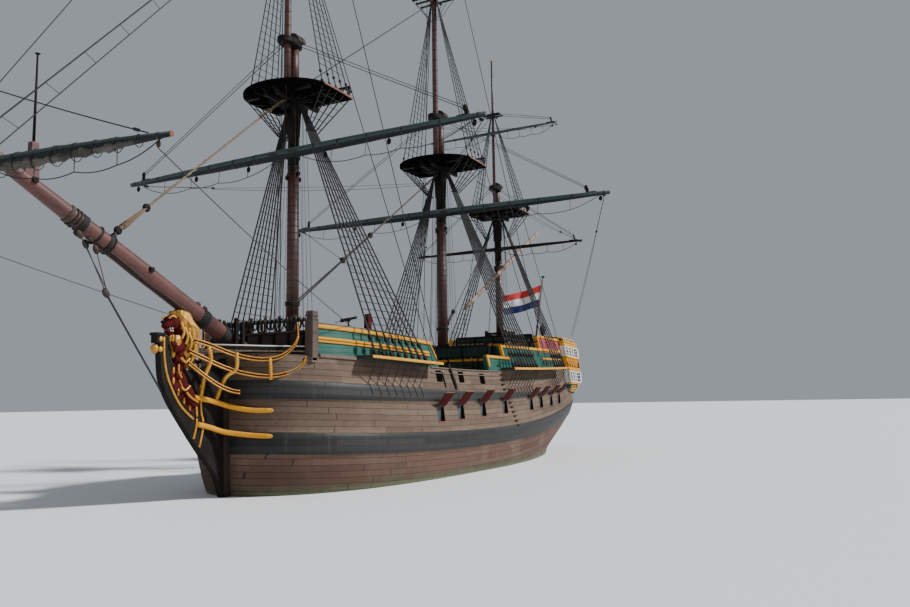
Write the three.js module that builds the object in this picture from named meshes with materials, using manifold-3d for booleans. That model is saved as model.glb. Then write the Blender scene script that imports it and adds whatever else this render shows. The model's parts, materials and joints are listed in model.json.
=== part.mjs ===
import * as THREE from "three";
import { mergeVertices } from "three/addons/utils/BufferGeometryUtils.js";
import Module from "manifold-3d";

const wasm = await Module();
wasm.setup();

// A three-masted East Indiaman, afloat with her sails furled or sent down, modelled at half size.
// +X points to the bow, +Y to port and +Z up. The origin is amidships on the waterline.
// Lengths in the tables are metres of the full-size ship, and MM turns them into model millimetres.
const SCALE = 0.5;
const MM = 1000 * SCALE;
const GAP = 0.0007; // 0.35 mm of model between pieces that touch
const RUNNING = 0.012; // 6 mm of model between a moving piece and its neighbours

// Driving dimensions of the hull.
const HULL = {
  midX: 1.5, // station of the greatest breadth
  keelTop: -4.75,
  postHalf: 0.2, // half thickness of stem, keel and sternpost
  maxHalf: 5.65,
  maxZ: 1.8, // height of the greatest breadth
  tuckLow: 0.4,
  tuckHigh: 4.6, // the transom widens between these heights
  transomHalf: 3.1,
  wall: 0.28, // thickness of the bulwarks
};
const DECK = { waist: 5.05, forecastle: 7.05, quarter: 7.25, poop: 8.95 };
const BREAK = { beakhead: 17.3, forecastle: 8.6, quarter: -1.2, poop: -10.9 }; // bulkheads along X
const DECK_BACK = -20.6; // after end of the decks
const FORE_END = 17.12; // fore end of the forecastle's deck and bulwarks

// Stations where every piece along the side has a joint of its facets, so that neighbours lie on each other.
const STATIONS = [
  -21.4, -20.6, -19.4, -18.3, -16.9, -15, -13, -10.9, -8.5, -6, -3.2, -1.2, 0.6, 2.5, 5, 7.3, 8.6, 11,
  13.4, 15.4, 16.4, 17.12,
];

// Gunports of one side: centre along X, height of the sill's centre.
const PORT = { width: 0.86, height: 0.82, depth: 0.45, frame: 0.1, proud: 0.03 };
const LID = { width: 1.02, height: 0.96, thick: 0.09, barrel: 0.05, open: 132 };
const PORTS = [
  [8.0, 3.63],
  [5.5, 3.7],
  [2.43, 3.8],
  [-1.04, 3.91],
  [-6.05, 4.06],
  [-8.41, 4.19],
  [-11.12, 4.32],
  [-13.65, 4.47],
];
const WAIST_PORTS = [
  [7.5, 5.84],
  [4.71, 5.83],
  [1.77, 5.78],
];

// Masts: place along X, deck height, height of the lower masthead, radii at deck and head, top platform
// (height and radius), topmast (heel, crosstrees, head of the doubling, radius), pole above it.
const MASTS = {
  fore: {
    x: 14.69, foot: DECK.forecastle, head: 24.6, r0: 0.35, r1: 0.27,
    topZ: 21.4, topR: 2.75, heel: 20.7, cross: 33.4, topHead: 36.4, topRadius: 0.21, poleTop: 46.5,
  },
  main: {
    x: -2.39, foot: DECK.quarter, head: 25.4, r0: 0.4, r1: 0.3,
    topZ: 21.7, topR: 2.95, heel: 21.0, cross: 34.45, topHead: 37.8, topRadius: 0.225, poleTop: 50.2,
  },
  mizzen: {
    x: -12.39, foot: DECK.poop, head: 22.3, r0: 0.31, r1: 0.24,
    topZ: 20.05, topR: 2.35, heel: 19.4, cross: 28.5, topHead: 0, topRadius: 0.14, poleTop: 33.5,
  },
};
const BOWSPRIT = { rootX: 17.5, rootZ: 6.523, endX: 33.4, endZ: 14.354, r0: 0.42, r1: 0.21 };
const JACK = { x: 30.3, baseZ: 13.1, kneeTop: 14.5, topZ: 18.1, r: 0.06 };

// Channels: fore and aft ends, and how far they stand out.
const CHANNELS = { fore: [8.44, 14.87], aft: [-14.4, -1.75], out: 0.97 };
// Yards: height, half length, radius at the slings, bracing angle in degrees at rest.
const YARDS = {
  fore: { z: 18.0, half: 12.3, r: 0.28, brace: -1.1 },
  main: { z: 18.0, half: 12.9, r: 0.29, brace: 2.1 },
  crossjack: { z: 16.94, half: 7.6, r: 0.15, brace: 0 },
  mizzenTop: { z: 26.92, half: 5.9, r: 0.12, brace: 0 },
};
// The spritsail yard crosses under the bowsprit, a distance along it and a drop below its axis.
const SPRITSAIL = { along: 16.1, drop: 0.62, half: 9.0, r: 0.27, brace: -2.7 };
const LATEEN = { lowX: -4.86, lowZ: 11.27, highX: -20.06, highZ: 19.78, r: 0.17 };

const clamp = (v, low, high) => Math.min(high, Math.max(low, v));
const mix = (a, b, t) => a + (b - a) * t;
const rad = (degrees) => (degrees * Math.PI) / 180;

// Fore end of the planking at height z: a quarter ellipse from the keel up to the stem.
function stemX(z) {
  const s = clamp((z - HULL.keelTop) / 5.75, 0, 1);
  return 14.5 + 5.0 * Math.sqrt(1 - (1 - s) ** 2) + 0.05 * Math.max(0, z - 1);
}

// After end of the planking: the raking sternpost and transom.
function sternX(z) {
  return -20.3 - 0.05 * z;
}

function midHalf(z) {
  if (z > HULL.maxZ) return HULL.maxHalf - 0.063 * (z - HULL.maxZ) ** 1.55;
  const s = (z - HULL.keelTop) / (HULL.maxZ - HULL.keelTop);
  return HULL.postHalf + (HULL.maxHalf - HULL.postHalf) * Math.sqrt(1 - (1 - clamp(s, 0, 1)) ** 2.6);
}

function transomHalf(z) {
  const s = clamp((z - HULL.tuckLow) / (HULL.tuckHigh - HULL.tuckLow), 0, 1);
  return HULL.postHalf + HULL.transomHalf * Math.sin((s * Math.PI) / 2) - 0.1 * Math.max(0, z - HULL.tuckHigh);
}

// Half breadth of the hull at a station and a height.
function halfBreadth(x, z) {
  const w = clamp((z - HULL.keelTop) / 6.75, 0, 1);
  const fore = x > HULL.midX;
  const end = fore ? HULL.postHalf : transomHalf(z);
  const t = clamp((x - HULL.midX) / ((fore ? stemX(z) : sternX(z)) - HULL.midX), 0, 1);
  const p = fore ? 1.6 + 2.9 * w : 1.7 + 0.5 * w;
  const q = fore ? 1 + 1.2 * w : 1 + 0.2 * w;
  return end + (midHalf(z) - end) * (1 - t ** p) ** (1 / q);
}

// Height of the planked side's top, where the bulwarks stand.
function sheer(x) {
  return x > 3 ? 6.33 + 0.48 * ((x - 3) / 16.5) ** 2 : 6.33 + 0.6 * ((3 - x) / 20) ** 1.6;
}

// Solids are joined and cut in model millimetres.
function solid(geometry) {
  const bare = geometry.clone();
  for (const name of ["normal", "uv", "color"]) bare.deleteAttribute(name);
  const merged = mergeVertices(bare, 1e-3);
  return new wasm.Manifold(
    new wasm.Mesh({
      numProp: 3,
      vertProperties: new Float32Array(merged.attributes.position.array),
      triVerts: new Uint32Array(merged.index.array),
    }),
  );
}

function geometryOf(body) {
  const m = body.getMesh();
  const geometry = new THREE.BufferGeometry();
  geometry.setAttribute("position", new THREE.BufferAttribute(new Float32Array(m.vertProperties), 3));
  geometry.setIndex(new THREE.BufferAttribute(new Uint32Array(m.triVerts), 1));
  geometry.computeVertexNormals();
  return geometry;
}

const union = (bodies) => bodies.reduce((all, one) => all.add(one));

// A block between two corners.
function block(low, high) {
  const size = high.map((v, i) => (v - low[i]) * MM);
  const centre = high.map((v, i) => ((v + low[i]) / 2) * MM);
  return solid(new THREE.BoxGeometry(...size).translate(...centre));
}

// Rings of points with the same count, skinned one after the other and closed at both ends. The first half
// of a ring is the port side and the second its mirror image, and so are the diagonals of the facets.
function skin(rings) {
  const n = rings[0].length;
  const position = rings.flat(2).map((v) => v * MM);
  const index = [];
  for (let i = 0; i + 1 < rings.length; i++) {
    for (let j = 0; j < n; j++) {
      const [a, b] = [i * n + j, i * n + ((j + 1) % n)];
      index.push(...(j < n / 2 ? [a, b, b + n, a, b + n, a + n] : [a, b, a + n, b, b + n, a + n]));
    }
  }
  // Each end is closed by a strip between the two halves of its ring.
  for (const [base, flip] of [[0, false], [(rings.length - 1) * n, true]]) {
    for (let j = 0; j < n / 2 - 1; j++) {
      const [a, b, c, d] = [base + j, base + j + 1, base + n - 2 - j, base + n - 1 - j];
      index.push(...(flip ? [a, b, c, a, c, d] : [a, c, b, a, d, c]));
    }
  }
  const geometry = new THREE.BufferGeometry();
  geometry.setAttribute("position", new THREE.BufferAttribute(new Float32Array(position), 3));
  geometry.setIndex(index);
  const body = solid(geometry);
  if (body.volume() > 0) return body;
  geometry.setIndex(index.reverse());
  return solid(geometry);
}

const stationsBetween = (x0, x1) => [x0, ...STATIONS.filter((x) => x > x0 + 0.05 && x < x1 - 0.05), x1];

// A slice of the hull's form from x0 to x1 between two heights given as functions of x, its sides moved
// inwards by inset. Rings run up the port side and down the starboard side.
function slice({ x0, x1, low, high, inset = 0, levels = 1 }) {
  const rings = stationsBetween(x0, x1).map((x) => {
    const heights = Array.from({ length: levels + 1 }, (_, j) => mix(low(x), high(x), j / levels));
    return bothSides(heights.map((z) => [x, halfBreadth(x, z) - inset, z]));
  });
  return skin(rings);
}

// The whole planked body, its rings crowded towards the ends and the bilge.
function wholeBody(stations, levels) {
  const rings = [];
  for (let i = 0; i <= stations; i++) {
    const t = 0.5 - 0.5 * Math.cos((Math.PI * i) / stations);
    const top = sheer(mix(sternX(0), stemX(0), t));
    const side = [];
    for (let j = 0; j <= levels; j++) {
      const z = mix(HULL.keelTop, top, (j / levels) ** 1.35);
      const x = mix(sternX(z), stemX(z), t);
      side.push([x, halfBreadth(x, z), z]);
    }
    rings.push(bothSides(side));
  }
  return skin(rings);
}

const bothSides = (side) => [...side, ...side.map(([x, y, z]) => [x, -y, z]).reverse()];

// A strip along the port side from x0 to x1 between two heights given as functions of x: it stands out from
// the hull's form by out and reaches inwards by deep.
function strip({ x0, x1, low, high, out = 0, deep = HULL.wall }) {
  const rings = stationsBetween(x0, x1).map((x) => {
    const [z0, z1] = [low(x), high(x)];
    const [y0, y1] = [halfBreadth(x, z0), halfBreadth(x, z1)];
    return [[x, y0 + out, z0], [x, y1 + out, z1], [x, y1 - deep, z1], [x, y0 - deep, z0]];
  });
  return skin(rings);
}

// An outline in the XZ plane, as thick as from y0 to y1.
function plateXZ(points, y0, y1) {
  const shape = new THREE.Shape(points.map(([x, z]) => new THREE.Vector2(x * MM, z * MM)));
  const geometry = new THREE.ExtrudeGeometry(shape, { depth: (y1 - y0) * MM, bevelEnabled: false });
  return solid(geometry.rotateX(Math.PI / 2).translate(0, y1 * MM, 0));
}

// An outline in the XY plane, from z0 up to z1.
function plateXY(points, z0, z1) {
  const shape = new THREE.Shape(points.map(([x, y]) => new THREE.Vector2(x * MM, y * MM)));
  const geometry = new THREE.ExtrudeGeometry(shape, { depth: (z1 - z0) * MM, bevelEnabled: false });
  return solid(geometry.translate(0, 0, z0 * MM));
}

// An outline in the YZ plane, from x0 to x1.
function plateYZ(points, x0, x1) {
  const shape = new THREE.Shape(points.map(([y, z]) => new THREE.Vector2(y * MM, z * MM)));
  const geometry = new THREE.ExtrudeGeometry(shape, { depth: (x1 - x0) * MM, bevelEnabled: false });
  geometry.rotateX(Math.PI / 2).rotateZ(Math.PI / 2);
  return solid(geometry.translate(x0 * MM, 0, 0));
}

// A round spar turned about the line from a to b: radii at even steps along it.
function spar(a, b, radii, sides = 12, turn = 0) {
  const start = new THREE.Vector3(...a).multiplyScalar(MM);
  const way = new THREE.Vector3(...b).multiplyScalar(MM).sub(start);
  const length = way.length();
  const profile = [new THREE.Vector2(0, 0)];
  radii.forEach((r, i) => profile.push(new THREE.Vector2(r * MM, (length * i) / (radii.length - 1))));
  profile.push(new THREE.Vector2(0, length));
  const geometry = new THREE.LatheGeometry(profile, sides).rotateY(turn);
  const spin = new THREE.Quaternion().setFromUnitVectors(new THREE.Vector3(0, 1, 0), way.normalize());
  return solid(geometry.applyQuaternion(spin).translate(start.x, start.y, start.z));
}

// A bar of rectangular section along a smooth curve through the points.
function bar(points, width, height, steps) {
  const curve = new THREE.CatmullRomCurve3(points.map((p) => new THREE.Vector3(...p).multiplyScalar(MM)));
  const [w, h] = [(width / 2) * MM, (height / 2) * MM];
  const section = new THREE.Shape([[-w, -h], [w, -h], [w, h], [-w, h]].map((p) => new THREE.Vector2(...p)));
  return solid(new THREE.ExtrudeGeometry(section, { steps, extrudePath: curve, bevelEnabled: false }));
}

// A collar round the vertical line at (x, y): its bore clears a spar of radius r with the same sides.
function collar(x, y, z0, z1, r, wall, sides = 24) {
  const bore = (r + GAP) / Math.cos(Math.PI / sides);
  const outer = spar([x, y, z0], [x, y, z1], [bore + wall, bore + wall], sides, Math.PI / sides);
  return outer.subtract(spar([x, y, z0 - 0.1], [x, y, z1 + 0.1], [bore, bore], sides, Math.PI / sides));
}

const ship = new THREE.Group();
ship.name = "ship";

const FINISH = {
  oak: { color: 0x7b685c, roughness: 0.8, metalness: 0 },
  black: { color: 0x1d1f22, roughness: 0.6, metalness: 0 },
  green: { color: 0x3d7a66, roughness: 0.5, metalness: 0 },
  ochre: { color: 0xc99a3c, roughness: 0.5, metalness: 0 },
  pine: { color: 0x9a8468, roughness: 0.8, metalness: 0 },
  mast: { color: 0x71392b, roughness: 0.45, metalness: 0 },
  slate: { color: 0x4e625f, roughness: 0.7, metalness: 0 },
  gold: { color: 0xd9a032, roughness: 0.4, metalness: 0 },
  maroon: { color: 0x5a1f1c, roughness: 0.5, metalness: 0 },
  tan: { color: 0xc79a80, roughness: 0.6, metalness: 0 },
  rope: { color: 0x2a2622, roughness: 0.9, metalness: 0 },
  cloth: { color: 0xb02a30, roughness: 0.9, metalness: 0 },
};
const materials = Object.fromEntries(
  Object.entries(FINISH).map(([name, look]) => [name, new THREE.MeshStandardMaterial(look)]),
);

function add(name, body, finish, parent = ship) {
  const whole = largest(solid(geometryOf(body)));
  const mesh = new THREE.Mesh(geometryOf(whole), materials[finish]);
  mesh.name = name;
  parent.add(mesh);
  return mesh;
}

const SIDES = [["port", 1], ["starboard", -1]];

// The frame of a port or its lid on the hull's side: its centre, and the outward and upward directions.
function sideFrame(x, z, side) {
  const y = halfBreadth(x, z);
  const step = 0.4;
  const along = new THREE.Vector3(2 * step, side * (halfBreadth(x + step, z) - halfBreadth(x - step, z)), 0);
  const rise = new THREE.Vector3(0, side * (halfBreadth(x, z + step) - halfBreadth(x, z - step)), 2 * step);
  along.normalize();
  const out = rise.cross(along).normalize().multiplyScalar(side);
  if (out.y * side < 0) out.negate();
  const up = out.clone().cross(along).normalize();
  if (up.z < 0) up.negate();
  return { origin: new THREE.Vector3(x, side * y, z).multiplyScalar(MM), out, up };
}

// A matrix that takes local (x along, y out, z up) to the ship. Along is reversed on the starboard side
// so that the matrix never mirrors.
function sideMatrix({ origin, out, up }) {
  const first = out.clone().cross(up).normalize();
  return new THREE.Matrix4().makeBasis(first, out, up).setPosition(origin);
}

// A solid carried through a matrix.
function placed(body, matrix) {
  const geometry = geometryOf(body);
  geometry.applyMatrix4(matrix);
  return solid(geometry);
}

// HULL: one planked body with the waist well, gunports and closed waist ports.
function makeHull() {
  let body = wholeBody(22, 9);
  const well = slice({
    x0: BREAK.quarter, x1: BREAK.forecastle, low: () => DECK.waist, high: () => 7, inset: HULL.wall,
  });
  body = body.subtract(well);
  for (const [, side] of SIDES) {
    for (const [x, z] of PORTS) {
      const place = sideMatrix(sideFrame(x, z, side));
      const w = PORT.width / 2;
      const h = PORT.height / 2;
      const edge = PORT.frame;
      const frame = block([-w - edge, -0.3, -h - edge], [w + edge, PORT.proud, h + edge]);
      body = body.add(placed(frame, place));
      body = body.subtract(placed(block([-w, -PORT.depth, -h], [w, 0.5, h]), place));
    }
    for (const [x, z] of WAIST_PORTS) {
      const shutter = block([-0.4, -0.1, -0.33], [0.4, 0.05, 0.33]);
      body = body.add(placed(shutter, sideMatrix(sideFrame(x, z, side))));
    }
  }
  const hatches = [
    [5.6, 1.1],
    [2.6, 1.4],
  ];
  for (const [x, half] of hatches) {
    body = body.add(block([x - half, -1.2, DECK.waist - 0.1], [x + half, 1.2, DECK.waist + 0.28]));
  }
  return body;
}

// KEEL, with the stem and the sternpost in one line round the hull.
function makeKeel(aroundHull) {
  const heights = [-4.75, -4.5, -4.0, -3.2, -2.2, -1, 0.3, 2, 4, 6.2];
  const inner = heights.map((z) => [stemX(z) - 0.15, z]);
  const outer = [...heights].reverse().map((z) => [stemX(z) + mix(0.45, 0.32, clamp(z / 6, 0, 1)), z]);
  const back = [
    [sternX(-4.75), -4.75], [sternX(4.4) + 0.1, 4.4], [sternX(4.4) - 0.42, 4.4], [sternX(-5.3) - 0.42, -5.3],
  ];
  const outline = [...inner, ...outer, [14.9, -5.05], [14.2, -5.3], ...back.reverse()];
  return plateXZ(outline, -HULL.postHalf, HULL.postHalf).subtract(aroundHull);
}

// KNEE OF THE HEAD: cutwater from the stem out to the figurehead, with the cheeks that brace it.
const CUTWATER = [
  [24.05, 7.55], [23.95, 6.7], [23.8, 5.5], [23.3, 4.5], [22.25, 3.16], [21.3, 2.05], [20.5, 1.2], [19.98, 0.1],
  [19.8, -0.6],
];
// Cheeks of the port side: x, y, z of the points along each.
const CHEEKS = [
  [[22.0, 0.14, 4.75], [20.94, 0.33, 4.55], [20.16, 0.72, 4.28], [19.58, 1.44, 4.1], [19.0, 2.25, 4.06]],
  [[21.7, 0.14, 3.5], [21.0, 0.32, 3.32], [20.36, 0.62, 3.09], [19.57, 1.45, 2.92], [19.0, 2.25, 2.85]],
];
function makeKnee() {
  const top = [[19.6, -0.6], [19.7, 4], [19.9, 6.6], [21.2, 6.15], [22.2, 6.0], [23.2, 6.3], [23.55, 7.55]];
  let body = plateXZ([...CUTWATER, ...top], -0.17, 0.17);
  for (const [, side] of SIDES) {
    for (const path of CHEEKS) body = body.add(bar(path.map(([x, y, z]) => [x, side * y, z]), 0.26, 0.24, 10));
  }
  return body;
}

// The same solid moved by metres along each axis.
const shifted = (body, x, y, z) => placed(body, new THREE.Matrix4().makeTranslation(x * MM, y * MM, z * MM));

// The same solid, larger by the amount along each axis: what it leaves room for.
function grown(body, g) {
  const moves = [[g, 0, 0], [-g, 0, 0], [0, g, 0], [0, -g, 0], [0, 0, g], [0, 0, -g]];
  return union([body, ...moves.map((move) => shifted(body, ...move))]);
}

// The same solid on the other side of the centreline.
function mirrored(body) {
  const geometry = geometryOf(body).scale(1, -1, 1);
  geometry.setIndex(Array.from(geometry.index.array).reverse());
  return solid(geometry);
}

// The largest of the bodies that a cut leaves.
function largest(body) {
  return body.decompose().reduce((best, one) => (one.volume() > best.volume() ? one : best));
}

// FIGUREHEAD: a lion rampant leaning on the knee, built up from rounded masses.
// Columns: centre x, y, z and half sizes along x, y, z.
const LION = [
  [22.7, 0, 8.05, 0.66, 0.52, 0.66],
  [23.3, 0, 7.98, 0.4, 0.3, 0.4],
  [22.55, 0, 7.2, 0.66, 0.56, 0.8],
  [22.72, 0, 6.35, 0.42, 0.4, 0.75],
  [22.5, 0, 5.5, 0.42, 0.36, 0.7],
  [22.2, 0.26, 4.85, 0.3, 0.16, 0.55],
  [22.2, -0.26, 4.85, 0.3, 0.16, 0.55],
  [23.1, 0.26, 7.0, 0.5, 0.14, 0.17],
  [23.1, -0.26, 7.0, 0.5, 0.14, 0.17],
];
function makeLion() {
  const masses = LION.map(([x, y, z, a, b, c]) => {
    const ball = new THREE.SphereGeometry(1, 8, 6).scale(a * MM, b * MM, c * MM);
    return solid(ball.translate(x * MM, y * MM, z * MM));
  });
  return union(masses);
}

// HEAD RAILS of one side: three rails that sweep from the bow down and forward to the figurehead, and the
// timbers that carry them. Columns: x, y, z of the points along each rail.
const RAILS = [
  [
    [18.12, 3.08, 8.25], [18.1, 3.1, 7.6], [18.3, 2.95, 7.1], [18.79, 2.63, 6.65], [19.37, 2.23, 6.5],
    [20.0, 1.78, 6.54], [20.76, 1.23, 6.77], [21.6, 0.78, 7.12], [22.37, 0.52, 7.32],
  ],
  [
    [17.8, 3.36, 6.57], [17.93, 3.25, 6.25], [18.2, 3.05, 6.0], [18.66, 2.72, 5.79], [19.36, 2.24, 5.69],
    [20.22, 1.62, 5.83], [20.97, 1.07, 6.11], [21.85, 0.67, 6.51], [22.6, 0.46, 6.82],
  ],
  [[20.35, 1.5, 4.94], [20.74, 1.24, 5.04], [21.26, 0.93, 5.32], [21.96, 0.62, 5.83], [22.6, 0.44, 6.3]],
];
const TIMBERS = [
  [[21.64, 0.76, 7.05], [21.54, 0.8, 6.43], [21.75, 0.66, 5.69], [21.6, 0.28, 4.74]],
  [[20.5, 1.42, 6.8], [20.52, 1.4, 6.02], [20.85, 1.05, 5.6], [20.75, 0.42, 4.6]],
  [[19.23, 2.33, 6.55], [19.18, 2.37, 5.5]],
];

function makeHeadRails() {
  const rails = RAILS.map((points) => bar(points, 0.16, 0.16, 2 * points.length));
  const timbers = TIMBERS.map((points) => bar(points, 0.2, 0.16, 6));
  return union([...rails, ...timbers]);
}

// BEAKHEAD: the platform over the knee, the bulkhead behind it with its corner posts, and the bowsprit's bed.
function makeBeakhead() {
  const back = FORE_END + GAP;
  const half = halfBreadth(BREAK.beakhead, 7.2);
  const plan = [[back, half - 0.2], [19.2, 1.7], [21.6, 0.45], [21.6, -0.45], [19.2, -1.7], [back, 0.2 - half]];
  const platform = plateXY(plan.reverse(), 6.86, 7.0);
  const bulkhead = block([back, -half, 6.9], [BREAK.beakhead, half, 7.95]);
  const posts = SIDES.map(([, side]) => {
    const y = side * (half - 0.12);
    const head = block([back, y - 0.3, 8.68], [back + 0.55, y + 0.3, 8.95]);
    return block([back, y - 0.24, 6.5], [back + 0.46, y + 0.24, 8.9]).add(head);
  });
  return union([platform, bulkhead, ...posts, block([19.2, -0.5, 6.9], [19.6, 0.5, 8.3])]);
}

// Bulwark of one side between two stations: the wall and the rails that run along it.
// Rail columns: x from, x to, height, breadth standing out, depth.
function bulwark(walls, rails) {
  return union([
    ...walls.map(([x0, x1, low, high]) => strip({ x0, x1, low, high })),
    ...rails.map(([x0, x1, z, out, deep]) => {
      const [low, high] = [(x) => z(x) - deep / 2, (x) => z(x) + deep / 2];
      return strip({ x0, x1, low, high, out, deep: HULL.wall / 2 });
    }),
  ]);
}

// The forecastle's bulwark runs on past the break and slopes down to the waist.
const FORE_AFT = { rail: 7.75, end: 7.3 };
const foreRail = (x) => mix(7.82, 8.2, (x - 8.6) / 8.5);
const foreSlope = (x) => mix(6.75, foreRail(x), (x - FORE_AFT.end) / (FORE_AFT.rail - FORE_AFT.end));
const FORE_WALLS = [
  [FORE_AFT.rail, FORE_END, sheer, foreRail],
  [FORE_AFT.end, FORE_AFT.rail, sheer, foreSlope],
];
const FORE_RAILS = [
  [FORE_AFT.rail, FORE_END, foreRail, 0.07, 0.2],
  [8.2, FORE_END, (x) => foreRail(x) - 0.68, 0.06, 0.16],
];
const quarterRail = (x) => mix(8.1, 8.4, (BREAK.quarter - x) / 15);
const poopRail = (x) => mix(9.36, 9.44, (BREAK.poop - x) / 9);
const QUARTER_STEP = -2.4; // the bulwark drops to a lower rail before this station
const lowRail = () => 7.3;
const QUARTER_WALLS = [
  [DECK_BACK, QUARTER_STEP, sheer, quarterRail],
  [QUARTER_STEP, 0.4, sheer, lowRail],
  [DECK_BACK, BREAK.poop, (x) => quarterRail(x) - 0.2, poopRail],
];
const QUARTER_RAILS = [
  [-16.9, QUARTER_STEP, quarterRail, 0.07, 0.18],
  [-3.6, 0.4, lowRail, 0.07, 0.16],
  [-16.9, BREAK.poop, (x) => quarterRail(x) - 0.72, 0.06, 0.14],
  [-16.9, BREAK.poop, poopRail, 0.07, 0.18],
];

// Deck blocks inside the bulwarks, each with the bulkhead that faces the lower deck before or behind it.
function deckBlock(x0, x1, low, top) {
  return slice({ x0, x1, low, high: () => top, inset: HULL.wall + GAP });
}

function makeForecastleDeck() {
  const deck = deckBlock(BREAK.forecastle, FORE_END, sheer, DECK.forecastle);
  const half = halfBreadth(BREAK.forecastle, 6) - HULL.wall - 0.02;
  const [x, top] = [BREAK.forecastle, DECK.forecastle];
  const bulkhead = block([x - 0.14, -half, DECK.waist + GAP], [x + 0.02, half, top]);
  return union([deck, bulkhead]);
}

function makeQuarterdeck() {
  const deck = deckBlock(DECK_BACK, BREAK.quarter, sheer, DECK.quarter);
  const half = halfBreadth(BREAK.quarter, 6) - HULL.wall - 0.02;
  const x = BREAK.quarter;
  const bulkhead = block([x - 0.02, -half, DECK.waist + GAP], [x + 0.14, half, DECK.quarter]);
  return union([deck, bulkhead]);
}

function makePoop() {
  return deckBlock(DECK_BACK, BREAK.poop, () => DECK.quarter + GAP, DECK.poop);
}

// QUARTER GALLERY of one side: a bracket, lower windows, a carved tier, upper windows and a roof.
// Columns: after end, fore end, low, high, breadth standing out.
const GALLERY = [
  [-21.3, -18.2, 5.05, 5.35, 0.2],
  [-21.5, -17.5, 5.3, 5.8, 0.34],
  [-21.75, -16.9, 5.75, 6.98, 0.5],
  [-21.85, -16.9, 6.93, 8.0, 0.6],
  [-21.9, -16.9, 7.95, 9.05, 0.44],
  [-21.85, -16.9, 9.0, 9.3, 0.5],
  [-21.8, -17.6, 9.25, 9.65, 0.26],
];
function makeGallery() {
  return union(GALLERY.map(([x0, x1, low, high, out]) => {
    return strip({ x0, x1: x1 - GAP, low: () => low, high: () => high, out, deep: -2 * GAP });
  }));
}

// STERN GALLERY: the counter, the stern lights and the taffrail across the stern.
function makeSternGallery() {
  const front = DECK_BACK - GAP;
  const profile = [
    [-20.45, 4.78], [-20.9, 4.85], [-21.5, 5.3], [-21.75, 5.6], [-22.35, 9.4], [-22.45, 10.3], [-22.1, 10.3],
    [-21.9, 9.4], [front, 9.2], [front, 6.5], [-20.45, 6.5],
  ];
  const sides = [4.7, 5.6, 7.1, 9.4].map((z) => [transomHalf(z), z]);
  const arch = [[2.5, 9.75], [1.3, 10.1], [0, 10.25], [-1.3, 10.1], [-2.5, 9.75]];
  const face = plateYZ([...sides, ...arch, ...sides.map(([y, z]) => [-y, z]).reverse()], -23, -19);
  return plateXZ(profile, -4, 4).intersect(face);
}

// CHANNEL of one side: a plank on edge of the side that spreads the shrouds.
function makeChannel(x0, x1, out) {
  return strip({ x0, x1, low: (x) => sheer(x) + 0.06, high: (x) => sheer(x) + 0.2, out, deep: -GAP });
}

// BOWSPRIT with the knee and jackstaff near its end.
function bowspritZ(x) {
  return mix(BOWSPRIT.rootZ, BOWSPRIT.endZ, (x - BOWSPRIT.rootX) / (BOWSPRIT.endX - BOWSPRIT.rootX));
}

function makeBowsprit() {
  const start = [BOWSPRIT.rootX, 0, BOWSPRIT.rootZ];
  const end = [BOWSPRIT.endX, 0, BOWSPRIT.endZ];
  const pole = spar(start, end, [BOWSPRIT.r0, BOWSPRIT.r0, BOWSPRIT.r1], 20);
  const knee = block([JACK.x - 0.22, -0.14, JACK.baseZ - 0.3], [JACK.x + 0.14, 0.14, JACK.kneeTop]);
  const staff = spar([JACK.x, 0, JACK.kneeTop - 0.3], [JACK.x, 0, JACK.topZ], [JACK.r, JACK.r * 0.6], 8);
  return union([pole, knee, staff]);
}

// MASTS: the lower mast with its cap, the top and the topmast with the mast above it.
const MAST_SIDES = 24;
const mastRadius = (m, z) => mix(m.r0, m.r1, (z - m.foot) / (m.head - m.foot));
const topmastX = (m) => m.x + mastRadius(m, m.head) + m.topRadius + 0.1;

// The topmast's tapered pole, or with a gap the bore that it passes through in the cap.
function topmastPole(m, gap = 0) {
  const [top, taper] = m.topHead ? [m.topHead, 0.75] : [m.poleTop, 0.55];
  const radii = [m.topRadius + gap, m.topRadius * taper + gap];
  return spar([topmastX(m), 0, m.heel], [topmastX(m), 0, top], radii, MAST_SIDES);
}

// The cap: an oval block round both masts, with a dome over the lower masthead.
const CAP = { reach: 0.9, half: 0.5, low: -0.3, high: 0.05, dome: 0.52, domeBack: 0.42, domeFore: 0.28 };
function makeCap(m) {
  const size = m.r1 / MASTS.fore.r1;
  const centre = (m.x + topmastX(m)) / 2 + 0.1;
  const turn = (steps, to) => Array.from({ length: steps }, (_, i) => rad((to * i) / (steps - 1)));
  const oval = turn(25, 360).slice(1).map((a) => {
    return [centre + CAP.reach * size * Math.cos(a), CAP.half * size * Math.sin(a)];
  });
  const r = CAP.dome * size;
  const arch = turn(13, 180).map((a) => [r * Math.cos(a), m.head + r * Math.sin(a)]);
  return [
    plateXY(oval, m.head + CAP.low * size, m.head + CAP.high),
    plateYZ(arch, m.x - CAP.domeBack * size, m.x + CAP.domeFore * size),
  ];
}

function makeLowerMast(m) {
  const pole = spar([m.x, 0, m.foot + GAP], [m.x, 0, m.head], [m.r0, m.r1], MAST_SIDES);
  return union([pole, ...makeCap(m)]).subtract(topmastPole(m, GAP));
}

// The top: a platform rounded before the mast and straight behind it, over a shallow bowl and its beams.
// Columns of the levels from the bottom up: height against the platform's underside, share of the outline.
const TOP_DEPTH = 0.14;
const TOP_LEVELS = [[-0.34, 0.5], [-0.12, 0.86], [0, 1], [TOP_DEPTH, 1]];
const TOP_PLAN = { centre: 0.15, reach: 0.78, back: -0.68, corner: 0.97 };

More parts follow.
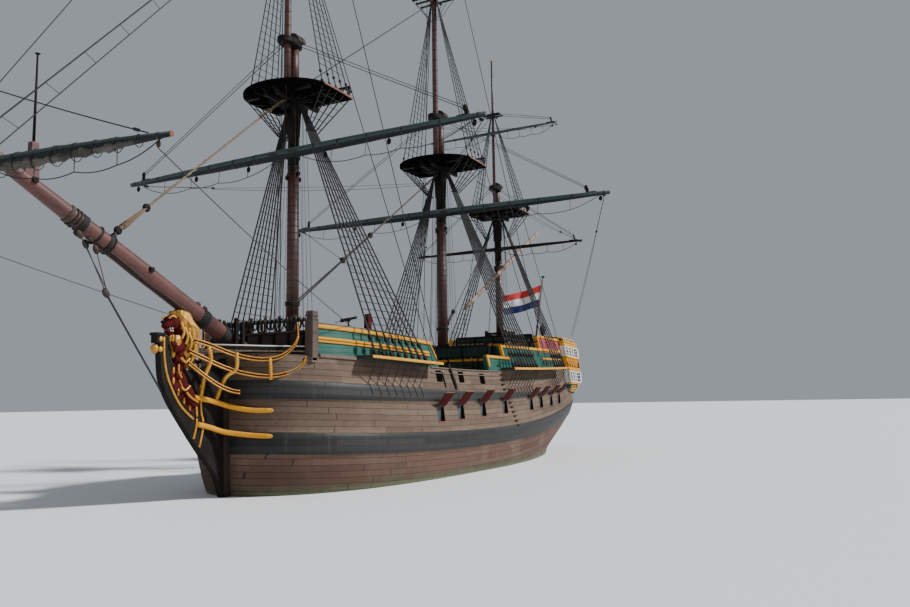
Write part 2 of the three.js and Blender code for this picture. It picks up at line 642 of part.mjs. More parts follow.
function topOutline(m, share) {
  const R = m.topR;
  const side = [];
  for (let i = 0; i < 10; i++) {
    const a = rad(mix(3, 90, i / 9));
    side.push([TOP_PLAN.centre * R + TOP_PLAN.reach * R * Math.cos(a), R * Math.sin(a)]);
  }
  side.push([TOP_PLAN.back * R, TOP_PLAN.corner * R], [TOP_PLAN.back * R, 0.3 * R]);
  return side.map(([x, y]) => [m.x + 0.3 + (x - 0.3) * share, y * share]);
}

function makeTop(m) {
  const R = m.topR;
  const levels = TOP_LEVELS.map(([dz, share]) => {
    return bothSides(topOutline(m, share).map(([x, y]) => [x, y, m.topZ + dz]));
  });
  const y = mastRadius(m, m.topZ - 0.4) + 0.1 + GAP;
  const beams = SIDES.map(([, side]) => {
    return block([m.x - 0.6 * R, side * y - 0.1, m.topZ - 0.42], [m.x + 0.72 * R, side * y + 0.1, m.topZ]);
  });
  const cross = [-0.42, 0.5].map((f) => {
    return block([m.x + f * R - 0.1, -0.8 * R, m.topZ - 0.2], [m.x + f * R + 0.1, 0.8 * R, m.topZ]);
  });
  const hole = block([m.x - 0.5, -y + 0.1, m.topZ - 1], [topmastX(m) + 0.3, y - 0.1, m.topZ + 1]);
  return union([skin(levels), ...beams, ...cross]).subtract(hole);
}

// The topmast stands on its fid, a bar through its heel that lies across the top.
function makeTopmast(m) {
  const x = topmastX(m);
  const trees = (z, span, reach) => union([
    ...SIDES.map(([, side]) => {
      return block([x - reach, side * 0.2 - 0.05, z - 0.12], [x + reach, side * 0.2 + 0.05, z + 0.02]);
    }),
    ...[-reach * 0.8, 0.1, reach * 0.9].map((dx) => {
      return block([x + dx - 0.06, -span, z], [x + dx + 0.06, span, z + 0.1]);
    }),
  ]);
  const fidY = mastRadius(m, m.topZ) + 0.2;
  const fidZ = m.topZ + TOP_DEPTH + GAP;
  const heel = union([topmastPole(m), block([x - 0.07, -fidY, fidZ], [x + 0.07, fidY, fidZ + 0.16])]);
  if (!m.topHead) return heel.add(trees(m.cross, 0.8, 0.45));
  const gallantX = x + m.topRadius + 0.2;
  return union([
    heel,
    trees(m.cross, 1.5, 0.75),
    block([x - 0.22, -0.2, m.topHead - 0.15], [gallantX + 0.2, 0.2, m.topHead + 0.1]),
    spar([gallantX, 0, m.cross - 0.3], [gallantX, 0, m.poleTop], [0.15, 0.07], 12),
    block([x, -0.15, m.cross - 0.12], [gallantX, 0.15, m.cross]),
  ]);
}

// A square yard slung before a mast of radius r at mastX, with the collar that holds it to the mast.
const YARD_COLLAR = 0.16;
function makeYard(yard, mastX, r) {
  const x = mastX + r + yard.r + 0.06;
  const taper = [0.45, 0.72, 0.92, 1, 1, 0.92, 0.72, 0.45].map((f) => f * yard.r);
  const pole = spar([x, -yard.half, yard.z], [x, yard.half, yard.z], taper, 12);
  const ring = collar(mastX, 0, yard.z - YARD_COLLAR, yard.z + YARD_COLLAR, r, 0.07, MAST_SIDES);
  const tie = block([mastX + r + 0.04, -0.12, yard.z - 0.14], [x, 0.12, yard.z + 0.14]);
  const body = union([pole, ring, tie]);
  const turn = new THREE.Matrix4().makeTranslation(mastX * MM, 0, 0);
  turn.multiply(new THREE.Matrix4().makeRotationZ(rad(yard.brace)));
  turn.multiply(new THREE.Matrix4().makeTranslation(-mastX * MM, 0, 0));
  return placed(body, turn);
}

const makeStay = (from, to) => spar(from, to, [0.06, 0.06], 8);

// GUNPORT LIDS hang on a barrel at the port's top edge and are stored swung up.
function makeLid() {
  const drop = 0.02;
  const inner = -LID.barrel + RUNNING - GAP;
  const plate = block([-LID.width / 2, inner, -LID.height - drop], [LID.width / 2, inner + LID.thick, 0]);
  const barrel = spar([-LID.width / 2, 0, 0], [LID.width / 2, 0, 0], [LID.barrel, LID.barrel], 12);
  return union([plate, barrel]);
}

function addLid(name, x, z, side) {
  const frame = sideFrame(x, z, side);
  const hinge = new THREE.Group();
  const shift = frame.out.clone().multiplyScalar((PORT.proud + LID.barrel + GAP) * MM);
  const rise = frame.up.clone().multiplyScalar((PORT.height / 2 + 0.06) * MM);
  hinge.applyMatrix4(sideMatrix({ ...frame, origin: frame.origin.clone().add(shift).add(rise) }));
  ship.add(hinge);
  const lid = add(name, makeLid(), "maroon", hinge);
  lid.rotation.x = rad(LID.open);
}

// RUDDER behind the sternpost, turning about a raking line.
// Its breadths are given from the bottom up: height, breadth.
const RUDDER = {
  top: 4.5, bottom: -5.2, nose: 0.17, half: 0.14,
  breadths: [[-5.2, 1.6], [-3.0, 1.5], [0.6, 1.1], [0.7, 0.85], [2.6, 0.75], [2.7, 0.5], [4.5, 0.42]],
};
const rudderX = (z) => sternX(z) - 0.42 - GAP - RUDDER.nose;
function makeRudder() {
  const { bottom, top, nose, half, breadths } = RUDDER;
  const post = spar([rudderX(bottom), 0, bottom], [rudderX(top), 0, top], [nose, nose], 16);
  const edge = breadths.map(([z, back]) => [rudderX(z) - back, z]);
  return post.add(plateXZ([[rudderX(bottom), bottom], ...edge, [rudderX(top), top]], -half, half));
}

function makeCapstan() {
  const profile = [
    [0, 0], [0.62, 0], [0.62, 0.12], [0.36, 0.18], [0.28, 0.75], [0.5, 0.82], [0.5, 1.08], [0, 1.08],
  ];
  const lathe = new THREE.LatheGeometry(profile.map(([r, z]) => new THREE.Vector2(r * MM, z * MM)), 16);
  return solid(lathe.rotateX(Math.PI / 2).translate(-6.2 * MM, 0, (DECK.quarter + GAP) * MM));
}

const hull = makeHull();
const aroundHull = grown(hull, GAP);
const keel = makeKeel(aroundHull);
const bowsprit = makeBowsprit().subtract(aroundHull);
const beakhead = makeBeakhead().subtract(aroundHull).subtract(grown(bowsprit, GAP)).subtract(grown(keel, GAP));
const knee = makeKnee().subtract(aroundHull).subtract(grown(keel, GAP)).subtract(grown(beakhead, GAP));
const aroundHead = union([...[knee, beakhead, keel, bowsprit].map((body) => grown(body, GAP)), aroundHull]);
const lion = makeLion().subtract(aroundHead);
add("hull", hull, "oak");
add("keel", keel, "oak");
add("knee_of_head", knee, "maroon");
add("beakhead", beakhead, "oak");
add("bowsprit", bowsprit, "mast");
add("figurehead", lion, "gold");

const foreDeck = makeForecastleDeck().subtract(aroundHull).subtract(grown(beakhead, GAP));
const quarterdeck = makeQuarterdeck().subtract(aroundHull);
const poop = makePoop();
const stern = largest(makeSternGallery().subtract(aroundHull).subtract(grown(union([quarterdeck, poop]), GAP)));
add("forecastle_deck", foreDeck, "pine");
add("quarterdeck", quarterdeck, "pine");
add("poop_deck", poop, "pine");
add("stern_gallery", stern, "ochre");

const aroundStern = grown(stern, GAP);
const hullRaised = shifted(hull, 0, 0, GAP);
const hullOutward = shifted(hull, 0, GAP, 0);
// Cuts a piece of the port side back from a neighbour inboard of it or below it.
const clearOf = (body, other) => body.subtract(shifted(other, 0, GAP, 0)).subtract(shifted(other, 0, GAP, GAP));
const fore = clearOf(bulwark(FORE_WALLS, FORE_RAILS).subtract(hullRaised), foreDeck);
const aft = clearOf(clearOf(bulwark(QUARTER_WALLS, QUARTER_RAILS).subtract(hullRaised), quarterdeck), poop);
// The room that the gallery leaves for the walls it hangs on.
const quarterWalls = union(QUARTER_WALLS.map(([, x1, low, high]) => strip({
  x0: -21.4, x1, low: (x) => low(x) - 2 * GAP, high: (x) => high(x) + 2 * GAP, out: 2 * GAP,
})));
const besides = (body, wall) => body.subtract(hullOutward).subtract(shifted(wall, 0, GAP, 0));
const gallery = clearOf(makeGallery().subtract(hullOutward), stern).subtract(quarterWalls);
const portSide = {
  head_rails: [makeHeadRails().subtract(aroundHead).subtract(grown(lion, GAP)), "gold"],
  forecastle_bulwark: [fore, "green"],
  quarter_bulwark: [aft, "green"],
  quarter_gallery: [gallery, "ochre"],
  fore_channel: [besides(makeChannel(...CHANNELS.fore, CHANNELS.out), fore), "black"],
  aft_channel: [besides(makeChannel(...CHANNELS.aft, CHANNELS.out), aft), "ochre"],
};
for (const [name, [body, finish]] of Object.entries(portSide)) {
  add(`${name}_port`, body, finish);
  add(`${name}_starboard`, mirrored(body), finish);
}
for (const [word, side] of SIDES) {
  PORTS.forEach(([x, z], i) => addLid(`port_lid_${word}_${i + 1}`, x, z, side));
}

const [lower, tops, topmasts] = [{}, {}, {}];
for (const [name, m] of Object.entries(MASTS)) {
  [lower[name], tops[name], topmasts[name]] = [makeLowerMast(m), makeTop(m), makeTopmast(m)];
  add(`${name}_mast`, lower[name], "mast");
  add(`${name}_top`, tops[name], "black");
  add(`${name}_topmast`, topmasts[name], "mast");
}
// Square yards: name, table, line of the mast they turn about, mast's radius at the yard's underside.
const { fore: foreMast, main: mainMast, mizzen: mizzenMast } = MASTS;
const mizzenTopRadius = (z) => {
  const t = (z - mizzenMast.heel) / (mizzenMast.poleTop - mizzenMast.heel);
  return mix(1, 0.55, t) * mizzenMast.topRadius;
};
const SQUARE_YARDS = [
  ["fore_yard", YARDS.fore, foreMast.x, (z) => mastRadius(foreMast, z)],
  ["main_yard", YARDS.main, mainMast.x, (z) => mastRadius(mainMast, z)],
  ["crossjack_yard", YARDS.crossjack, mizzenMast.x, (z) => mastRadius(mizzenMast, z)],
  ["mizzen_topsail_yard", YARDS.mizzenTop, topmastX(mizzenMast), mizzenTopRadius],
];
for (const [name, yard, x, radius] of SQUARE_YARDS) {
  add(name, makeYard(yard, x, radius(yard.z - YARD_COLLAR)), "slate");
}

// SPRITSAIL YARD hangs under the bowsprit on a sling whose flat head meets the bowsprit's underside.
{
  const run = new THREE.Vector3(BOWSPRIT.endX - BOWSPRIT.rootX, 0, BOWSPRIT.endZ - BOWSPRIT.rootZ);
  const length = run.length();
  run.normalize();
  const half = length / 2;
  const radius = (s) => mix(BOWSPRIT.r0, BOWSPRIT.r1, clamp((s - half) / half, 0, 1));
  const { along, drop, r, brace } = SPRITSAIL;
  const at = (d) => [
    BOWSPRIT.rootX + run.x * along + run.z * d, 0, BOWSPRIT.rootZ + run.z * along - run.x * d,
  ];
  const [x, , z] = at(drop);
  const ends = [-1, 1].map((side) => {
    const on = side * SPRITSAIL.half * Math.sin(rad(brace));
    return [x + run.x * on, side * SPRITSAIL.half * Math.cos(rad(brace)), z + run.z * on];
  });
  const pole = spar(...ends, [0.4, 0.75, 0.95, 1, 1, 0.95, 0.75, 0.4].map((f) => f * r), 12);
  const facets = 0.9875; // share of the radius at which the bowsprit's facets lie over the sling
  const sling = spar(at(radius(along - 0.14) * facets + GAP), [x, 0, z], [0.13, 0.13], 12);
  add("spritsail_yard", union([pole, sling]), "slate");
}

// LATEEN YARD lies along the port side of the mizzen mast and rocks about a pin at the mast.
{
  const m = MASTS.mizzen;
  const t = (m.x - LATEEN.lowX) / (LATEEN.highX - LATEEN.lowX);
  const z = mix(LATEEN.lowZ, LATEEN.highZ, t);
  const face = mastRadius(m, z - 0.12) + GAP;
  const y = face + 0.14 + LATEEN.r;
  const taper = [0.75, 0.9, 1, 0.9, 0.75].map((f) => f * LATEEN.r);
  const pole = spar([LATEEN.lowX, y, LATEEN.lowZ], [LATEEN.highX, y, LATEEN.highZ], taper, 12);
  add("lateen_yard", union([pole, spar([m.x, face, z], [m.x, y, z], [0.1, 0.1], 12)]), "tan");
}

// STAYS from each masthead forward and down to a collar.
const forestay = makeStay([15.62, 0, 21.0], [26.8, 0, bowspritZ(26.8)]);
add("fore_stay", forestay.subtract(grown(union([tops.fore, topmasts.fore, bowsprit]), GAP)), "rope");
const mainStay = makeStay([mainMast.x, 0, 21.1], [foreMast.x - 0.4, 0, 9.8]);
const mainCollar = collar(foreMast.x, 0, 9.6, 9.9, mastRadius(foreMast, 9.6), 0.08);
const aroundMasts = (body, ...masts) => body.subtract(grown(union(masts), GAP));
add("main_stay", aroundMasts(mainStay.add(mainCollar), lower.main, lower.fore), "rope");
const mizzenStay = makeStay([mizzenMast.x, 0, 19.1], [mainMast.x - 0.44, 0, 9.6]);
const mizzenCollar = collar(mainMast.x, 0, 9.4, 9.7, mastRadius(mainMast, 9.4), 0.08);
add("mizzen_stay", aroundMasts(mizzenStay.add(mizzenCollar), lower.mizzen, lower.main), "rope");

// Matrix that leans a body along X with height and sets it at x on height z.
function leaning(slope, x, z) {
  const m = new THREE.Matrix4().set(1, 0, slope, (x - slope * z) * MM, 0, 1, 0, 0, 0, 0, 1, 0, 0, 0, 0, 1);
  return m.elements.slice();
}

// ENSIGN on its staff at the taffrail.
const STAFF = { footX: -19.95, topX: -22.53, topZ: 16.05, r: 0.075 };
const staffFoot = [STAFF.footX, 0, DECK.poop + 0.01];
const staff = spar(staffFoot, [STAFF.topX, 0, STAFF.topZ], [STAFF.r, STAFF.r * 0.6], 10);
add("ensign_staff", staff.subtract(grown(poop, GAP)), "tan");
const staffX = (z) => mix(STAFF.footX, STAFF.topX, (z - DECK.poop) / (STAFF.topZ - DECK.poop));
// The flag's hoist lies along the staff, and its fly streams forward and to starboard.
const FLAG = { low: 13.0, high: 15.2, reachLow: 3.4, reachHigh: 3.9, dropLow: 0.8, dropHigh: 1.0, yaw: -62 };
const [hoistLow, hoistHigh] = [staffX(FLAG.low), staffX(FLAG.high)];
const flagOutline = [
  [0, FLAG.low], [FLAG.reachLow, FLAG.low - FLAG.dropLow],
  [FLAG.reachHigh, FLAG.high - FLAG.dropHigh], [0, FLAG.high],
];
const flagLean = (hoistHigh - hoistLow) / (FLAG.high - FLAG.low);
const flag = plateXZ(flagOutline, -0.03, 0.03)
  .rotate([0, 0, FLAG.yaw])
  .transform(leaning(flagLean, hoistLow, FLAG.low));
add("ensign", largest(flag.subtract(grown(staff, GAP))), "cloth");
add("capstan", makeCapstan(), "maroon");
add("rudder", makeRudder().subtract(aroundStern), "oak");

export default ship;
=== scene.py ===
"""A three-masted East Indiaman afloat with her canvas sent down, at half size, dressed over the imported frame.

+X points to the bow, +Y to port and +Z up, with the origin amidships on the water. Sizes in the tables are
metres of the full-size ship; every mesh is written at half that size.
"""

import json
import logging
import math
from dataclasses import dataclass, field
from enum import Enum
from typing import Any, Callable, Iterable, Sequence

import bmesh
import bpy
import numpy as np
from mathutils import Matrix, Vector

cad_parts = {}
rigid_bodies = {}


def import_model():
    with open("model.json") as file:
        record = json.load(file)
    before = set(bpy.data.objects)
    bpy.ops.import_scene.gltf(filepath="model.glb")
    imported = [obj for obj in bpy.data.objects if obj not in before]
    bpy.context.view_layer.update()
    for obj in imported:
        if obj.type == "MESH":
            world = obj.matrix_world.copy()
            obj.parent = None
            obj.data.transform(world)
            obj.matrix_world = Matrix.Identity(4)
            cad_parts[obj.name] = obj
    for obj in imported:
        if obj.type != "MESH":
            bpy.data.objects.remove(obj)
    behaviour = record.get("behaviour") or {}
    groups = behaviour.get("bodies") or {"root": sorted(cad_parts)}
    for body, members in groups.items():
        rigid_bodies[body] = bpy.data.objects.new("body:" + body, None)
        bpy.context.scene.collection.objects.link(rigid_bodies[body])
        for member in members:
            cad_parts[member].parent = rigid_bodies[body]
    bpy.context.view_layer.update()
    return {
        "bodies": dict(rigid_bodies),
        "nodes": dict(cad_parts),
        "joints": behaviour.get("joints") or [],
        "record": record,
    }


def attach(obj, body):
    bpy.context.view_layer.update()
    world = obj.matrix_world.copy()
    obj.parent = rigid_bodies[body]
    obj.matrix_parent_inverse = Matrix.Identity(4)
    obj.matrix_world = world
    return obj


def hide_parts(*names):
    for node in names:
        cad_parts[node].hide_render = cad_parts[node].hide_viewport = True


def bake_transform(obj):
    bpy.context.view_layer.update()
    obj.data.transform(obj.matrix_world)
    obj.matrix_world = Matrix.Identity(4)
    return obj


SCALE = 0.5
SIDES = (1, -1)
SIDE_NAMES = {1: "port", -1: "starboard"}
Point = Sequence[float]
Along = Callable[[float], float]
log = logging.getLogger("ship")


class Part(Enum):
    """Material slots of the record."""

    OAK = "oak"
    BLACK = "black"
    GREEN = "green"
    OCHRE = "ochre"
    MAST = "mast"
    SLATE = "slate"
    GOLD = "gold"
    MAROON = "maroon"
    TAN = "tan"
    ROPE = "rope"
    CLOTH = "cloth"


def mix(a: float, b: float, t: float) -> float:
    """The value a share t of the way from a to b."""
    return a + (b - a) * t


def unit(v: Point) -> np.ndarray:
    """The vector with length 1."""
    a = np.asarray(v, float)
    return a / max(np.linalg.norm(a), 1e-9)


# Form of the hull.


@dataclass(frozen=True)
class HullForm:
    """The lines of the hull as functions of the station x and the height z."""

    mid_x: float = 1.5
    keel_top: float = -4.75
    post_half: float = 0.2
    max_half: float = 5.65
    max_z: float = 1.8
    tuck_low: float = 0.4
    tuck_high: float = 4.6
    transom_half: float = 3.1
    wall: float = 0.28

    def stem_x(self, z: np.ndarray) -> np.ndarray:
        """Fore end of the planking at a height."""
        s = np.clip((z - self.keel_top) / 5.75, 0, 1)
        return 14.5 + 5.0 * np.sqrt(1 - (1 - s) ** 2) + 0.05 * np.maximum(0, z - 1)

    def stern_x(self, z: np.ndarray) -> np.ndarray:
        """After end of the planking at a height."""
        return -20.3 - 0.05 * z

    def mid_half(self, z: np.ndarray) -> np.ndarray:
        """Half breadth amidships."""
        s = np.clip((z - self.keel_top) / (self.max_z - self.keel_top), 0, 1)
        low = self.post_half + (self.max_half - self.post_half) * np.sqrt(1 - (1 - s) ** 2.6)
        return np.where(z > self.max_z, self.max_half - 0.063 * np.maximum(0, z - self.max_z) ** 1.55, low)

    def transom(self, z: np.ndarray) -> np.ndarray:
        """Half breadth at the stern."""
        s = np.clip((z - self.tuck_low) / (self.tuck_high - self.tuck_low), 0, 1)
        return self.post_half + self.transom_half * np.sin(s * np.pi / 2) - 0.1 * np.maximum(0, z - self.tuck_high)

    def half(self, x: Any, z: Any) -> np.ndarray:
        """Half breadth at a station and a height."""
        x, z = np.broadcast_arrays(np.asarray(x, float), np.asarray(z, float))
        w = np.clip((z - self.keel_top) / 6.75, 0, 1)
        fore = x > self.mid_x
        end = np.where(fore, self.post_half, self.transom(z))
        reach = np.where(fore, self.stem_x(z), self.stern_x(z)) - self.mid_x
        t = np.clip((x - self.mid_x) / reach, 0, 1)
        p = np.where(fore, 1.6 + 2.9 * w, 1.7 + 0.5 * w)
        q = np.where(fore, 1 + 1.2 * w, 1 + 0.2 * w)
        return end + (self.mid_half(z) - end) * (1 - t**p) ** (1 / q)

    def sheer(self, x: Any) -> np.ndarray:
        """Height of the planked side's top."""
        x = np.asarray(x, float)
        fore = 6.33 + 0.48 * (np.maximum(x - 3, 0) / 16.5) ** 2
        return np.where(x > 3, fore, 6.33 + 0.6 * (np.maximum(3 - x, 0) / 20) ** 1.6)

    def side_point(self, x: float, z: float, out: float = 0.0) -> np.ndarray:
        """A point of the port side, moved outwards."""
        return np.array([x, float(self.half(x, z)) + out, z])


FORM = HullForm()
DECK = {"waist": 5.05, "forecastle": 7.05, "quarter": 7.25, "poop": 8.95}
BREAK = {"beakhead": 17.3, "forecastle": 8.6, "quarter": -1.2, "poop": -10.9}
DECK_BACK, FORE_END = -20.6, 17.12


@dataclass(frozen=True)
class Stick:
    """A mast: place, heights, radii, and its top, topmast and pole."""

    name: str
    x: float
    foot: float
    head: float
    r0: float
    r1: float
    top_z: float
    top_r: float
    heel: float
    cross: float
    top_head: float
    top_radius: float
    pole_top: float

    def radius(self, z: float) -> float:
        """Radius of the lower mast at a height."""
        return mix(self.r0, self.r1, (z - self.foot) / (self.head - self.foot))

    @property
    def topmast_x(self) -> float:
        """Line of the topmast before the lower masthead."""
        return self.x + self.radius(self.head) + self.top_radius + 0.1

    def topmast_r(self, z: float) -> float:
        """Radius of the topmast at a height."""
        top, taper = (self.top_head, 0.75) if self.top_head else (self.pole_top, 0.55)
        return self.top_radius * mix(1, taper, (z - self.heel) / (top - self.heel))


FORE = Stick("fore", 14.69, 7.05, 24.6, 0.35, 0.27, 21.4, 2.75, 20.7, 33.4, 36.4, 0.21, 46.5)
MAIN = Stick("main", -2.39, 7.25, 25.4, 0.40, 0.30, 21.7, 2.95, 21.0, 34.45, 37.8, 0.225, 50.2)
MIZZEN = Stick("mizzen", -12.39, 8.95, 22.3, 0.31, 0.24, 20.05, 2.35, 19.4, 28.5, 0.0, 0.14, 33.5)
BOWSPRIT_ROOT, BOWSPRIT_END = np.array([17.5, 0, 6.523]), np.array([33.4, 0, 14.354])
BOWSPRIT_RUN = unit(BOWSPRIT_END - BOWSPRIT_ROOT)
BOWSPRIT_LENGTH = float(np.linalg.norm(BOWSPRIT_END - BOWSPRIT_ROOT))
BOWSPRIT_DOWN = np.array([BOWSPRIT_RUN[2], 0, -BOWSPRIT_RUN[0]])


def bowsprit_radius(s: float) -> float:
    """Radius of the bowsprit at a distance along it."""
    half = BOWSPRIT_LENGTH / 2
    return mix(0.42, 0.21, min(1, max(0, (s - half) / half)))


# Shapes.


class Shape:
    """Vertices and faces in full-size metres; each face carries the number of its finish."""

    def __init__(self) -> None:
        """An empty shape."""
        self.verts: list[np.ndarray] = []
        self.faces: list[tuple[int, ...]] = []
        self.marks: list[int] = []
        self.smooth: list[bool] = []
        self.count = 0

    def add(self, verts: Any, faces: Iterable[Sequence[int]], mark: int = 0, smooth: bool = False) -> "Shape":
        """Adds vertices and the faces on them.

        Args:
            verts: points in full-size metres.
            faces: rows of numbers of those points.
            mark: the finish of the faces.
            smooth: whether the faces are shaded smooth.

        Returns:
            The shape itself.
        """
        points = np.asarray(verts, float).reshape(-1, 3)
        for f in faces:
            self.faces.append(tuple(i + self.count for i in f))
            self.marks.append(mark)
            self.smooth.append(smooth)
        self.verts.append(points)
        self.count += len(points)
        return self

    def box(self, low: Point, high: Point, mark: int = 0, frame: Any = None) -> "Shape":
        """A block between two corners, in a 4 x 4 frame where one is given."""
        (x0, y0, z0), (x1, y1, z1) = low, high
        v = np.array([[x, y, z] for z in (z0, z1) for y in (y0, y1) for x in (x0, x1)], float)
        if frame is not None:
            v = v @ np.asarray(frame)[:3, :3].T + np.asarray(frame)[:3, 3]
        f = [(0, 2, 3, 1), (4, 5, 7, 6), (0, 1, 5, 4), (2, 6, 7, 3), (0, 4, 6, 2), (1, 3, 7, 5)]
        return self.add(v, f, mark)

    def grid(self, points: np.ndarray, mark: int = 0, smooth: bool = True, ring: bool = False,
             caps: bool = False, flip: bool = False, skip: Any = None) -> "Shape":
        """Faces over rows of points.

        Args:
            points: array of rows, columns and three coordinates.
            mark: the finish of the faces.
            smooth: whether they are shaded smooth.
            ring: whether each row closes on itself.
            caps: whether the first and last rows are closed by a face.
            flip: turns the faces round.
            skip: cells that are left open, as an array of rows and columns.

        Returns:
            The shape itself.
        """
        rows, cols = points.shape[:2]
        faces = []
        for i in range(rows - 1):
            for j in range(cols if ring else cols - 1):
                if skip is not None and skip[i, j]:
                    continue
                k = (j + 1) % cols
                face = (i * cols + j, i * cols + k, (i + 1) * cols + k, (i + 1) * cols + j)
                faces.append(face[::-1] if flip else face)
        self.add(points.reshape(-1, 3), faces, mark, smooth)
        if caps:
            first = tuple(range(cols))[::-1]
            last = tuple((rows - 1) * cols + j for j in range(cols))
            for face in (first, last):
                self.faces.append(tuple(i + self.count - rows * cols for i in (face[::-1] if flip else face)))
                self.marks.append(mark)
                self.smooth.append(False)
        return self

    def tube(self, path: Any, radii: Any, sides: int = 10, mark: int = 0, smooth: bool = True) -> "Shape":
        """A round bar along a path, closed at both ends.

        Args:
            path: points along the middle.
            radii: one radius, or one for each point.
            sides: number of facets round it.
            mark: the finish of the faces.
            smooth: whether they are shaded smooth.

        Returns:
            The shape itself.
        """
        p = np.asarray(path, float)
        r = np.broadcast_to(np.asarray(radii, float), (len(p),))
        run = np.gradient(p, axis=0)
        run /= np.maximum(np.linalg.norm(run, axis=1, keepdims=True), 1e-9)
        side = unit(np.cross(run[0], [0, 0, 1] if abs(run[0][2]) < 0.9 else [1, 0, 0]))
        angles = np.linspace(0, 2 * np.pi, sides, endpoint=False)
        rows = []
        for k in range(len(p)):
            side = unit(side - run[k] * (side @ run[k]))
            up = np.cross(side, run[k])
            rows.append(p[k] + r[k] * (np.outer(np.cos(angles), side) + np.outer(np.sin(angles), up)))
        return self.grid(np.array(rows), mark, smooth, ring=True, caps=True, flip=True)

    def spar(self, a: Point, b: Point, profile: Sequence[tuple[float, float]], sides: int = 24,
             mark: int = 0) -> "Shape":
        """A turned spar from a to b; the profile gives distances along it and radii."""
        start, run = np.asarray(a, float), unit(np.asarray(b, float) - np.asarray(a, float))
        return self.tube([start + run * d for d, _ in profile], [r for _, r in profile], sides, mark)

    def sweep(self, path: Any, section: Any, mark: int = 0, up: Point = (0, 0, 1), smooth: bool = True,
              widths: Any = 1.0) -> "Shape":
        """A moulded bar along a path.

        Args:
            path: points along it.
            section: outline as pairs (sideways, upwards), counter-clockwise as seen looking back along it.
            mark: the finish of the faces.
            up: direction that the section's height follows.
            smooth: whether the faces are shaded smooth.
            widths: scale of the section, one or one for each point.

        Returns:
            The shape itself.
        """
        p = np.asarray(path, float)
        w = np.broadcast_to(np.asarray(widths, float), (len(p),))
        run = np.gradient(p, axis=0)
        outline = np.asarray(section, float)
        rows = []
        for k in range(len(p)):
            side = unit(np.cross(run[k], up))
            rise = unit(np.cross(side, run[k]))
            rows.append(p[k] + w[k] * (np.outer(outline[:, 0], side) + np.outer(outline[:, 1], rise)))
        return self.grid(np.array(rows), mark, smooth, ring=True, caps=True, flip=True)

    def ball(self, centre: Point, radii: Point, mark: int = 0, rings: int = 8, sides: int = 14,
             frame: Any = None) -> "Shape":
        """A rounded mass with its own half sizes along x, y and z."""
        rows = []
        for i in range(1, rings):
            a = math.pi * i / rings
            b = np.linspace(0, 2 * np.pi, sides, endpoint=False)
            ring = np.stack([np.sin(a) * np.cos(b), np.sin(a) * np.sin(b), np.full(sides, -math.cos(a))], 1)
            rows.append(ring)
        body = np.array(rows) * np.asarray(radii, float)
        ends = np.array([[0, 0, -1], [0, 0, 1]], float) * np.asarray(radii, float)
        if frame is not None:
            turn = np.asarray(frame)[:3, :3]
            body, ends = body @ turn.T, ends @ turn.T
        n = rings - 1
        verts = np.concatenate([body.reshape(-1, 3), ends]) + np.asarray(centre, float)
        faces = [(i * sides + j, i * sides + (j + 1) % sides, (i + 1) * sides + (j + 1) % sides,
                  (i + 1) * sides + j)
                 for i in range(n - 1) for j in range(sides)]
        south, north = n * sides, n * sides + 1
        faces += [(south, (j + 1) % sides, j) for j in range(sides)]
        faces += [(north, (n - 1) * sides + j, (n - 1) * sides + (j + 1) % sides) for j in range(sides)]
        return self.add(verts, faces, mark, True)

    def prism(self, outline: Any, low: Point, high: Point, mark: int = 0) -> "Shape":
        """An outline of points, swept by the vector from low to high."""
        base = np.asarray(outline, float)
        shift = np.asarray(high, float) - np.asarray(low, float)
        n = len(base)
        normal = sum(np.cross(base[i] - base[0], base[(i + 1) % n] - base[0]) for i in range(1, n - 1))
        order = list(range(n)) if normal @ shift < 0 else list(range(n))[::-1]
        base = base[order]
        faces = [tuple(range(n)), tuple(range(2 * n - 1, n - 1, -1))]
        faces += [(i, i + n, (i + 1) % n + n, (i + 1) % n) for i in range(n)]
        return self.add(np.concatenate([base, base + shift]), faces, mark)

    def mirrored(self) -> "Shape":
        """The same shape on the other side of the centreline."""
        other = Shape()
        for v in self.verts:
            other.verts.append(v * [1, -1, 1])
        other.faces = [f[::-1] for f in self.faces]
        other.marks, other.smooth, other.count = list(self.marks), list(self.smooth), self.count
        return other

    def join(self, other: "Shape") -> "Shape":
        """Adds another shape's faces to this one."""
        for f in other.faces:
            self.faces.append(tuple(i + self.count for i in f))
        self.verts += other.verts
        self.marks += other.marks
        self.smooth += other.smooth
        self.count += other.count
        return self

    def placed(self, frame: Any) -> "Shape":
        """The same shape carried through a 4 x 4 frame."""
        m = np.asarray(frame, float)
        self.verts = [v @ m[:3, :3].T + m[:3, 3] for v in self.verts]
        return self


def frame_of(origin: Point, x: Point, y: Point, z: Point) -> np.ndarray:
    """A 4 x 4 frame from its origin and its three directions."""
    m = np.eye(4)
    m[:3, 0], m[:3, 1], m[:3, 2], m[:3, 3] = x, y, z, origin
    return m


def turned(points: Any, pivot: Point, degrees: float, axis: Point = (0, 0, 1)) -> np.ndarray:
    """Points turned about a line through the pivot."""
    m = np.array(Matrix.Rotation(math.radians(degrees), 3, Vector(axis)))
    return (np.asarray(points, float) - pivot) @ m.T + pivot


def smooth_path(points: Any, steps: int = 6) -> np.ndarray:
    """A Catmull-Rom curve through points, with steps to each span."""
    p = np.asarray(points, float)
    ends = np.vstack([2 * p[0] - p[1], p, 2 * p[-1] - p[-2]])
    rows = []
    for i in range(1, len(ends) - 2):
        a, b, c, d = ends[i - 1 : i + 3]
        for t in np.linspace(0, 1, steps, endpoint=False):
            rows.append(0.5 * (2 * b + (c - a) * t + (2 * a - 5 * b + 4 * c - d) * t**2
                               + (3 * b - 3 * c + d - a) * t**3))
    rows.append(p[-1])
    return np.array(rows)


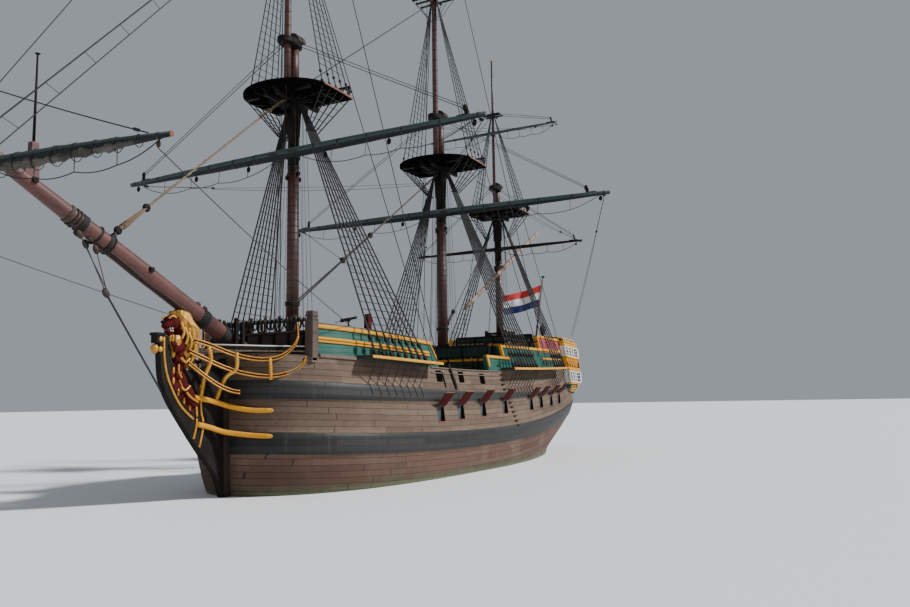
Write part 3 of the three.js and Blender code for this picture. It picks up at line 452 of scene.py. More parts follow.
def side_strip(x0: float, x1: float, low: Along, high: Along, out: float, deep: float, mark: int = 0,
               step: float = 0.4, crown: float = 0.0) -> Shape:
    """A strip along the port side that follows the hull's form.

    Args:
        x0, x1: its ends.
        low, high: heights of its edges as functions of x.
        out: how far it stands out from the form.
        deep: how far it reaches inwards.
        mark: its finish.
        step: spacing of its stations.
        crown: how far the middle of the outer face bulges.

    Returns:
        The strip as a closed shape.
    """
    xs = np.linspace(x0, x1, max(2, int(abs(x1 - x0) / step) + 1))
    z0, z1 = np.array([float(low(x)) for x in xs]), np.array([float(high(x)) for x in xs])
    zs = [z0, z0 * 0.75 + z1 * 0.25, (z0 + z1) / 2, z0 * 0.25 + z1 * 0.75, z1] if crown else [z0, z1]
    bulge = [0, 0.75 * crown, crown, 0.75 * crown, 0] if crown else [0, 0]
    rows = [np.stack([xs, FORM.half(xs, z) + out + b, z], 1) for z, b in zip(zs, bulge)]
    rows.append(np.stack([xs, FORM.half(xs, z1) - deep, z1], 1))
    rows.append(np.stack([xs, FORM.half(xs, z0) - deep, z0], 1))
    points = np.stack(rows, 1)
    return Shape().grid(points, mark, smooth=False, ring=True, caps=True, flip=x1 < x0)


def both(shape: Shape) -> Shape:
    """A shape of the port side together with its mirror image."""
    return Shape().join(shape).join(shape.mirrored())


def side_frame(x: float, z: float, side: int) -> np.ndarray:
    """A frame on the hull's side: along, outwards and upwards."""
    step = 0.4
    along = unit([2 * step, side * float(FORM.half(x + step, z) - FORM.half(x - step, z)), 0])
    rise = np.array([0, side * float(FORM.half(x, z + step) - FORM.half(x, z - step)), 2 * step])
    out = unit(np.cross(rise, along))
    out = out if out[1] * side > 0 else -out
    up = unit(np.cross(out, along))
    up = up if up[2] > 0 else -up
    first = unit(np.cross(out, up))
    return frame_of([x, side * float(FORM.half(x, z)), z], first, out, up)


# Node trees.


class Value:
    """A socket of a node tree that takes part in Python expressions."""

    def __init__(self, tree: "Tree", socket: Any) -> None:
        """Wraps a socket of the tree."""
        self.tree, self.socket = tree, socket

    def _math(self, operation: str, *others: Any) -> "Value":
        """A Math node on this value and others."""
        return self.tree.math(operation, self, *others)

    def __add__(self, other: Any) -> "Value":
        """Sum."""
        return self._math("ADD", other)

    __radd__ = __add__

    def __sub__(self, other: Any) -> "Value":
        """Difference."""
        return self._math("SUBTRACT", other)

    def __rsub__(self, other: Any) -> "Value":
        """Difference from a number."""
        return self.tree.math("SUBTRACT", other, self)

    def __mul__(self, other: Any) -> "Value":
        """Product."""
        return self._math("MULTIPLY", other)

    __rmul__ = __mul__

    def __truediv__(self, other: Any) -> "Value":
        """Quotient."""
        return self._math("DIVIDE", other)

    def __rtruediv__(self, other: Any) -> "Value":
        """Quotient of a number by the value."""
        return self.tree.math("DIVIDE", other, self)

    def __pow__(self, other: Any) -> "Value":
        """Power."""
        return self._math("POWER", other)

    def __neg__(self) -> "Value":
        """Opposite."""
        return self._math("MULTIPLY", -1.0)

    def __abs__(self) -> "Value":
        """Size without its sign."""
        return self._math("ABSOLUTE")

    def __gt__(self, other: Any) -> "Value":
        """One where the value is larger."""
        return self._math("GREATER_THAN", other)

    def __lt__(self, other: Any) -> "Value":
        """One where the value is smaller."""
        return self._math("LESS_THAN", other)

    def floor(self) -> "Value":
        """Whole part."""
        return self._math("FLOOR")

    def fract(self) -> "Value":
        """Part after the point."""
        return self._math("FRACT")

    def sine(self) -> "Value":
        """Sine."""
        return self._math("SINE")

    def most(self, other: Any) -> "Value":
        """The larger of two."""
        return self._math("MAXIMUM", other)

    def step(self, low: float, high: float) -> "Value":
        """A smooth rise from 0 at low to 1 at high."""
        node = self.tree.node("ShaderNodeMapRange", {"interpolation_type": "SMOOTHSTEP"},
                              {0: self, 1: low, 2: high, 3: 0.0, 4: 1.0})
        return Value(self.tree, node.outputs[0])

    def ridge(self, width: float) -> "Value":
        """One within a width of each whole number, falling to 0: a seam that repeats."""
        return 1 - abs((self + 0.5).fract() - 0.5).step(width * 0.4, width)


class Tree:
    """A node tree being built, for a finish or for repeated geometry."""

    def __init__(self, tree: bpy.types.NodeTree) -> None:
        """Starts on an empty tree."""
        self.tree = tree

    def node(self, kind: str, settings: dict[str, Any] | None = None,
             sockets: dict[Any, Any] | None = None) -> bpy.types.Node:
        """Adds a node.

        Args:
            kind: the node's type.
            settings: its properties, set before its sockets.
            sockets: values or links by socket name or number.

        Returns:
            The node.
        """
        made = self.tree.nodes.new(kind)
        for key, value in (settings or {}).items():
            setattr(made, key, value)
        for key, value in (sockets or {}).items():
            self.put(made.inputs[key], value)
        return made

    def put(self, target: Any, value: Any) -> None:
        """Links or sets an input socket."""
        if isinstance(value, Value):
            self.tree.links.new(value.socket, target)
        elif isinstance(value, bpy.types.NodeSocket):
            self.tree.links.new(value, target)
        else:
            if getattr(target, "type", "") == "RGBA" and len(value) == 3:
                value = (*value, 1.0)
            target.default_value = value

    def math(self, operation: str, *values: Any) -> Value:
        """A Math node."""
        made = self.node("ShaderNodeMath", {"operation": operation}, dict(enumerate(values)))
        return Value(self, made.outputs[0])

    def colour(self, factor: Any, a: Any, b: Any, blend: str = "MIX") -> Value:
        """A Mix node on two colours."""
        settings = {"data_type": "RGBA", "blend_type": blend, "clamp_factor": True}
        made = self.node("ShaderNodeMix", settings, {0: factor, 6: a, 7: b})
        return Value(self, made.outputs[2])

    def vector(self, x: Any, y: Any, z: Any) -> Value:
        """A vector from three values."""
        return Value(self, self.node("ShaderNodeCombineXYZ", {}, {0: x, 1: y, 2: z}).outputs[0])


class Paint(Tree):
    """The shader of one finish."""

    def __init__(self, name: str, colour: Point, roughness: float, metallic: float = 0.0) -> None:
        """A new material with its shader."""
        self.material = bpy.data.materials.new(name)
        self.material.use_nodes = True
        super().__init__(self.material.node_tree)
        self.tree.nodes.clear()
        self.shader = self.node("ShaderNodeBsdfPrincipled", {}, {
            "Base Color": tuple(colour), "Roughness": roughness, "Metallic": metallic})
        self.node("ShaderNodeOutputMaterial", {}, {"Surface": self.shader.outputs[0]})
        self.material.diffuse_color = (*colour, 1.0)
        self._place: Value | None = None

    @property
    def place(self) -> Value:
        """The point of the surface in full-size metres."""
        if self._place is None:
            where = self.node("ShaderNodeTexCoord").outputs["Object"]
            scaled = self.node("ShaderNodeVectorMath", {"operation": "SCALE"}, {0: where, "Scale": 1 / SCALE})
            self._place = Value(self, scaled.outputs[0])
        return self._place

    def axes(self, where: Value | None = None) -> tuple[Value, Value, Value]:
        """Its three coordinates."""
        split = self.node("ShaderNodeSeparateXYZ", {}, {0: where or self.place})
        return tuple(Value(self, split.outputs[i]) for i in range(3))

    def noise(self, scale: float, stretch: Point = (1, 1, 1), detail: float = 4.0, rough: float = 0.55,
              where: Value | None = None) -> Value:
        """Smooth noise over the surface, from 0 to 1."""
        mapped = self.node("ShaderNodeVectorMath", {"operation": "MULTIPLY"},
                           {0: where or self.place, 1: tuple(stretch)})
        made = self.node("ShaderNodeTexNoise", {}, {
            "Vector": mapped.outputs[0], "Scale": scale, "Detail": detail, "Roughness": rough})
        return Value(self, made.outputs["Fac"])

    def scatter(self, value: Any) -> Value:
        """A random number for each value."""
        return Value(self,
                     self.node("ShaderNodeTexWhiteNoise", {"noise_dimensions": "1D"}, {"W": value}).outputs[0])

    def attribute(self, name: str) -> Value:
        """A value stored on the mesh."""
        return Value(self, self.node("ShaderNodeAttribute", {"attribute_name": name}).outputs["Fac"])

    def finish(self, colour: Any = None, roughness: Any = None, height: Any = None, depth: float = 0.01,
               **others: Any) -> bpy.types.Material:
        """Feeds the shader.

        Args:
            colour: base colour.
            roughness: roughness.
            height: relief from 0 to 1.
            depth: the relief in metres.
            others: further sockets of the shader by name.

        Returns:
            The material.
        """
        if colour is not None:
            self.put(self.shader.inputs["Base Color"], colour)
        if roughness is not None:
            self.put(self.shader.inputs["Roughness"], roughness)
        if height is not None:
            bump = self.node("ShaderNodeBump", {}, {"Strength": 1.0, "Distance": depth, "Height": height})
            self.put(self.shader.inputs["Normal"], bump.outputs[0])
        for name, value in others.items():
            self.put(self.shader.inputs[name.replace("_", " ")], value)
        return self.material


Colour = tuple[float, float, float]


@dataclass(frozen=True)
class PaintedWood:
    """Oil paint on carved or planed wood, a little worn and streaked."""

    name: str
    tone: Colour
    worn: Colour
    roughness: float = 0.5
    dirt: float = 0.35
    seams: float = 0.0  # spacing of plank seams across the surface's height, in metres
    split: float | None = None  # height below which the paint is black
    tilt: float = 0.0  # rise of that height along X
    sheen: float = 0.2

    def material(self) -> bpy.types.Material:
        """The finish as a material."""
        p = Paint(self.name, self.tone, self.roughness)
        grain = p.noise(3.0, (0.6, 3.0, 3.0), 6)
        blotch = p.noise(0.8, (1, 1, 1), 5, 0.6)
        streak = p.noise(2.2, (3.5, 3.5, 0.25), 4)
        shade = p.colour(blotch.step(0.35, 0.75) * 0.5, self.tone, self.worn)
        shade = p.colour(streak.step(0.52, 0.8) * self.dirt, shade, tuple(c * 0.35 for c in self.tone))
        shade = p.colour((grain > 0.71) * 0.25, shade, self.worn)
        height = grain * 0.35 + blotch * 0.2
        if self.seams:
            _, _, z = p.axes()
            seam = (z / self.seams + 0.3).ridge(0.05)
            board = p.scatter((z / self.seams + 0.3).floor())
            shade = p.colour(board * 0.18, shade, self.worn)
            shade = p.colour(seam * 0.75, shade, tuple(c * 0.22 for c in self.tone))
            height = height - seam * 0.8
        if self.split is not None:
            x, _, z = p.axes()
            wavy = z - x * self.tilt + (p.noise(1.3) - 0.5) * 0.05
            shade = p.colour(1 - wavy.step(self.split - 0.03, self.split + 0.03), shade, (0.012, 0.014, 0.016))
        rough = (blotch - 0.5) * 0.3 + (streak.step(0.5, 0.8) * 0.2 + self.roughness)
        return p.finish(shade, rough, height, 0.006, Specular_IOR_Level=self.sheen)


@dataclass(frozen=True)
class HullPlanks:
    """The hull's outer planking: natural oak between two tarred wales, darker and green towards the water."""

    name: str = "hull_planking"

    def material(self) -> bpy.types.Material:
        """The finish as a material."""
        p = Paint(self.name, (0.24, 0.18, 0.145), 0.75)
        x, _, z = p.axes()
        strake, wale, low = p.attribute("strake"), p.attribute("wale"), p.attribute("low")
        plank = strake.floor()
        chance = p.scatter(plank * 3.1 + 7.0)
        butt = (x / 6.5 + chance * 5.0).ridge(0.004)
        piece = p.scatter(plank * 17.3 + (x / 6.5 + chance * 5.0 + 0.5).floor() * 5.7)
        grain = p.noise(2.6, (0.35, 2.0, 5.0), 8, 0.62)
        fine = p.noise(9.0, (0.25, 2.0, 6.0), 5, 0.6)
        blotch = p.noise(0.45, (1, 1, 0.8), 6, 0.62)
        streak = p.noise(1.4, (3.2, 3.2, 0.16), 5, 0.6)
        shade = p.colour(piece, (0.1, 0.064, 0.043), (0.165, 0.113, 0.08))
        shade = p.colour(low.step(0.2, 0.8) * 0.8, shade,
                         p.colour(piece, (0.08, 0.036, 0.025), (0.12, 0.06, 0.042)))
        shade = p.colour(grain.step(0.35, 0.75) * 0.55, shade, (0.07, 0.05, 0.039))
        shade = p.colour(blotch.step(0.45, 0.8) * 0.45, shade, (0.2, 0.145, 0.105))
        shade = p.colour((fine > 0.66) * 0.3, shade, (0.08, 0.06, 0.05))
        tar = p.colour(piece * 0.6 + grain * 0.3, (0.014, 0.0145, 0.0145), (0.035, 0.035, 0.034))
        tar = p.colour(streak.step(0.5, 0.75) * 0.5, tar, (0.043, 0.041, 0.038))
        shade = p.colour(wale.step(0.35, 0.65), shade, tar)
        shade = p.colour(streak.step(0.55, 0.8) * 0.4, shade, (0.07, 0.055, 0.045))
        weed = (0.75 - z + (p.noise(1.1, (1, 1, 0.5), 5) - 0.5) * 1.1).step(0.0, 0.9)
        shade = p.colour(weed * 0.85, shade, (0.045, 0.062, 0.03))
        salt = (0.28 - z + (p.noise(2.1, (1, 1, 0.3), 5) - 0.5) * 0.3).step(0.0, 0.15)
        shade = p.colour(salt * 0.5, shade, (0.11, 0.13, 0.07))
        seam = strake.ridge(0.045).most(butt)
        shade = p.colour(seam * 0.85, shade, (0.022, 0.017, 0.014))
        nails = (x * 1.1 + chance).ridge(0.03) * (strake - 0.5).ridge(0.28) * 0.35
        shade = p.colour(nails, shade, (0.04, 0.03, 0.025))
        rough = 0.78 - wale.step(0.35, 0.65) * 0.25 - weed * 0.25 + (grain - 0.5) * 0.25
        height = grain * 0.3 + fine * 0.15 + piece * 0.15 - seam * 0.9
        return p.finish(shade, rough, height, 0.012, Specular_IOR_Level=0.2)


@dataclass(frozen=True)
class DeckPlanks:
    """Scrubbed planks laid fore and aft with tarred seams."""

    name: str = "deck_planking"
    width: float = 0.22

    def material(self) -> bpy.types.Material:
        """The finish as a material."""
        p = Paint(self.name, (0.36, 0.29, 0.21), 0.75)
        x, y, _ = p.axes()
        row = y / self.width
        chance = p.scatter(row.floor())
        piece = p.scatter(row.floor() * 3.3 + (x / 5 + chance * 4).floor() * 1.7)
        grain = p.noise(4.0, (0.3, 4.0, 4.0), 7)
        shade = p.colour(piece, (0.30, 0.235, 0.17), (0.42, 0.34, 0.26))
        shade = p.colour(grain.step(0.4, 0.75) * 0.5, shade, (0.2, 0.15, 0.11))
        shade = p.colour(p.noise(0.4, (1, 1, 1), 5).step(0.45, 0.75) * 0.4, shade, (0.19, 0.165, 0.14))
        seam = row.ridge(0.06).most((x / 5 + chance * 4).ridge(0.004))
        shade = p.colour(seam * 0.9, shade, (0.03, 0.025, 0.02))
        return p.finish(shade, 0.7 + grain * 0.2, grain * 0.3 - seam * 0.8, 0.006)


@dataclass(frozen=True)
class SparWood:
    """Varnished or oiled spar timber with shakes along its length."""

    name: str
    tone: Colour
    dark: Colour
    roughness: float = 0.42
    stretch: Point = (4.0, 4.0, 0.18)
    coat: float = 0.25

    def material(self) -> bpy.types.Material:
        """The finish as a material."""
        p = Paint(self.name, self.tone, self.roughness)
        grain = p.noise(2.4, self.stretch, 8, 0.6)
        shakes = p.noise(7.0, tuple(s * (1.6 if s > 1 else 0.7) for s in self.stretch), 4)
        blotch = p.noise(0.7, (1, 1, 1), 5, 0.6)
        shade = p.colour(grain.step(0.35, 0.7), self.tone, self.dark)
        shade = p.colour(blotch.step(0.4, 0.75) * 0.5, shade, tuple(min(1, c * 1.55) for c in self.tone))
        crack = shakes.step(0.66, 0.72)
        shade = p.colour(crack * 0.8, shade, tuple(c * 0.25 for c in self.dark))
        return p.finish(shade, self.roughness + blotch * 0.2, grain * 0.3 - crack * 0.6, 0.005,
                        Coat_Weight=self.coat, Coat_Roughness=0.3)


@dataclass(frozen=True)
class Gilt:
    """Gold paint on carving, dull and dark in its hollows."""

    name: str = "gilding"
    tone: Colour = (0.5, 0.23, 0.022)

    def material(self) -> bpy.types.Material:
        """The finish as a material."""
        p = Paint(self.name, self.tone, 0.4, 0.35)
        cloud = p.noise(2.2, (1, 1, 1), 6, 0.6)
        fine = p.noise(14.0, (1, 1, 1), 5, 0.65)
        shade = p.colour(cloud.step(0.35, 0.75) * 0.7, self.tone, (0.62, 0.36, 0.07))
        shade = p.colour(fine.step(0.45, 0.75) * 0.6, shade, (0.16, 0.065, 0.012))
        return p.finish(shade, cloud * 0.35 + 0.25, fine * 0.5 + cloud * 0.5, 0.01)


@dataclass(frozen=True)
class Hemp:
    """Rope: tarred black or pale, with its lay as fine relief."""

    name: str
    tone: Colour
    pale: Colour

    def material(self) -> bpy.types.Material:
        """The finish as a material."""
        p = Paint(self.name, self.tone, 0.85)
        x, y, z = p.axes()
        lay = ((x + y * 0.7 + z) * 22.0).sine() * 0.5 + 0.5
        worn = p.noise(1.2, (1, 1, 1), 4)
        shade = p.colour(worn.step(0.45, 0.8) * 0.7, self.tone, self.pale)
        shade = p.colour(lay * 0.3, shade, tuple(c * 0.5 for c in self.tone))
        return p.finish(shade, worn * 0.2 + 0.7, lay, 0.006)


@dataclass(frozen=True)
class Metal:
    """Forged or cast metal with a dull skin, rust or green where it is old."""

    name: str
    tone: Colour
    stain: Colour
    roughness: float = 0.45
    metallic: float = 0.6

    def material(self) -> bpy.types.Material:
        """The finish as a material."""
        p = Paint(self.name, self.tone, self.roughness, self.metallic)
        cloud = p.noise(2.5, (1, 1, 1), 6, 0.62)
        pits = p.noise(16.0, (1, 1, 1), 4)
        shade = p.colour(cloud.step(0.52, 0.72) * 0.75, self.tone, self.stain)
        return p.finish(shade, cloud * 0.4 + self.roughness - 0.15, pits * 0.4 + cloud * 0.3, 0.005)


@dataclass(frozen=True)
class Panes:
    """Old window glass, uneven and pale with the sky."""

    name: str = "window_glass"

    def material(self) -> bpy.types.Material:
        """The finish as a material."""
        p = Paint(self.name, (0.012, 0.015, 0.018), 0.3)
        cloud = p.noise(1.6, (1, 1, 1), 4)
        shade = p.colour(cloud.step(0.3, 0.7), (0.006, 0.008, 0.01), (0.022, 0.028, 0.032))
        return p.finish(shade, cloud * 0.12 + 0.25, p.noise(3.0), 0.01, Specular_IOR_Level=0.15)


@dataclass(frozen=True)
class Canvas:
    """Sailcloth, grey with weather, its panels sewn edge to edge, with painted shade in the hollows of its folds
    and painted light on their crests.
    """

    name: str = "sailcloth"

    def material(self) -> bpy.types.Material:
        """The finish as a material."""
        p = Paint(self.name, (0.07, 0.062, 0.05), 0.9)
        _, y, _ = p.axes()
        weave = p.noise(40.0, (1, 1, 1), 3)
        folds = p.noise(2.4, (1, 0.35, 1), 6, 0.6)
        # Colour follows the fold relief: painted shade in the hollows, painted light on the crests.
        shade = p.colour(folds.step(0.35, 0.75), (0.032, 0.03, 0.025), (0.1, 0.09, 0.074))
        shade = p.colour((y / 0.6).ridge(0.03) * 0.5, shade, (0.08, 0.078, 0.07))
        return p.finish(shade, weave * 0.1 + 0.82, folds * 0.7 + weave * 0.2, 0.015)


@dataclass(frozen=True)
class Bunting:
    """Flag cloth in three stripes, across the sheet's own height."""

    name: str = "flag_bunting"

    def material(self) -> bpy.types.Material:
        """The finish as a material."""
        p = Paint(self.name, (0.5, 0.04, 0.04), 0.8)
        height = p.attribute("hoist")
        weave = p.noise(60.0, (1, 1, 1), 2)
        shade = p.colour(height.step(0.323, 0.343), (0.012, 0.025, 0.13), (0.72, 0.72, 0.7))
        shade = p.colour(height.step(0.657, 0.677), shade, (0.55, 0.022, 0.02))
        shade = p.colour(p.noise(1.5).step(0.45, 0.8) * 0.25, shade, (0.25, 0.22, 0.22))
        return p.finish(shade, weave * 0.1 + 0.75, weave, 0.002)


@dataclass
class Finishes:
    """Every finish of the ship, made once."""

    made: dict[str, bpy.types.Material] = field(default_factory=dict)

    def prepare(self) -> "Finishes":
        """Makes the materials."""
        black = (0.0085, 0.0075, 0.0065)
        kinds = [
            HullPlanks(), DeckPlanks(), Gilt(), Panes(), Canvas(), Bunting(),
            PaintedWood("green_paint", (0.012, 0.085, 0.062), (0.03, 0.125, 0.095), 0.42, 0.35, seams=0.24),
            PaintedWood("dark_green", (0.008, 0.03, 0.025), (0.016, 0.045, 0.038), 0.5, 0.3, seams=0.3),
            # Near-black without sheen: painted shade standing for the dark openings of the waist ports, and the
            # flat black of the tops.
            PaintedWood("port_dark", (0.004, 0.003, 0.003), (0.008, 0.006, 0.005), 1.0, 0.1, sheen=0.0),
            PaintedWood("yellow_paint", (0.62, 0.27, 0.016), (0.6, 0.31, 0.045), 0.6, 0.3, sheen=0.12),
            PaintedWood("black_paint", black, (0.024, 0.018, 0.013), 0.65, 0.3, sheen=0.12),
            PaintedWood("maroon_paint", (0.062, 0.0075, 0.0075), (0.085, 0.014, 0.013), 0.75, 0.3, sheen=0.05),
            PaintedWood("rose_paint", (0.31, 0.062, 0.077), (0.37, 0.11, 0.12), 0.6, 0.25, sheen=0.1),
            # Blue-grey for the inner end of the gunports: a painted reflection of the sky in the port's glass.
            PaintedWood("port_shutter", (0.075, 0.088, 0.09), (0.035, 0.042, 0.043), 0.5, 0.3),
            PaintedWood("rose_top", (0.2, 0.085, 0.065), (0.13, 0.06, 0.05), 0.6, 0.3),
            PaintedWood("white_paint", (0.68, 0.67, 0.62), (0.5, 0.49, 0.44), 0.45, 0.25),
            PaintedWood("grey_planks", (0.12, 0.09, 0.072), (0.19, 0.15, 0.12), 0.75, 0.35, seams=0.3),
            PaintedWood("dark_oak", (0.035, 0.024, 0.019), (0.07, 0.05, 0.038), 0.6, 0.3),
            PaintedWood("red_ports", (0.19, 0.05, 0.045), (0.25, 0.095, 0.085), 0.6, 0.25, sheen=0.1),
            PaintedWood("fore_yard_paint", (0.045, 0.068, 0.064), (0.075, 0.105, 0.098), 0.6, 0.15, split=17.93),
            PaintedWood("main_yard_paint", (0.045, 0.068, 0.064), (0.075, 0.105, 0.098), 0.6, 0.15, split=17.93),
            PaintedWood("sprit_yard_paint", (0.04, 0.06, 0.057), (0.07, 0.095, 0.09), 0.6, 0.15, split=0.0,
                        tilt=0.404),
            SparWood("mast_varnish", (0.062, 0.017, 0.011), (0.03, 0.009, 0.007), coat=0.05),
            SparWood("bowsprit_varnish", (0.085, 0.022, 0.015), (0.042, 0.012, 0.009), stretch=(0.3, 4, 3),
                     coat=0.08),
            SparWood("post_oak", (0.07, 0.044, 0.034), (0.04, 0.025, 0.02), 0.6, coat=0.0),
            SparWood("pale_spar", (0.27, 0.175, 0.12), (0.11, 0.066, 0.045), 0.6, (1.2, 4, 1.0), 0.03),
            Hemp("tarred_hemp", (0.01, 0.0095, 0.009), (0.03, 0.028, 0.025)),
            Hemp("brown_hemp", (0.05, 0.038, 0.027), (0.1, 0.078, 0.056)),
            Hemp("tan_hemp", (0.15, 0.098, 0.055), (0.26, 0.185, 0.11)),
            Metal("black_iron", (0.025, 0.025, 0.027), (0.09, 0.045, 0.025)),
            Metal("gun_bronze", (0.035, 0.032, 0.026), (0.05, 0.045, 0.03), 0.5, 0.7),
        ]
        for kind in kinds:
            self.made[kind.name] = kind.material()
        log.info("finishes: %d", len(self.made))
        return self

    def __getitem__(self, name: str) -> bpy.types.Material:
        """The material of a name."""
        return self.made[name]


def face_outwards(data: bpy.types.Mesh) -> None:
    """Turns the faces of a mesh outwards, judged on a copy with its touching corners joined.

    Args:
        data: the mesh, changed in place.
    """
    copy = bmesh.new()
    copy.from_mesh(data)
    order = copy.faces.layers.int.new("order")
    before = []
    for number, face in enumerate(copy.faces):
        face[order] = number
        before.append(face.normal.copy())
    bmesh.ops.remove_doubles(copy, verts=copy.verts, dist=1e-6)
    bmesh.ops.recalc_face_normals(copy, faces=copy.faces)
    turned = [face[order] for face in copy.faces if face.normal.dot(before[face[order]]) < 0]
    copy.free()
    for number in turned:
        data.polygons[number].flip()
    data.update()


@dataclass
class Yard:
    """Where finished pieces are put together: turns shapes into pieces of the model."""

    finishes: Finishes
    tally: dict[str, int] = field(default_factory=dict)

    def mesh(self, name: str, shape: Shape, finishes: Sequence[str], bevel: float = 0.0) -> bpy.types.Object:
        """A mesh object from a shape.

        Args:
            name: the piece's name.
            shape: its geometry in full-size metres.
            finishes: finish names by face mark.
            bevel: breadth of the softened edges in full-size metres.

        Returns:
            The object.
        """
        data = bpy.data.meshes.new(name)
        verts = np.concatenate(shape.verts) * SCALE if shape.verts else np.zeros((0, 3))
        data.from_pydata(verts.tolist(), [], shape.faces)
        for finish in finishes:
            data.materials.append(self.finishes[finish])
        data.polygons.foreach_set("material_index", np.array(shape.marks, np.int32))
        data.polygons.foreach_set("use_smooth", np.array(shape.smooth, bool))
        data.update()
        face_outwards(data)
        obj = bpy.data.objects.new(name, data)
        bpy.context.scene.collection.objects.link(obj)
        if bevel:
            edge = obj.modifiers.new("soft_edges", "BEVEL")
            edge.width, edge.segments, edge.limit_method, edge.angle_limit = bevel * SCALE, 1, "ANGLE", 0.7
            edge.harden_normals = False
            baked = bpy.data.meshes.new_from_object(obj.evaluated_get(bpy.context.evaluated_depsgraph_get()))
            obj.modifiers.clear()
            obj.data = baked
            bpy.data.meshes.remove(data)
            baked.name = name
        return obj

    def piece(self, name: str, shape: Shape, finishes: Sequence[str], part: Part, body: str = "ship",
              replaces: Sequence[str] = (), bevel: float = 0.0) -> bpy.types.Object:
        """A finished piece that rides on a body."""
        return self.hand_over(self.mesh(name, shape, finishes, bevel), part, body, replaces)

    def pair(self, word: str, port: Shape, finishes: Sequence[str], part: Part) -> None:
        """A port piece and its mirror image, each standing for its own solid."""
        for side, shape in ((1, port), (-1, port.mirrored())):
            name = f"{word}_{SIDE_NAMES[side]}"
            self.piece(name + "_dressed", shape, finishes, part, replaces=[name])

    def hand_over(self, obj: bpy.types.Object, part: Part, body: str = "ship",
                  replaces: Sequence[str] = ()) -> bpy.types.Object:
        """Sets a finished mesh on its body and the solids it stands for."""
        if body:
            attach(obj, body)
        if replaces:
            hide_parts(*replaces)
        self.tally[obj.name] = sum(len(p.vertices) - 2 for p in obj.data.polygons)
        return obj


# Geometry trees for what repeats or follows a path.


class GeometryTree(Tree):
    """A geometry tree with named inputs, run once on a mesh."""

    def __init__(self, name: str) -> None:
        """A tree with a mesh going in and a mesh coming out."""
        group = bpy.data.node_groups.new(name, "GeometryNodeTree")
        super().__init__(group)
        group.interface.new_socket("Geometry", in_out="INPUT", socket_type="NodeSocketGeometry")
        group.interface.new_socket("Geometry", in_out="OUTPUT", socket_type="NodeSocketGeometry")
        self.inlet = self.node("NodeGroupInput")
        self.outlet = self.node("NodeGroupOutput")
        self.identifiers: dict[str, str] = {}

    def number(self, name: str, value: float) -> Value:
        """A named size of the tree."""
        made = self.tree.interface.new_socket(name, in_out="INPUT", socket_type="NodeSocketFloat")
        made.default_value = value
        self.identifiers[name] = made.identifier
        return Value(self, self.inlet.outputs[name])

    def field(self, name: str, kind: str = "FLOAT") -> Value:
        """An attribute of the geometry going in."""
        made = self.node("GeometryNodeInputNamedAttribute", {"data_type": kind}, {"Name": name})
        return Value(self, made.outputs[0])

    def close(self, geometry: Any, material: bpy.types.Material) -> None:
        """Ends the tree in real geometry with its finish."""
        real = self.node("GeometryNodeRealizeInstances", {}, {0: geometry})
        painted = self.node("GeometryNodeSetMaterial", {}, {"Geometry": real.outputs[0], "Material": material})
        self.put(self.outlet.inputs[0], painted.outputs[0])

    def run(self, name: str, carrier: bpy.types.Object, sizes: dict[str, float]) -> bpy.types.Object:
        """Runs the tree on a carrier mesh and returns the result as a plain mesh object.

        Args:
            name: the piece's name.
            carrier: the object whose mesh goes in; it is removed.
            sizes: values of the named inputs.

        Returns:
            A new object.
        """
        worker = carrier.modifiers.new(name, "NODES")
        worker.node_group = self.tree
        for key, value in sizes.items():
            worker[self.identifiers[key]] = value
        seen = carrier.evaluated_get(bpy.context.evaluated_depsgraph_get())
        data = bpy.data.meshes.new_from_object(seen)
        carrier.modifiers.clear()
        bpy.data.objects.remove(carrier)
        data.name = name
        obj = bpy.data.objects.new(name, data)
        bpy.context.scene.collection.objects.link(obj)
        return obj


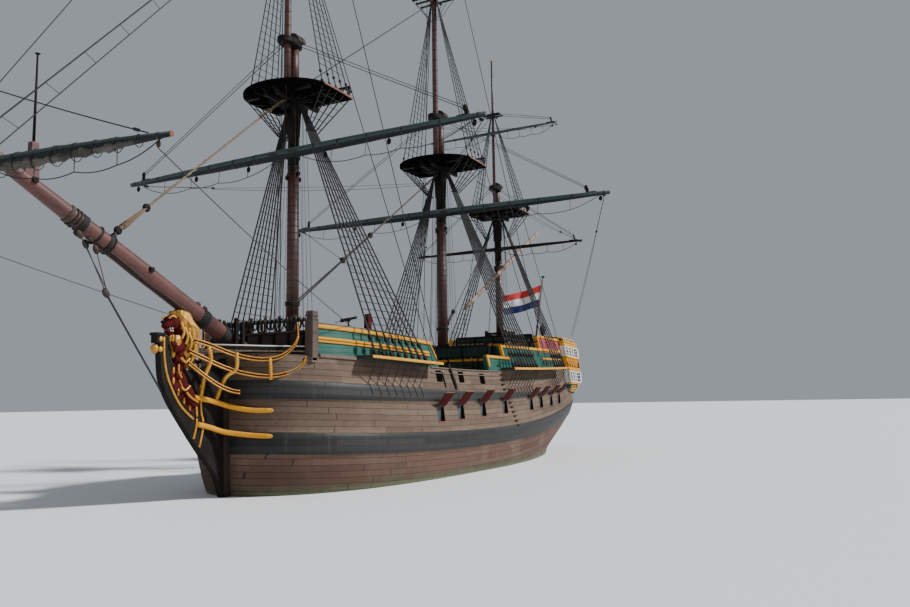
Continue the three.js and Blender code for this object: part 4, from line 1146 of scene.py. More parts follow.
@dataclass
class Cordage:
    """Taut lines of rope, each a path with its own thickness, turned into round rope by one tree."""

    yard: Yard
    sides: int = 5
    paths: list[tuple[np.ndarray, float]] = field(default_factory=list)

    def line(self, *points: Point, r: float = 0.03, sag: float = 0.0, steps: int = 0) -> "Cordage":
        """A rope through points.

        Args:
            points: its points in full-size metres.
            r: its radius.
            sag: how far its middle hangs below the straight line.
            steps: spans along it, where it sags.

        Returns:
            The cordage itself.
        """
        p = np.asarray(points, float)
        if sag and len(p) == 2:
            t = np.linspace(0, 1, (steps or 8) + 1)[:, None]
            p = p[0] * (1 - t) + p[1] * t - np.array([0, 0, 4 * sag]) * t * (1 - t)
        elif steps and len(p) == 2:
            t = np.linspace(0, 1, steps + 1)[:, None]
            p = p[0] * (1 - t) + p[1] * t
        self.paths.append((p, r))
        return self

    def rope(self, name: str, finish: str) -> bpy.types.Object:
        """The finished rope mesh, before it is set on a body."""
        verts, edges, radii = [], [], []
        for p, r in self.paths:
            base = len(verts)
            verts += (p * SCALE).tolist()
            radii += [r * SCALE] * len(p)
            edges += [(base + i, base + i + 1) for i in range(len(p) - 1)]
        data = bpy.data.meshes.new(name + "_path")
        data.from_pydata(verts, edges, [])
        data.attributes.new("thickness", "FLOAT", "POINT").data.foreach_set("value", radii)
        carrier = bpy.data.objects.new(name + "_path", data)
        bpy.context.scene.collection.objects.link(carrier)
        tree = GeometryTree("rope_" + name)
        fullness = tree.number("Fullness", 1.0)
        curves = tree.node("GeometryNodeMeshToCurve", {}, {0: tree.inlet.outputs["Geometry"]})
        sized = tree.node("GeometryNodeSetCurveRadius", {}, {0: curves.outputs[0],
                                                            "Radius": tree.field("thickness") * fullness})
        ring = tree.node("GeometryNodeCurvePrimitiveCircle", {}, {"Resolution": self.sides, "Radius": 1.0})
        skin = tree.node("GeometryNodeCurveToMesh", {},
                         {0: sized.outputs[0], 1: ring.outputs[0], "Fill Caps": True})
        if "Scale" in skin.inputs:
            tree.put(skin.inputs["Scale"], tree.field("thickness") * fullness)
        soft = tree.node("GeometryNodeSetShadeSmooth", {}, {0: skin.outputs[0]})
        tree.close(soft.outputs[0], self.yard.finishes[finish])
        return tree.run(name, carrier, {"Fullness": 1.0})

    def rig(self, name: str, finish: str, body: str = "ship", replaces: Sequence[str] = ()) -> None:
        """Makes the rope and sets it on its body."""
        self.yard.hand_over(self.rope(name, finish), Part.ROPE, body, replaces)


@dataclass
class Repeats:
    """Copies of one small shape at many places, each with its own turn and size, made by one tree."""

    yard: Yard
    shape: Shape
    finish: str
    places: list[tuple[Point, Point, Point, float]] = field(default_factory=list)

    def at(self, place: Point, along: Point = (1, 0, 0), up: Point = (0, 0, 1), size: float = 1.0) -> "Repeats":
        """One more copy: its place, the directions of its X and Z, and its size."""
        self.places.append((place, along, up, size))
        return self

    def made(self, name: str) -> bpy.types.Object:
        """The finished copies as one mesh, before it is set on a body."""
        item = self.yard.mesh(name + "_one", self.shape, [self.finish])
        data = bpy.data.meshes.new(name + "_places")
        data.from_pydata([(np.asarray(p, float) * SCALE).tolist() for p, *_ in self.places], [], [])
        turns = []
        for _, along, up, _ in self.places:
            x = unit(along)
            y = unit(np.cross(up, x))
            m = Matrix([x, y, np.cross(x, y)]).transposed()
            turns += list(m.to_euler())
        data.attributes.new("turn", "FLOAT_VECTOR", "POINT").data.foreach_set("vector", turns)
        sizes = [s for *_, s in self.places]
        data.attributes.new("size", "FLOAT", "POINT").data.foreach_set("value", sizes)
        carrier = bpy.data.objects.new(name + "_places", data)
        bpy.context.scene.collection.objects.link(carrier)
        tree = GeometryTree("copies_" + name)
        scale = tree.number("Size", 1.0)
        info = tree.node("GeometryNodeObjectInfo", {}, {"Object": item})
        turn = tree.node("FunctionNodeEulerToRotation", {}, {0: tree.field("turn", "FLOAT_VECTOR")})
        copies = tree.node("GeometryNodeInstanceOnPoints", {}, {
            "Points": tree.inlet.outputs["Geometry"], "Instance": info.outputs["Geometry"],
            "Rotation": turn.outputs[0], "Scale": tree.field("size") * scale})
        tree.close(copies.outputs[0], self.yard.finishes[self.finish])
        obj = tree.run(name, carrier, {"Size": 1.0})
        bpy.data.objects.remove(item)
        return obj

    def fit(self, name: str, part: Part = Part.BLACK, body: str = "ship") -> None:
        """Makes the copies and sets them on their body."""
        self.yard.hand_over(self.made(name), part, body)


# The hull and what is built on it.

PORT_PLACES = [(8.0, 3.63), (5.5, 3.7), (2.43, 3.8), (-1.04, 3.91), (-6.05, 4.06), (-8.41, 4.19),
               (-11.12, 4.32), (-13.65, 4.47)]
WAIST_PORTS = [(7.5, 5.84), (4.71, 5.83), (1.77, 5.78)]


def table(pairs: Sequence[tuple[float, float]], degree: int = 3) -> Callable[[Any], Any]:
    """A smooth curve through pairs of station and height."""
    xs, zs = zip(*pairs)
    return np.poly1d(np.polyfit(xs, zs, degree))


def sheer(x: float) -> float:
    """Height of the hull's upper edge."""
    return float(FORM.sheer(x))


# Edges of the two wales: station, height.
LOW_WALE = (table([(19.5, 2.0), (16.1, 1.81), (9.5, 1.62), (0.3, 1.66), (-11, 2.1), (-20.5, 3.2)]),
            table([(19.5, 3.05), (16.1, 2.86), (9.5, 2.68), (0.3, 2.62), (-11, 3.2), (-20.5, 4.4)]))
HIGH_WALE = (table([(19.5, 4.62), (15.9, 4.5), (9, 4.39), (-4, 4.5), (-12, 4.86), (-20.5, 5.5)]),
             table([(19.5, 5.5), (15.9, 5.34), (9, 5.1), (-4, 4.9), (-12, 5.2), (-20.5, 5.85)]))


@dataclass
class Hull:
    """The planked body with its wales, gunports and waist well."""

    port_width: float = 0.86
    port_height: float = 0.82
    port_depth: float = 0.2
    wale_relief: float = 0.06
    strake: float = 0.31
    bow: float = 19.86
    run_in: float = 12.0  # forward of this station the levels follow the stem
    run_out: float = -16.0  # abaft this one they follow the stern
    stern: float = -20.3

    def stations(self) -> np.ndarray:
        """Stations along the side, close together at the ends and true at the ports."""
        fore = self.bow - (self.bow - self.run_in) * (1 - np.linspace(0, 1, 46)) ** 1.9
        aft = self.stern + (self.run_out - self.stern) * (1 - np.linspace(0, 1, 14)) ** 1.2
        xs = np.concatenate([np.arange(self.run_out, self.run_in, 0.3), fore, aft,
                             [BREAK["quarter"], BREAK["forecastle"]]])
        cuts = [x + s * self.port_width / 2 for x, _ in PORT_PLACES for s in (-1, 1)]
        keep = [x for x in xs if min(abs(x - c) for c in cuts) > 0.07]
        return np.unique(np.round(np.array(keep + cuts + [x for x, _ in PORT_PLACES]), 4))

    def levels(self, x: float, top: float) -> np.ndarray:
        """Heights of the side's levels at a station, true at the wales' edges."""
        a, b, c, d = (float(f(x)) for f in (*LOW_WALE, *HIGH_WALE))
        marks = [(FORM.keel_top, 6), (-1.2, 5), (0.0, 8), (a - 0.02, 1), (a + 0.02, 5), (b - 0.02, 1),
                 (b + 0.02, 10), (c - 0.02, 1), (c + 0.02, 4), (d - 0.02, 1), (d + 0.02, 8)]
        rows = []
        for (z, n), (z1, _) in zip(marks, marks[1:] + [(top, 0)]):
            rows += list(np.linspace(z, z1, n, endpoint=False))
        return np.array(rows + [top])

    def lengthwise(self, x: float, z: np.ndarray) -> np.ndarray:
        """Where the points of a station lie along the ship, drawn to the stem and the stern at its ends."""
        for from_x, end_x, edge in ((self.run_in, self.bow, FORM.stem_x), (self.run_out, self.stern, FORM.stern_x)):
            share = (x - from_x) / (end_x - from_x)
            if share > 0:
                return from_x + share * (edge(z) - from_x)
        return np.full_like(z, x)

    def build(self, yard: Yard) -> None:
        """Builds and dresses the hull."""
        xs = self.stations()
        rows, holes = [], {}
        for i, x in enumerate(xs):
            z = self.levels(x, sheer(x))
            for px, pz in PORT_PLACES:
                if abs(x - px) < self.port_width / 2 + 0.01:
                    low, high = pz - self.port_height / 2, pz + self.port_height / 2
                    j0, j1 = int(np.argmin(abs(z - low))), int(np.argmin(abs(z - high)))
                    holes.setdefault(px, []).append((i, j0, j1))
                    z[:j0] = np.minimum(z[:j0], low - 0.004 * np.arange(j0, 0, -1))
                    z[j1 + 1:] = np.maximum(z[j1 + 1:], high + 0.004 * np.arange(1, len(z) - j1))
                    z[j0 : j1 + 1] = np.linspace(low, high, j1 - j0 + 1)
            px = self.lengthwise(x, z)
            edge = np.array([self.relief(a, b) for a, b in zip(px, z)])
            rows.append(np.stack([px, FORM.half(px, z) + edge * min(1, (20.2 - abs(x)) * 2), z], 1))
        side = np.array(rows)
        count = side.shape[1]
        skip = np.zeros((len(xs), count), bool)
        for cells in holes.values():
            j0, j1 = cells[0][1], cells[0][2]
            for i, *_ in cells[:-1]:
                skip[i, j0:j1] = True
        if any(len({(c[1], c[2]) for c in cells}) > 1 for cells in holes.values()):
            log.warning("a port's edges run across levels")
        body = Shape().grid(side, 0, smooth=True, skip=skip, flip=True)
        self.close_ports(body, side, holes)
        shell = both(body)
        self.close_top(shell, side)
        self.waist_ports(shell)
        finishes = ["hull_planking", "red_ports", "deck_planking", "dark_oak", "grey_planks", "port_shutter",
                    "black_paint", "port_dark"]
        obj = yard.mesh("hull_planks", shell, finishes)
        self.mark(obj)
        yard.hand_over(obj, Part.OAK, replaces=["hull"])

    def relief(self, x: float, z: float) -> float:
        """How far the wales stand out at a point of the side."""
        for low, high in (LOW_WALE, HIGH_WALE):
            if float(low(x)) < z < float(high(x)):
                return self.wale_relief
        return 0.0

    def close_ports(self, body: Shape, side: np.ndarray, holes: dict[float, list[tuple[int, int, int]]]) -> None:
        """Lines each port: a red sill, black jambs and head painted as the shade of the recess, and a blue-grey
        inner end painted as the sky's reflection.
        """
        for cells in holes.values():
            first, last = cells[0][0], cells[-1][0]
            j0, j1 = cells[0][1], cells[0][2]
            loop = [side[i, j0] for i in range(first, last + 1)]
            loop += [side[last, j] for j in range(j0 + 1, j1 + 1)]
            loop += [side[i, j1] for i in range(last - 1, first - 1, -1)]
            loop += [side[first, j] for j in range(j1 - 1, j0, -1)]
            outer = np.array(loop)
            inner = outer - np.array([0, self.port_depth, 0])
            inner[:, 1] = inner[:, 1].mean()
            sill = last - first
            body.grid(np.array([outer[: sill + 1], inner[: sill + 1]]), 1, smooth=False)
            # Jambs and head in black: painted shade of the recess; the sill keeps the port's red.
            above = [np.vstack([line[sill:], line[:1]]) for line in (outer, inner)]
            body.grid(np.array(above), 6, smooth=False)
            # Inner end in blue-grey: a painted reflection of the sky in the port's glass.
            body.add(inner, [tuple(range(len(inner)))[::-1]], 5)

    def close_top(self, shell: Shape, side: np.ndarray) -> None:
        """Closes the body over its top, with the waist well's walls and deck, and at its two ends."""
        top = side[:, -1]
        inner, floor = [], []
        for x, y, z in top:
            inner.append([x, max(0.02, y - FORM.wall), z])
            well = BREAK["quarter"] - 1e-3 < x < BREAK["forecastle"] + 1e-3
            floor.append([x, max(0.02, y - FORM.wall), DECK["waist"] if well else z - 0.02])
        inner, floor = np.array(inner), np.array(floor)
        mid = floor * [1, 0, 1]
        for sign in SIDES:
            s = np.array([1, sign, 1])
            shell.grid(np.stack([top * s, inner * s], 1), 3, smooth=False, flip=sign > 0)
            shell.grid(np.stack([inner * s, floor * s], 1), 6, smooth=False, flip=sign > 0)
            shell.grid(np.stack([floor * s, mid], 1), 2, smooth=False, flip=sign > 0)
            shell.grid(np.stack([side[0] * s, side[0] * [1, 0, 1]], 0), 0, smooth=False, flip=sign < 0)
            shell.grid(np.stack([side[-1] * s, side[-1] * [1, 0, 1]], 0), 0, smooth=False, flip=sign > 0)
            keel = side[:, 0]
            shell.grid(np.stack([keel * s, keel * [1, 0, 1]], 1), 0, smooth=False, flip=sign < 0)
        for k in (0, -1):
            half = [floor[k], inner[k], top[k]]
            rim = [p * [1, -1, 1] for p in half[::-1]] + [mid[k]] + half + [top[k] * [1, 0, 1]]
            shell.add(np.array(rim), [tuple(range(len(rim)))], 3, False)
        for x, half in ((5.6, 1.1), (2.6, 1.4)):
            z = DECK["waist"]
            shell.box([x - half, -1.2, z - 0.05], [x + half, 1.2, z + 0.2], 3)
            for y in np.linspace(-1.05, 1.05, 9):
                shell.box([x - half + 0.1, y - 0.05, z + 0.2], [x + half - 0.1, y + 0.05, z + 0.27], 4)
            for a in np.linspace(x - half + 0.12, x + half - 0.12, int(half * 8)):
                shell.box([a - 0.05, -1.1, z + 0.21], [a + 0.05, 1.1, z + 0.285], 4)

    def waist_ports(self, shell: Shape) -> None:
        """The closed ports of the waist as near-black plates, a painted shade standing for dark openings; a red lip
        under each gunport; and the fenders beside them.
        """
        for side in SIDES:
            for x, z in WAIST_PORTS:
                frame = side_frame(x, z, side)
                # Near-black plate without sheen: painted shade standing for the dark opening of the port.
                shell.box([-0.31, -0.05, -0.33], [0.31, 0.035, 0.33], 7, frame)
            for x, z in PORT_PLACES:
                shell.box([-0.41, -0.05, -0.46], [0.41, 0.025, -0.415], 1, side_frame(x, z, side))
            self.fittings(shell, side)

    @staticmethod
    def fittings(shell: Shape, side: int) -> None:
        """Fenders, the steps of the side ladder and the waist's rail moulding."""
        for x0, x1, low, high, wide, deep in ((5.63, 6.15, 5.05, 6.6, 0.1, 0.11),
                                              (6.93, 7.1, 5.15, 6.1, 0.045, 0.06)):
            rows = []
            for z in np.linspace(low, high, 7):
                x = mix(x0, x1, (z - low) / (high - low))
                y = float(FORM.half(x, z))
                push = deep * min(1.0, 0.35 + 3 * (z - low) / (high - low))
                rows.append([[x - wide, side * (y - 0.04), z], [x - wide, side * (y + push), z],
                             [x + wide, side * (y + push), z], [x + wide, side * (y - 0.04), z]])
            shell.grid(np.array(rows), 6, smooth=False, ring=True, caps=True, flip=side < 0)
        for k, z in enumerate((6.75, 6.42, 6.1, 5.77, 5.45, 5.13, 4.8, 4.5, 4.22, 3.92, 3.6, 3.3, 2.98, 2.66)):
            x = -1.3 - max(0, k - 4) * 0.17
            frame = side_frame(x, z, side)
            shell.box([-0.2, -0.03, -0.06], [0.2, 0.09, 0.02], 6, frame)
        for lift, deep, out in ((-0.34, 0.05, 0.05), (-0.03, 0.06, 0.08)):
            rail = side_strip(-1.2, 8.3, lambda x: sheer(x) + lift - deep / 2, lambda x: sheer(x) + lift + deep / 2,
                              out, 0.05, 4)
            shell.join(rail if side > 0 else rail.mirrored())

    def mark(self, obj: bpy.types.Object) -> None:
        """Stores the strake number, the wales and the depth under them on the mesh's points."""
        co = np.zeros(len(obj.data.vertices) * 3)
        obj.data.vertices.foreach_get("co", co)
        x, _, z = (co.reshape(-1, 3) / SCALE).T
        low_edge = np.asarray(LOW_WALE[0](x))
        strakes = (z - LOW_WALE[1](x)) / self.strake
        wale = np.zeros(len(x))
        for low, high in (LOW_WALE, HIGH_WALE):
            wale = np.maximum(wale, ((z > low(x)) & (z < high(x))).astype(float))
        fields = {"strake": strakes + 40, "wale": wale, "low": np.clip((low_edge + 0.1 - z) / 0.2, 0, 1)}
        for name, values in fields.items():
            obj.data.attributes.new(name, "FLOAT", "POINT").data.foreach_set("value", values)


@dataclass
class PortLids:
    """Gunport lids swung up on their hinges, red inside and planked outside."""

    width: float = 1.02
    height: float = 0.96
    thick: float = 0.09
    barrel: float = 0.05
    open_angle: float = 132.0
    proud: float = 0.03
    running: float = 0.012

    def build(self, yard: Yard) -> None:
        """Builds the lids, each on its own body."""
        for side in SIDES:
            for number, (x, z) in enumerate(PORT_PLACES, 1):
                name = f"port_lid_{SIDE_NAMES[side]}_{number}"
                yard.piece(name + "_dressed", self.lid(x, z, side),
                           ["maroon_paint", "grey_planks", "black_iron", "dark_oak"], Part.MAROON, name, [name],
                           0.012)

    def lid(self, x: float, z: float, side: int) -> Shape:
        """One lid at its port."""
        w, h, y0 = self.width / 2, self.height, -self.barrel + self.running
        y1 = y0 + self.thick
        shape = Shape().box([-w, y0 + 0.03, -h - 0.02], [w, y1, -0.02], 1)
        shape.box([-w + 0.07, y0, -h + 0.05], [w - 0.07, y0 + 0.035, -0.06], 0)
        shape.box([-w, y0 + 0.012, -h - 0.02], [w, y0 + 0.032, -0.02], 0)
        for a in (-0.28, 0.28):
            shape.box([a - 0.035, y1, -h + 0.08], [a + 0.035, y1 + 0.018, 0.02], 2)
            shape.box([a - 0.05, y0 - 0.02, -0.12], [a + 0.05, y1 + 0.01, 0.03], 2)
            shape.spar([a - 0.09, 0, 0], [a + 0.09, 0, 0], [(0, 0.05), (0.18, 0.05)], 10, 2)
            shape.spar([a, y0 - 0.03, -h + 0.2], [a, y0, -h + 0.2], [(0, 0.035), (0.03, 0.035)], 8, 2)
        shape.spar([-w, 0, 0], [w, 0, 0], [(0, 0.035), (2 * w, 0.035)], 10, 3)
        frame = side_frame(x, z, side)
        hinge = frame.copy()
        hinge[:3, 3] += frame[:3, 1] * (self.proud + self.barrel) + frame[:3, 2] * (0.41 + 0.06)
        a = math.radians(self.open_angle)
        swing = frame_of([0, 0, 0], [1, 0, 0], [0, math.cos(a), math.sin(a)], [0, -math.sin(a), math.cos(a)])
        return shape.placed(hinge @ swing)


@dataclass
class Bulwarks:
    """Green bulwarks of the forecastle and the quarter with their yellow mouldings."""

    wall: float = 0.28
    step_x: float = -2.4
    fore_aft: float = 7.75
    fore_end: float = 7.3
    gallery: float = -16.9  # the mouldings end at the quarter gallery
    lining: float = 0.03

    @staticmethod
    def fore_rail(x: float) -> float:
        """Height of the forecastle's rail."""
        return mix(7.82, 8.2, (x - 8.6) / 8.5)

    @staticmethod
    def quarter_rail(x: float) -> float:
        """Height of the quarterdeck's rail."""
        return mix(8.1, 8.4, (BREAK["quarter"] - x) / 15)

    @staticmethod
    def poop_rail(x: float) -> float:
        """Height of the poop's rail."""
        return mix(9.36, 9.44, (BREAK["poop"] - x) / 9)

    def moulding(self, shape: Shape, x0: float, x1: float, z: Along, depth: float, out: float = 0.07) -> None:
        """A yellow moulding with a fillet above and below it."""
        half = depth / 2
        shape.join(side_strip(x0, x1, lambda x: z(x) - half, lambda x: z(x) + half, out, 0.14, 1, crown=0.03))
        fillet = side_strip(x0, x1, lambda x: z(x) + half * 0.55, lambda x: z(x) + half + 0.02, out + 0.02, 0.14, 1)
        shape.join(fillet)

    def build(self, yard: Yard) -> None:
        """Builds both pairs of bulwarks."""
        fore = ["green_paint", "yellow_paint", "grey_planks"]
        aft = ["green_paint", "yellow_paint", "rose_paint", "dark_oak", "dark_green"]
        yard.pair("forecastle_bulwark", self.forecastle(), fore, Part.GREEN)
        yard.pair("quarter_bulwark", self.quarter(), aft, Part.GREEN)

    def forecastle(self) -> Shape:
        """The forecastle's bulwark of the port side."""
        fore = Shape()
        fore.join(side_strip(self.fore_aft, FORE_END, sheer, self.fore_rail, 0, self.wall, 0))
        slope = lambda x: mix(6.75, self.fore_rail(x), (x - self.fore_end) / (self.fore_aft - self.fore_end))
        fore.join(side_strip(self.fore_end, self.fore_aft, sheer, slope, 0, self.wall, 0, step=0.1))
        fore.join(side_strip(self.fore_end, self.fore_aft, lambda x: slope(x) - 0.2, slope, 0.06, 0.14, 1,
                             step=0.1))
        self.moulding(fore, self.fore_aft, FORE_END, self.fore_rail, 0.2)
        self.moulding(fore, 8.2, FORE_END, lambda x: self.fore_rail(x) - 0.62, 0.12)
        self.moulding(fore, 8.2, FORE_END, lambda x: self.fore_rail(x) - 0.78, 0.08, 0.05)
        fore.join(side_strip(15.0, FORE_END, lambda x: sheer(x) - 0.05, lambda x: sheer(x) + 0.12, 0.09, 0.1, 2))
        fore.join(side_strip(self.fore_aft + 0.02, FORE_END - 0.02, lambda x: self.fore_rail(x) + 0.1,
                             lambda x: self.fore_rail(x) + 0.17, 0.1, 0.36, 2))
        return fore

    def quarter(self) -> Shape:
        """The quarter's bulwark of the port side, and the poop's panelled side above it."""
        aft = Shape()
        aft.join(side_strip(DECK_BACK, self.step_x, sheer, self.quarter_rail, 0, self.wall, 0))
        aft.join(side_strip(self.step_x, 0.4, sheer, lambda x: 7.3, 0, self.wall, 0))
        aft.join(side_strip(DECK_BACK, BREAK["poop"], lambda x: self.quarter_rail(x) - 0.2, self.poop_rail, 0,
                            self.wall, 2))
        self.moulding(aft, self.gallery, self.step_x, self.quarter_rail, 0.18)
        self.moulding(aft, self.gallery, BREAK["poop"], lambda x: self.quarter_rail(x) - 0.72, 0.14, 0.06)
        self.moulding(aft, self.gallery, BREAK["poop"], self.poop_rail, 0.18)
        self.moulding(aft, -3.6, 0.4, lambda x: 7.3, 0.16)
        for x, z, low in ((self.step_x, 8.08, 7.32), (0.36, 7.28, 6.62)):
            end = side_strip(x - 0.17, x + 0.02, lambda x: low, lambda x: z + 0.1, 0.08, 0.1, 1, step=0.05,
                             crown=0.02)
            aft.join(end)
        aft.join(side_strip(BREAK["poop"] - 0.02, BREAK["poop"] + 0.16, lambda x: 8.3, self.poop_rail, 0.08, 0.28,
                            1, step=0.05))
        aft.join(side_strip(DECK_BACK, BREAK["poop"], lambda x: DECK["poop"] + 0.01,
                            lambda x: self.poop_rail(x) + 0.1, -self.wall, self.wall + self.lining, 3))
        aft.join(side_strip(BREAK["poop"] + 0.2, self.step_x, lambda x: DECK["quarter"] + 0.01,
                            lambda x: self.quarter_rail(x) + 0.1, -self.wall, self.wall + self.lining, 4))
        for x in np.arange(-16.4, BREAK["poop"] - 0.3, 1.35):
            panel = side_strip(x, x + 0.9, lambda x: self.quarter_rail(x) + 0.3, lambda x: self.poop_rail(x) - 0.25,
                               0.03, 0.02, 2, step=0.45)
            aft.join(panel)
            aft.join(side_strip(x + 0.25, x + 0.65, lambda x: self.quarter_rail(x) + 0.42,
                                lambda x: self.poop_rail(x) - 0.37, 0.06, 0.02, 2, step=0.2, crown=0.04))
        for x in np.arange(-16.2, -3.2, 1.0):
            drop = 0.86 if x < BREAK["poop"] else 0.2
            aft.join(side_strip(x, x + 0.3, lambda x: self.quarter_rail(x) - drop - 0.34,
                                lambda x: self.quarter_rail(x) - drop - 0.04, 0.025, 0.02, 3, 0.15))
        return aft


# Places of the lower deadeyes of each mast: first, last, count.
SHROUD_FEET = {"fore": (14.5, 10.05, 8), "main": (-1.95, -6.65, 9), "mizzen": (-11.3, -14.1, 5)}
CHANNELS = {"fore": (8.44, 14.87), "aft": (-14.4, -1.75)}
CHANNEL_OUT = 0.97


def channel_z(x: float) -> float:
    """Height of the channels' upper face."""
    return sheer(x) + 0.2


def shroud_feet(mast: str) -> list[np.ndarray]:
    """Places of a mast's lower deadeyes on the port channel, from the fore one aft."""
    first, last, count = SHROUD_FEET[mast]
    return [FORM.side_point(x, channel_z(x), CHANNEL_OUT - 0.11) for x in np.linspace(first, last, count)]


def deadeye_shape(radius: float = 0.155, thick: float = 0.15) -> Shape:
    """A deadeye: a rounded disc whose flat sides face along X."""
    shape = Shape()
    rows = []
    for x, r in ((-0.5, 0.55), (-0.42, 0.86), (0, 1.0), (0.42, 0.86), (0.5, 0.55)):
        a = np.linspace(0, 2 * np.pi, 10, endpoint=False)
        rows.append(np.stack([np.full(10, x * thick), radius * r * np.cos(a), radius * r * np.sin(a)], 1))
    return shape.grid(np.array(rows), 0, ring=True, caps=True)


def block_shape(length: float = 0.3) -> Shape:
    """A rope block, rounded."""
    return Shape().ball([0, 0, 0], [length * 0.22, length * 0.36, length * 0.5], 0, 6, 8)


@dataclass
class Channels:
    """Channels that spread the shrouds, with their deadeyes, lanyards and chain plates."""

    out: float = CHANNEL_OUT

    def build(self, yard: Yard) -> None:
        """Builds the channels of both sides and their ironwork."""
        for word, (x0, x1) in CHANNELS.items():
            plank = side_strip(x0, x1, lambda x: channel_z(x) - 0.14, channel_z, self.out, -0.002, 0)
            edge = side_strip(x0 + 0.01, x1 - 0.01, lambda x: channel_z(x) - 0.15, lambda x: channel_z(x) - 0.005,
                              self.out + 0.03, -(self.out - 0.02), 1, crown=0.02)
            part = Part.BLACK if word == "fore" else Part.OCHRE
            yard.pair(f"{word}_channel", plank.join(edge), ["dark_oak", "yellow_paint"], part)
        self.ironwork(yard)

    def ironwork(self, yard: Yard) -> None:
        """Deadeyes, lanyards and chain plates of the three masts."""
        eyes = Repeats(yard, deadeye_shape(), "black_paint")
        lanyards, irons = Cordage(yard, 4), Cordage(yard, 5)
        for mast in (FORE, MAIN, MIZZEN):
            head = np.array([mast.x, mast.radius(mast.top_z) + 0.1, mast.top_z - 0.35])
            for foot in shroud_feet(mast.name):
                for side in SIDES:
                    s = np.array([1, side, 1])
                    run = unit(head - foot) * s
                    low, high = foot * s + run * 0.16, foot * s + run * 0.98
                    across = unit(np.cross(run, np.cross(run, [0, side, 0.2])))
                    for place in (low, high):
                        eyes.at(place, across, run)
                    for k in (-1, 0, 1):
                        shift = np.cross(across, run) * 0.07 * k
                        for lift in (-0.03, 0.03):
                            lanyards.line(low + shift + across * lift, high + shift + across * lift, r=0.014)
                    sole = foot * s
                    bend = FORM.side_point(foot[0] - 0.12, foot[2] - 1.35, 0.05) * s
                    knee = FORM.side_point(foot[0] - 0.32, foot[2] - 2.0, 0.07) * s
                    edge = sole + np.array([0, 0.1 * side, -0.06])
                    irons.line(sole + run * 0.08, edge, edge + [0, 0, -0.12], bend, r=0.024)
                    irons.line(bend, knee, r=0.028)
        eyes.fit("shroud_deadeyes")
        lanyards.rig("shroud_lanyards", "tarred_hemp")
        yard.hand_over(irons.rope("chain_plates", "black_iron"), Part.BLACK)


# The head: knee, cheeks, rails, beakhead and figurehead.


def rounded_bar(half_width: float, half_height: float, corner: float = 0.35) -> list[tuple[float, float]]:
    """Section of a bar with rounded corners."""
    outline = []
    for k in range(16):
        a = 2 * math.pi * (k + 0.5) / 16
        c, s = math.cos(a), math.sin(a)
        outline.append((half_width * math.copysign(abs(c) ** corner, c),
                        half_height * math.copysign(abs(s) ** corner, s)))
    return outline


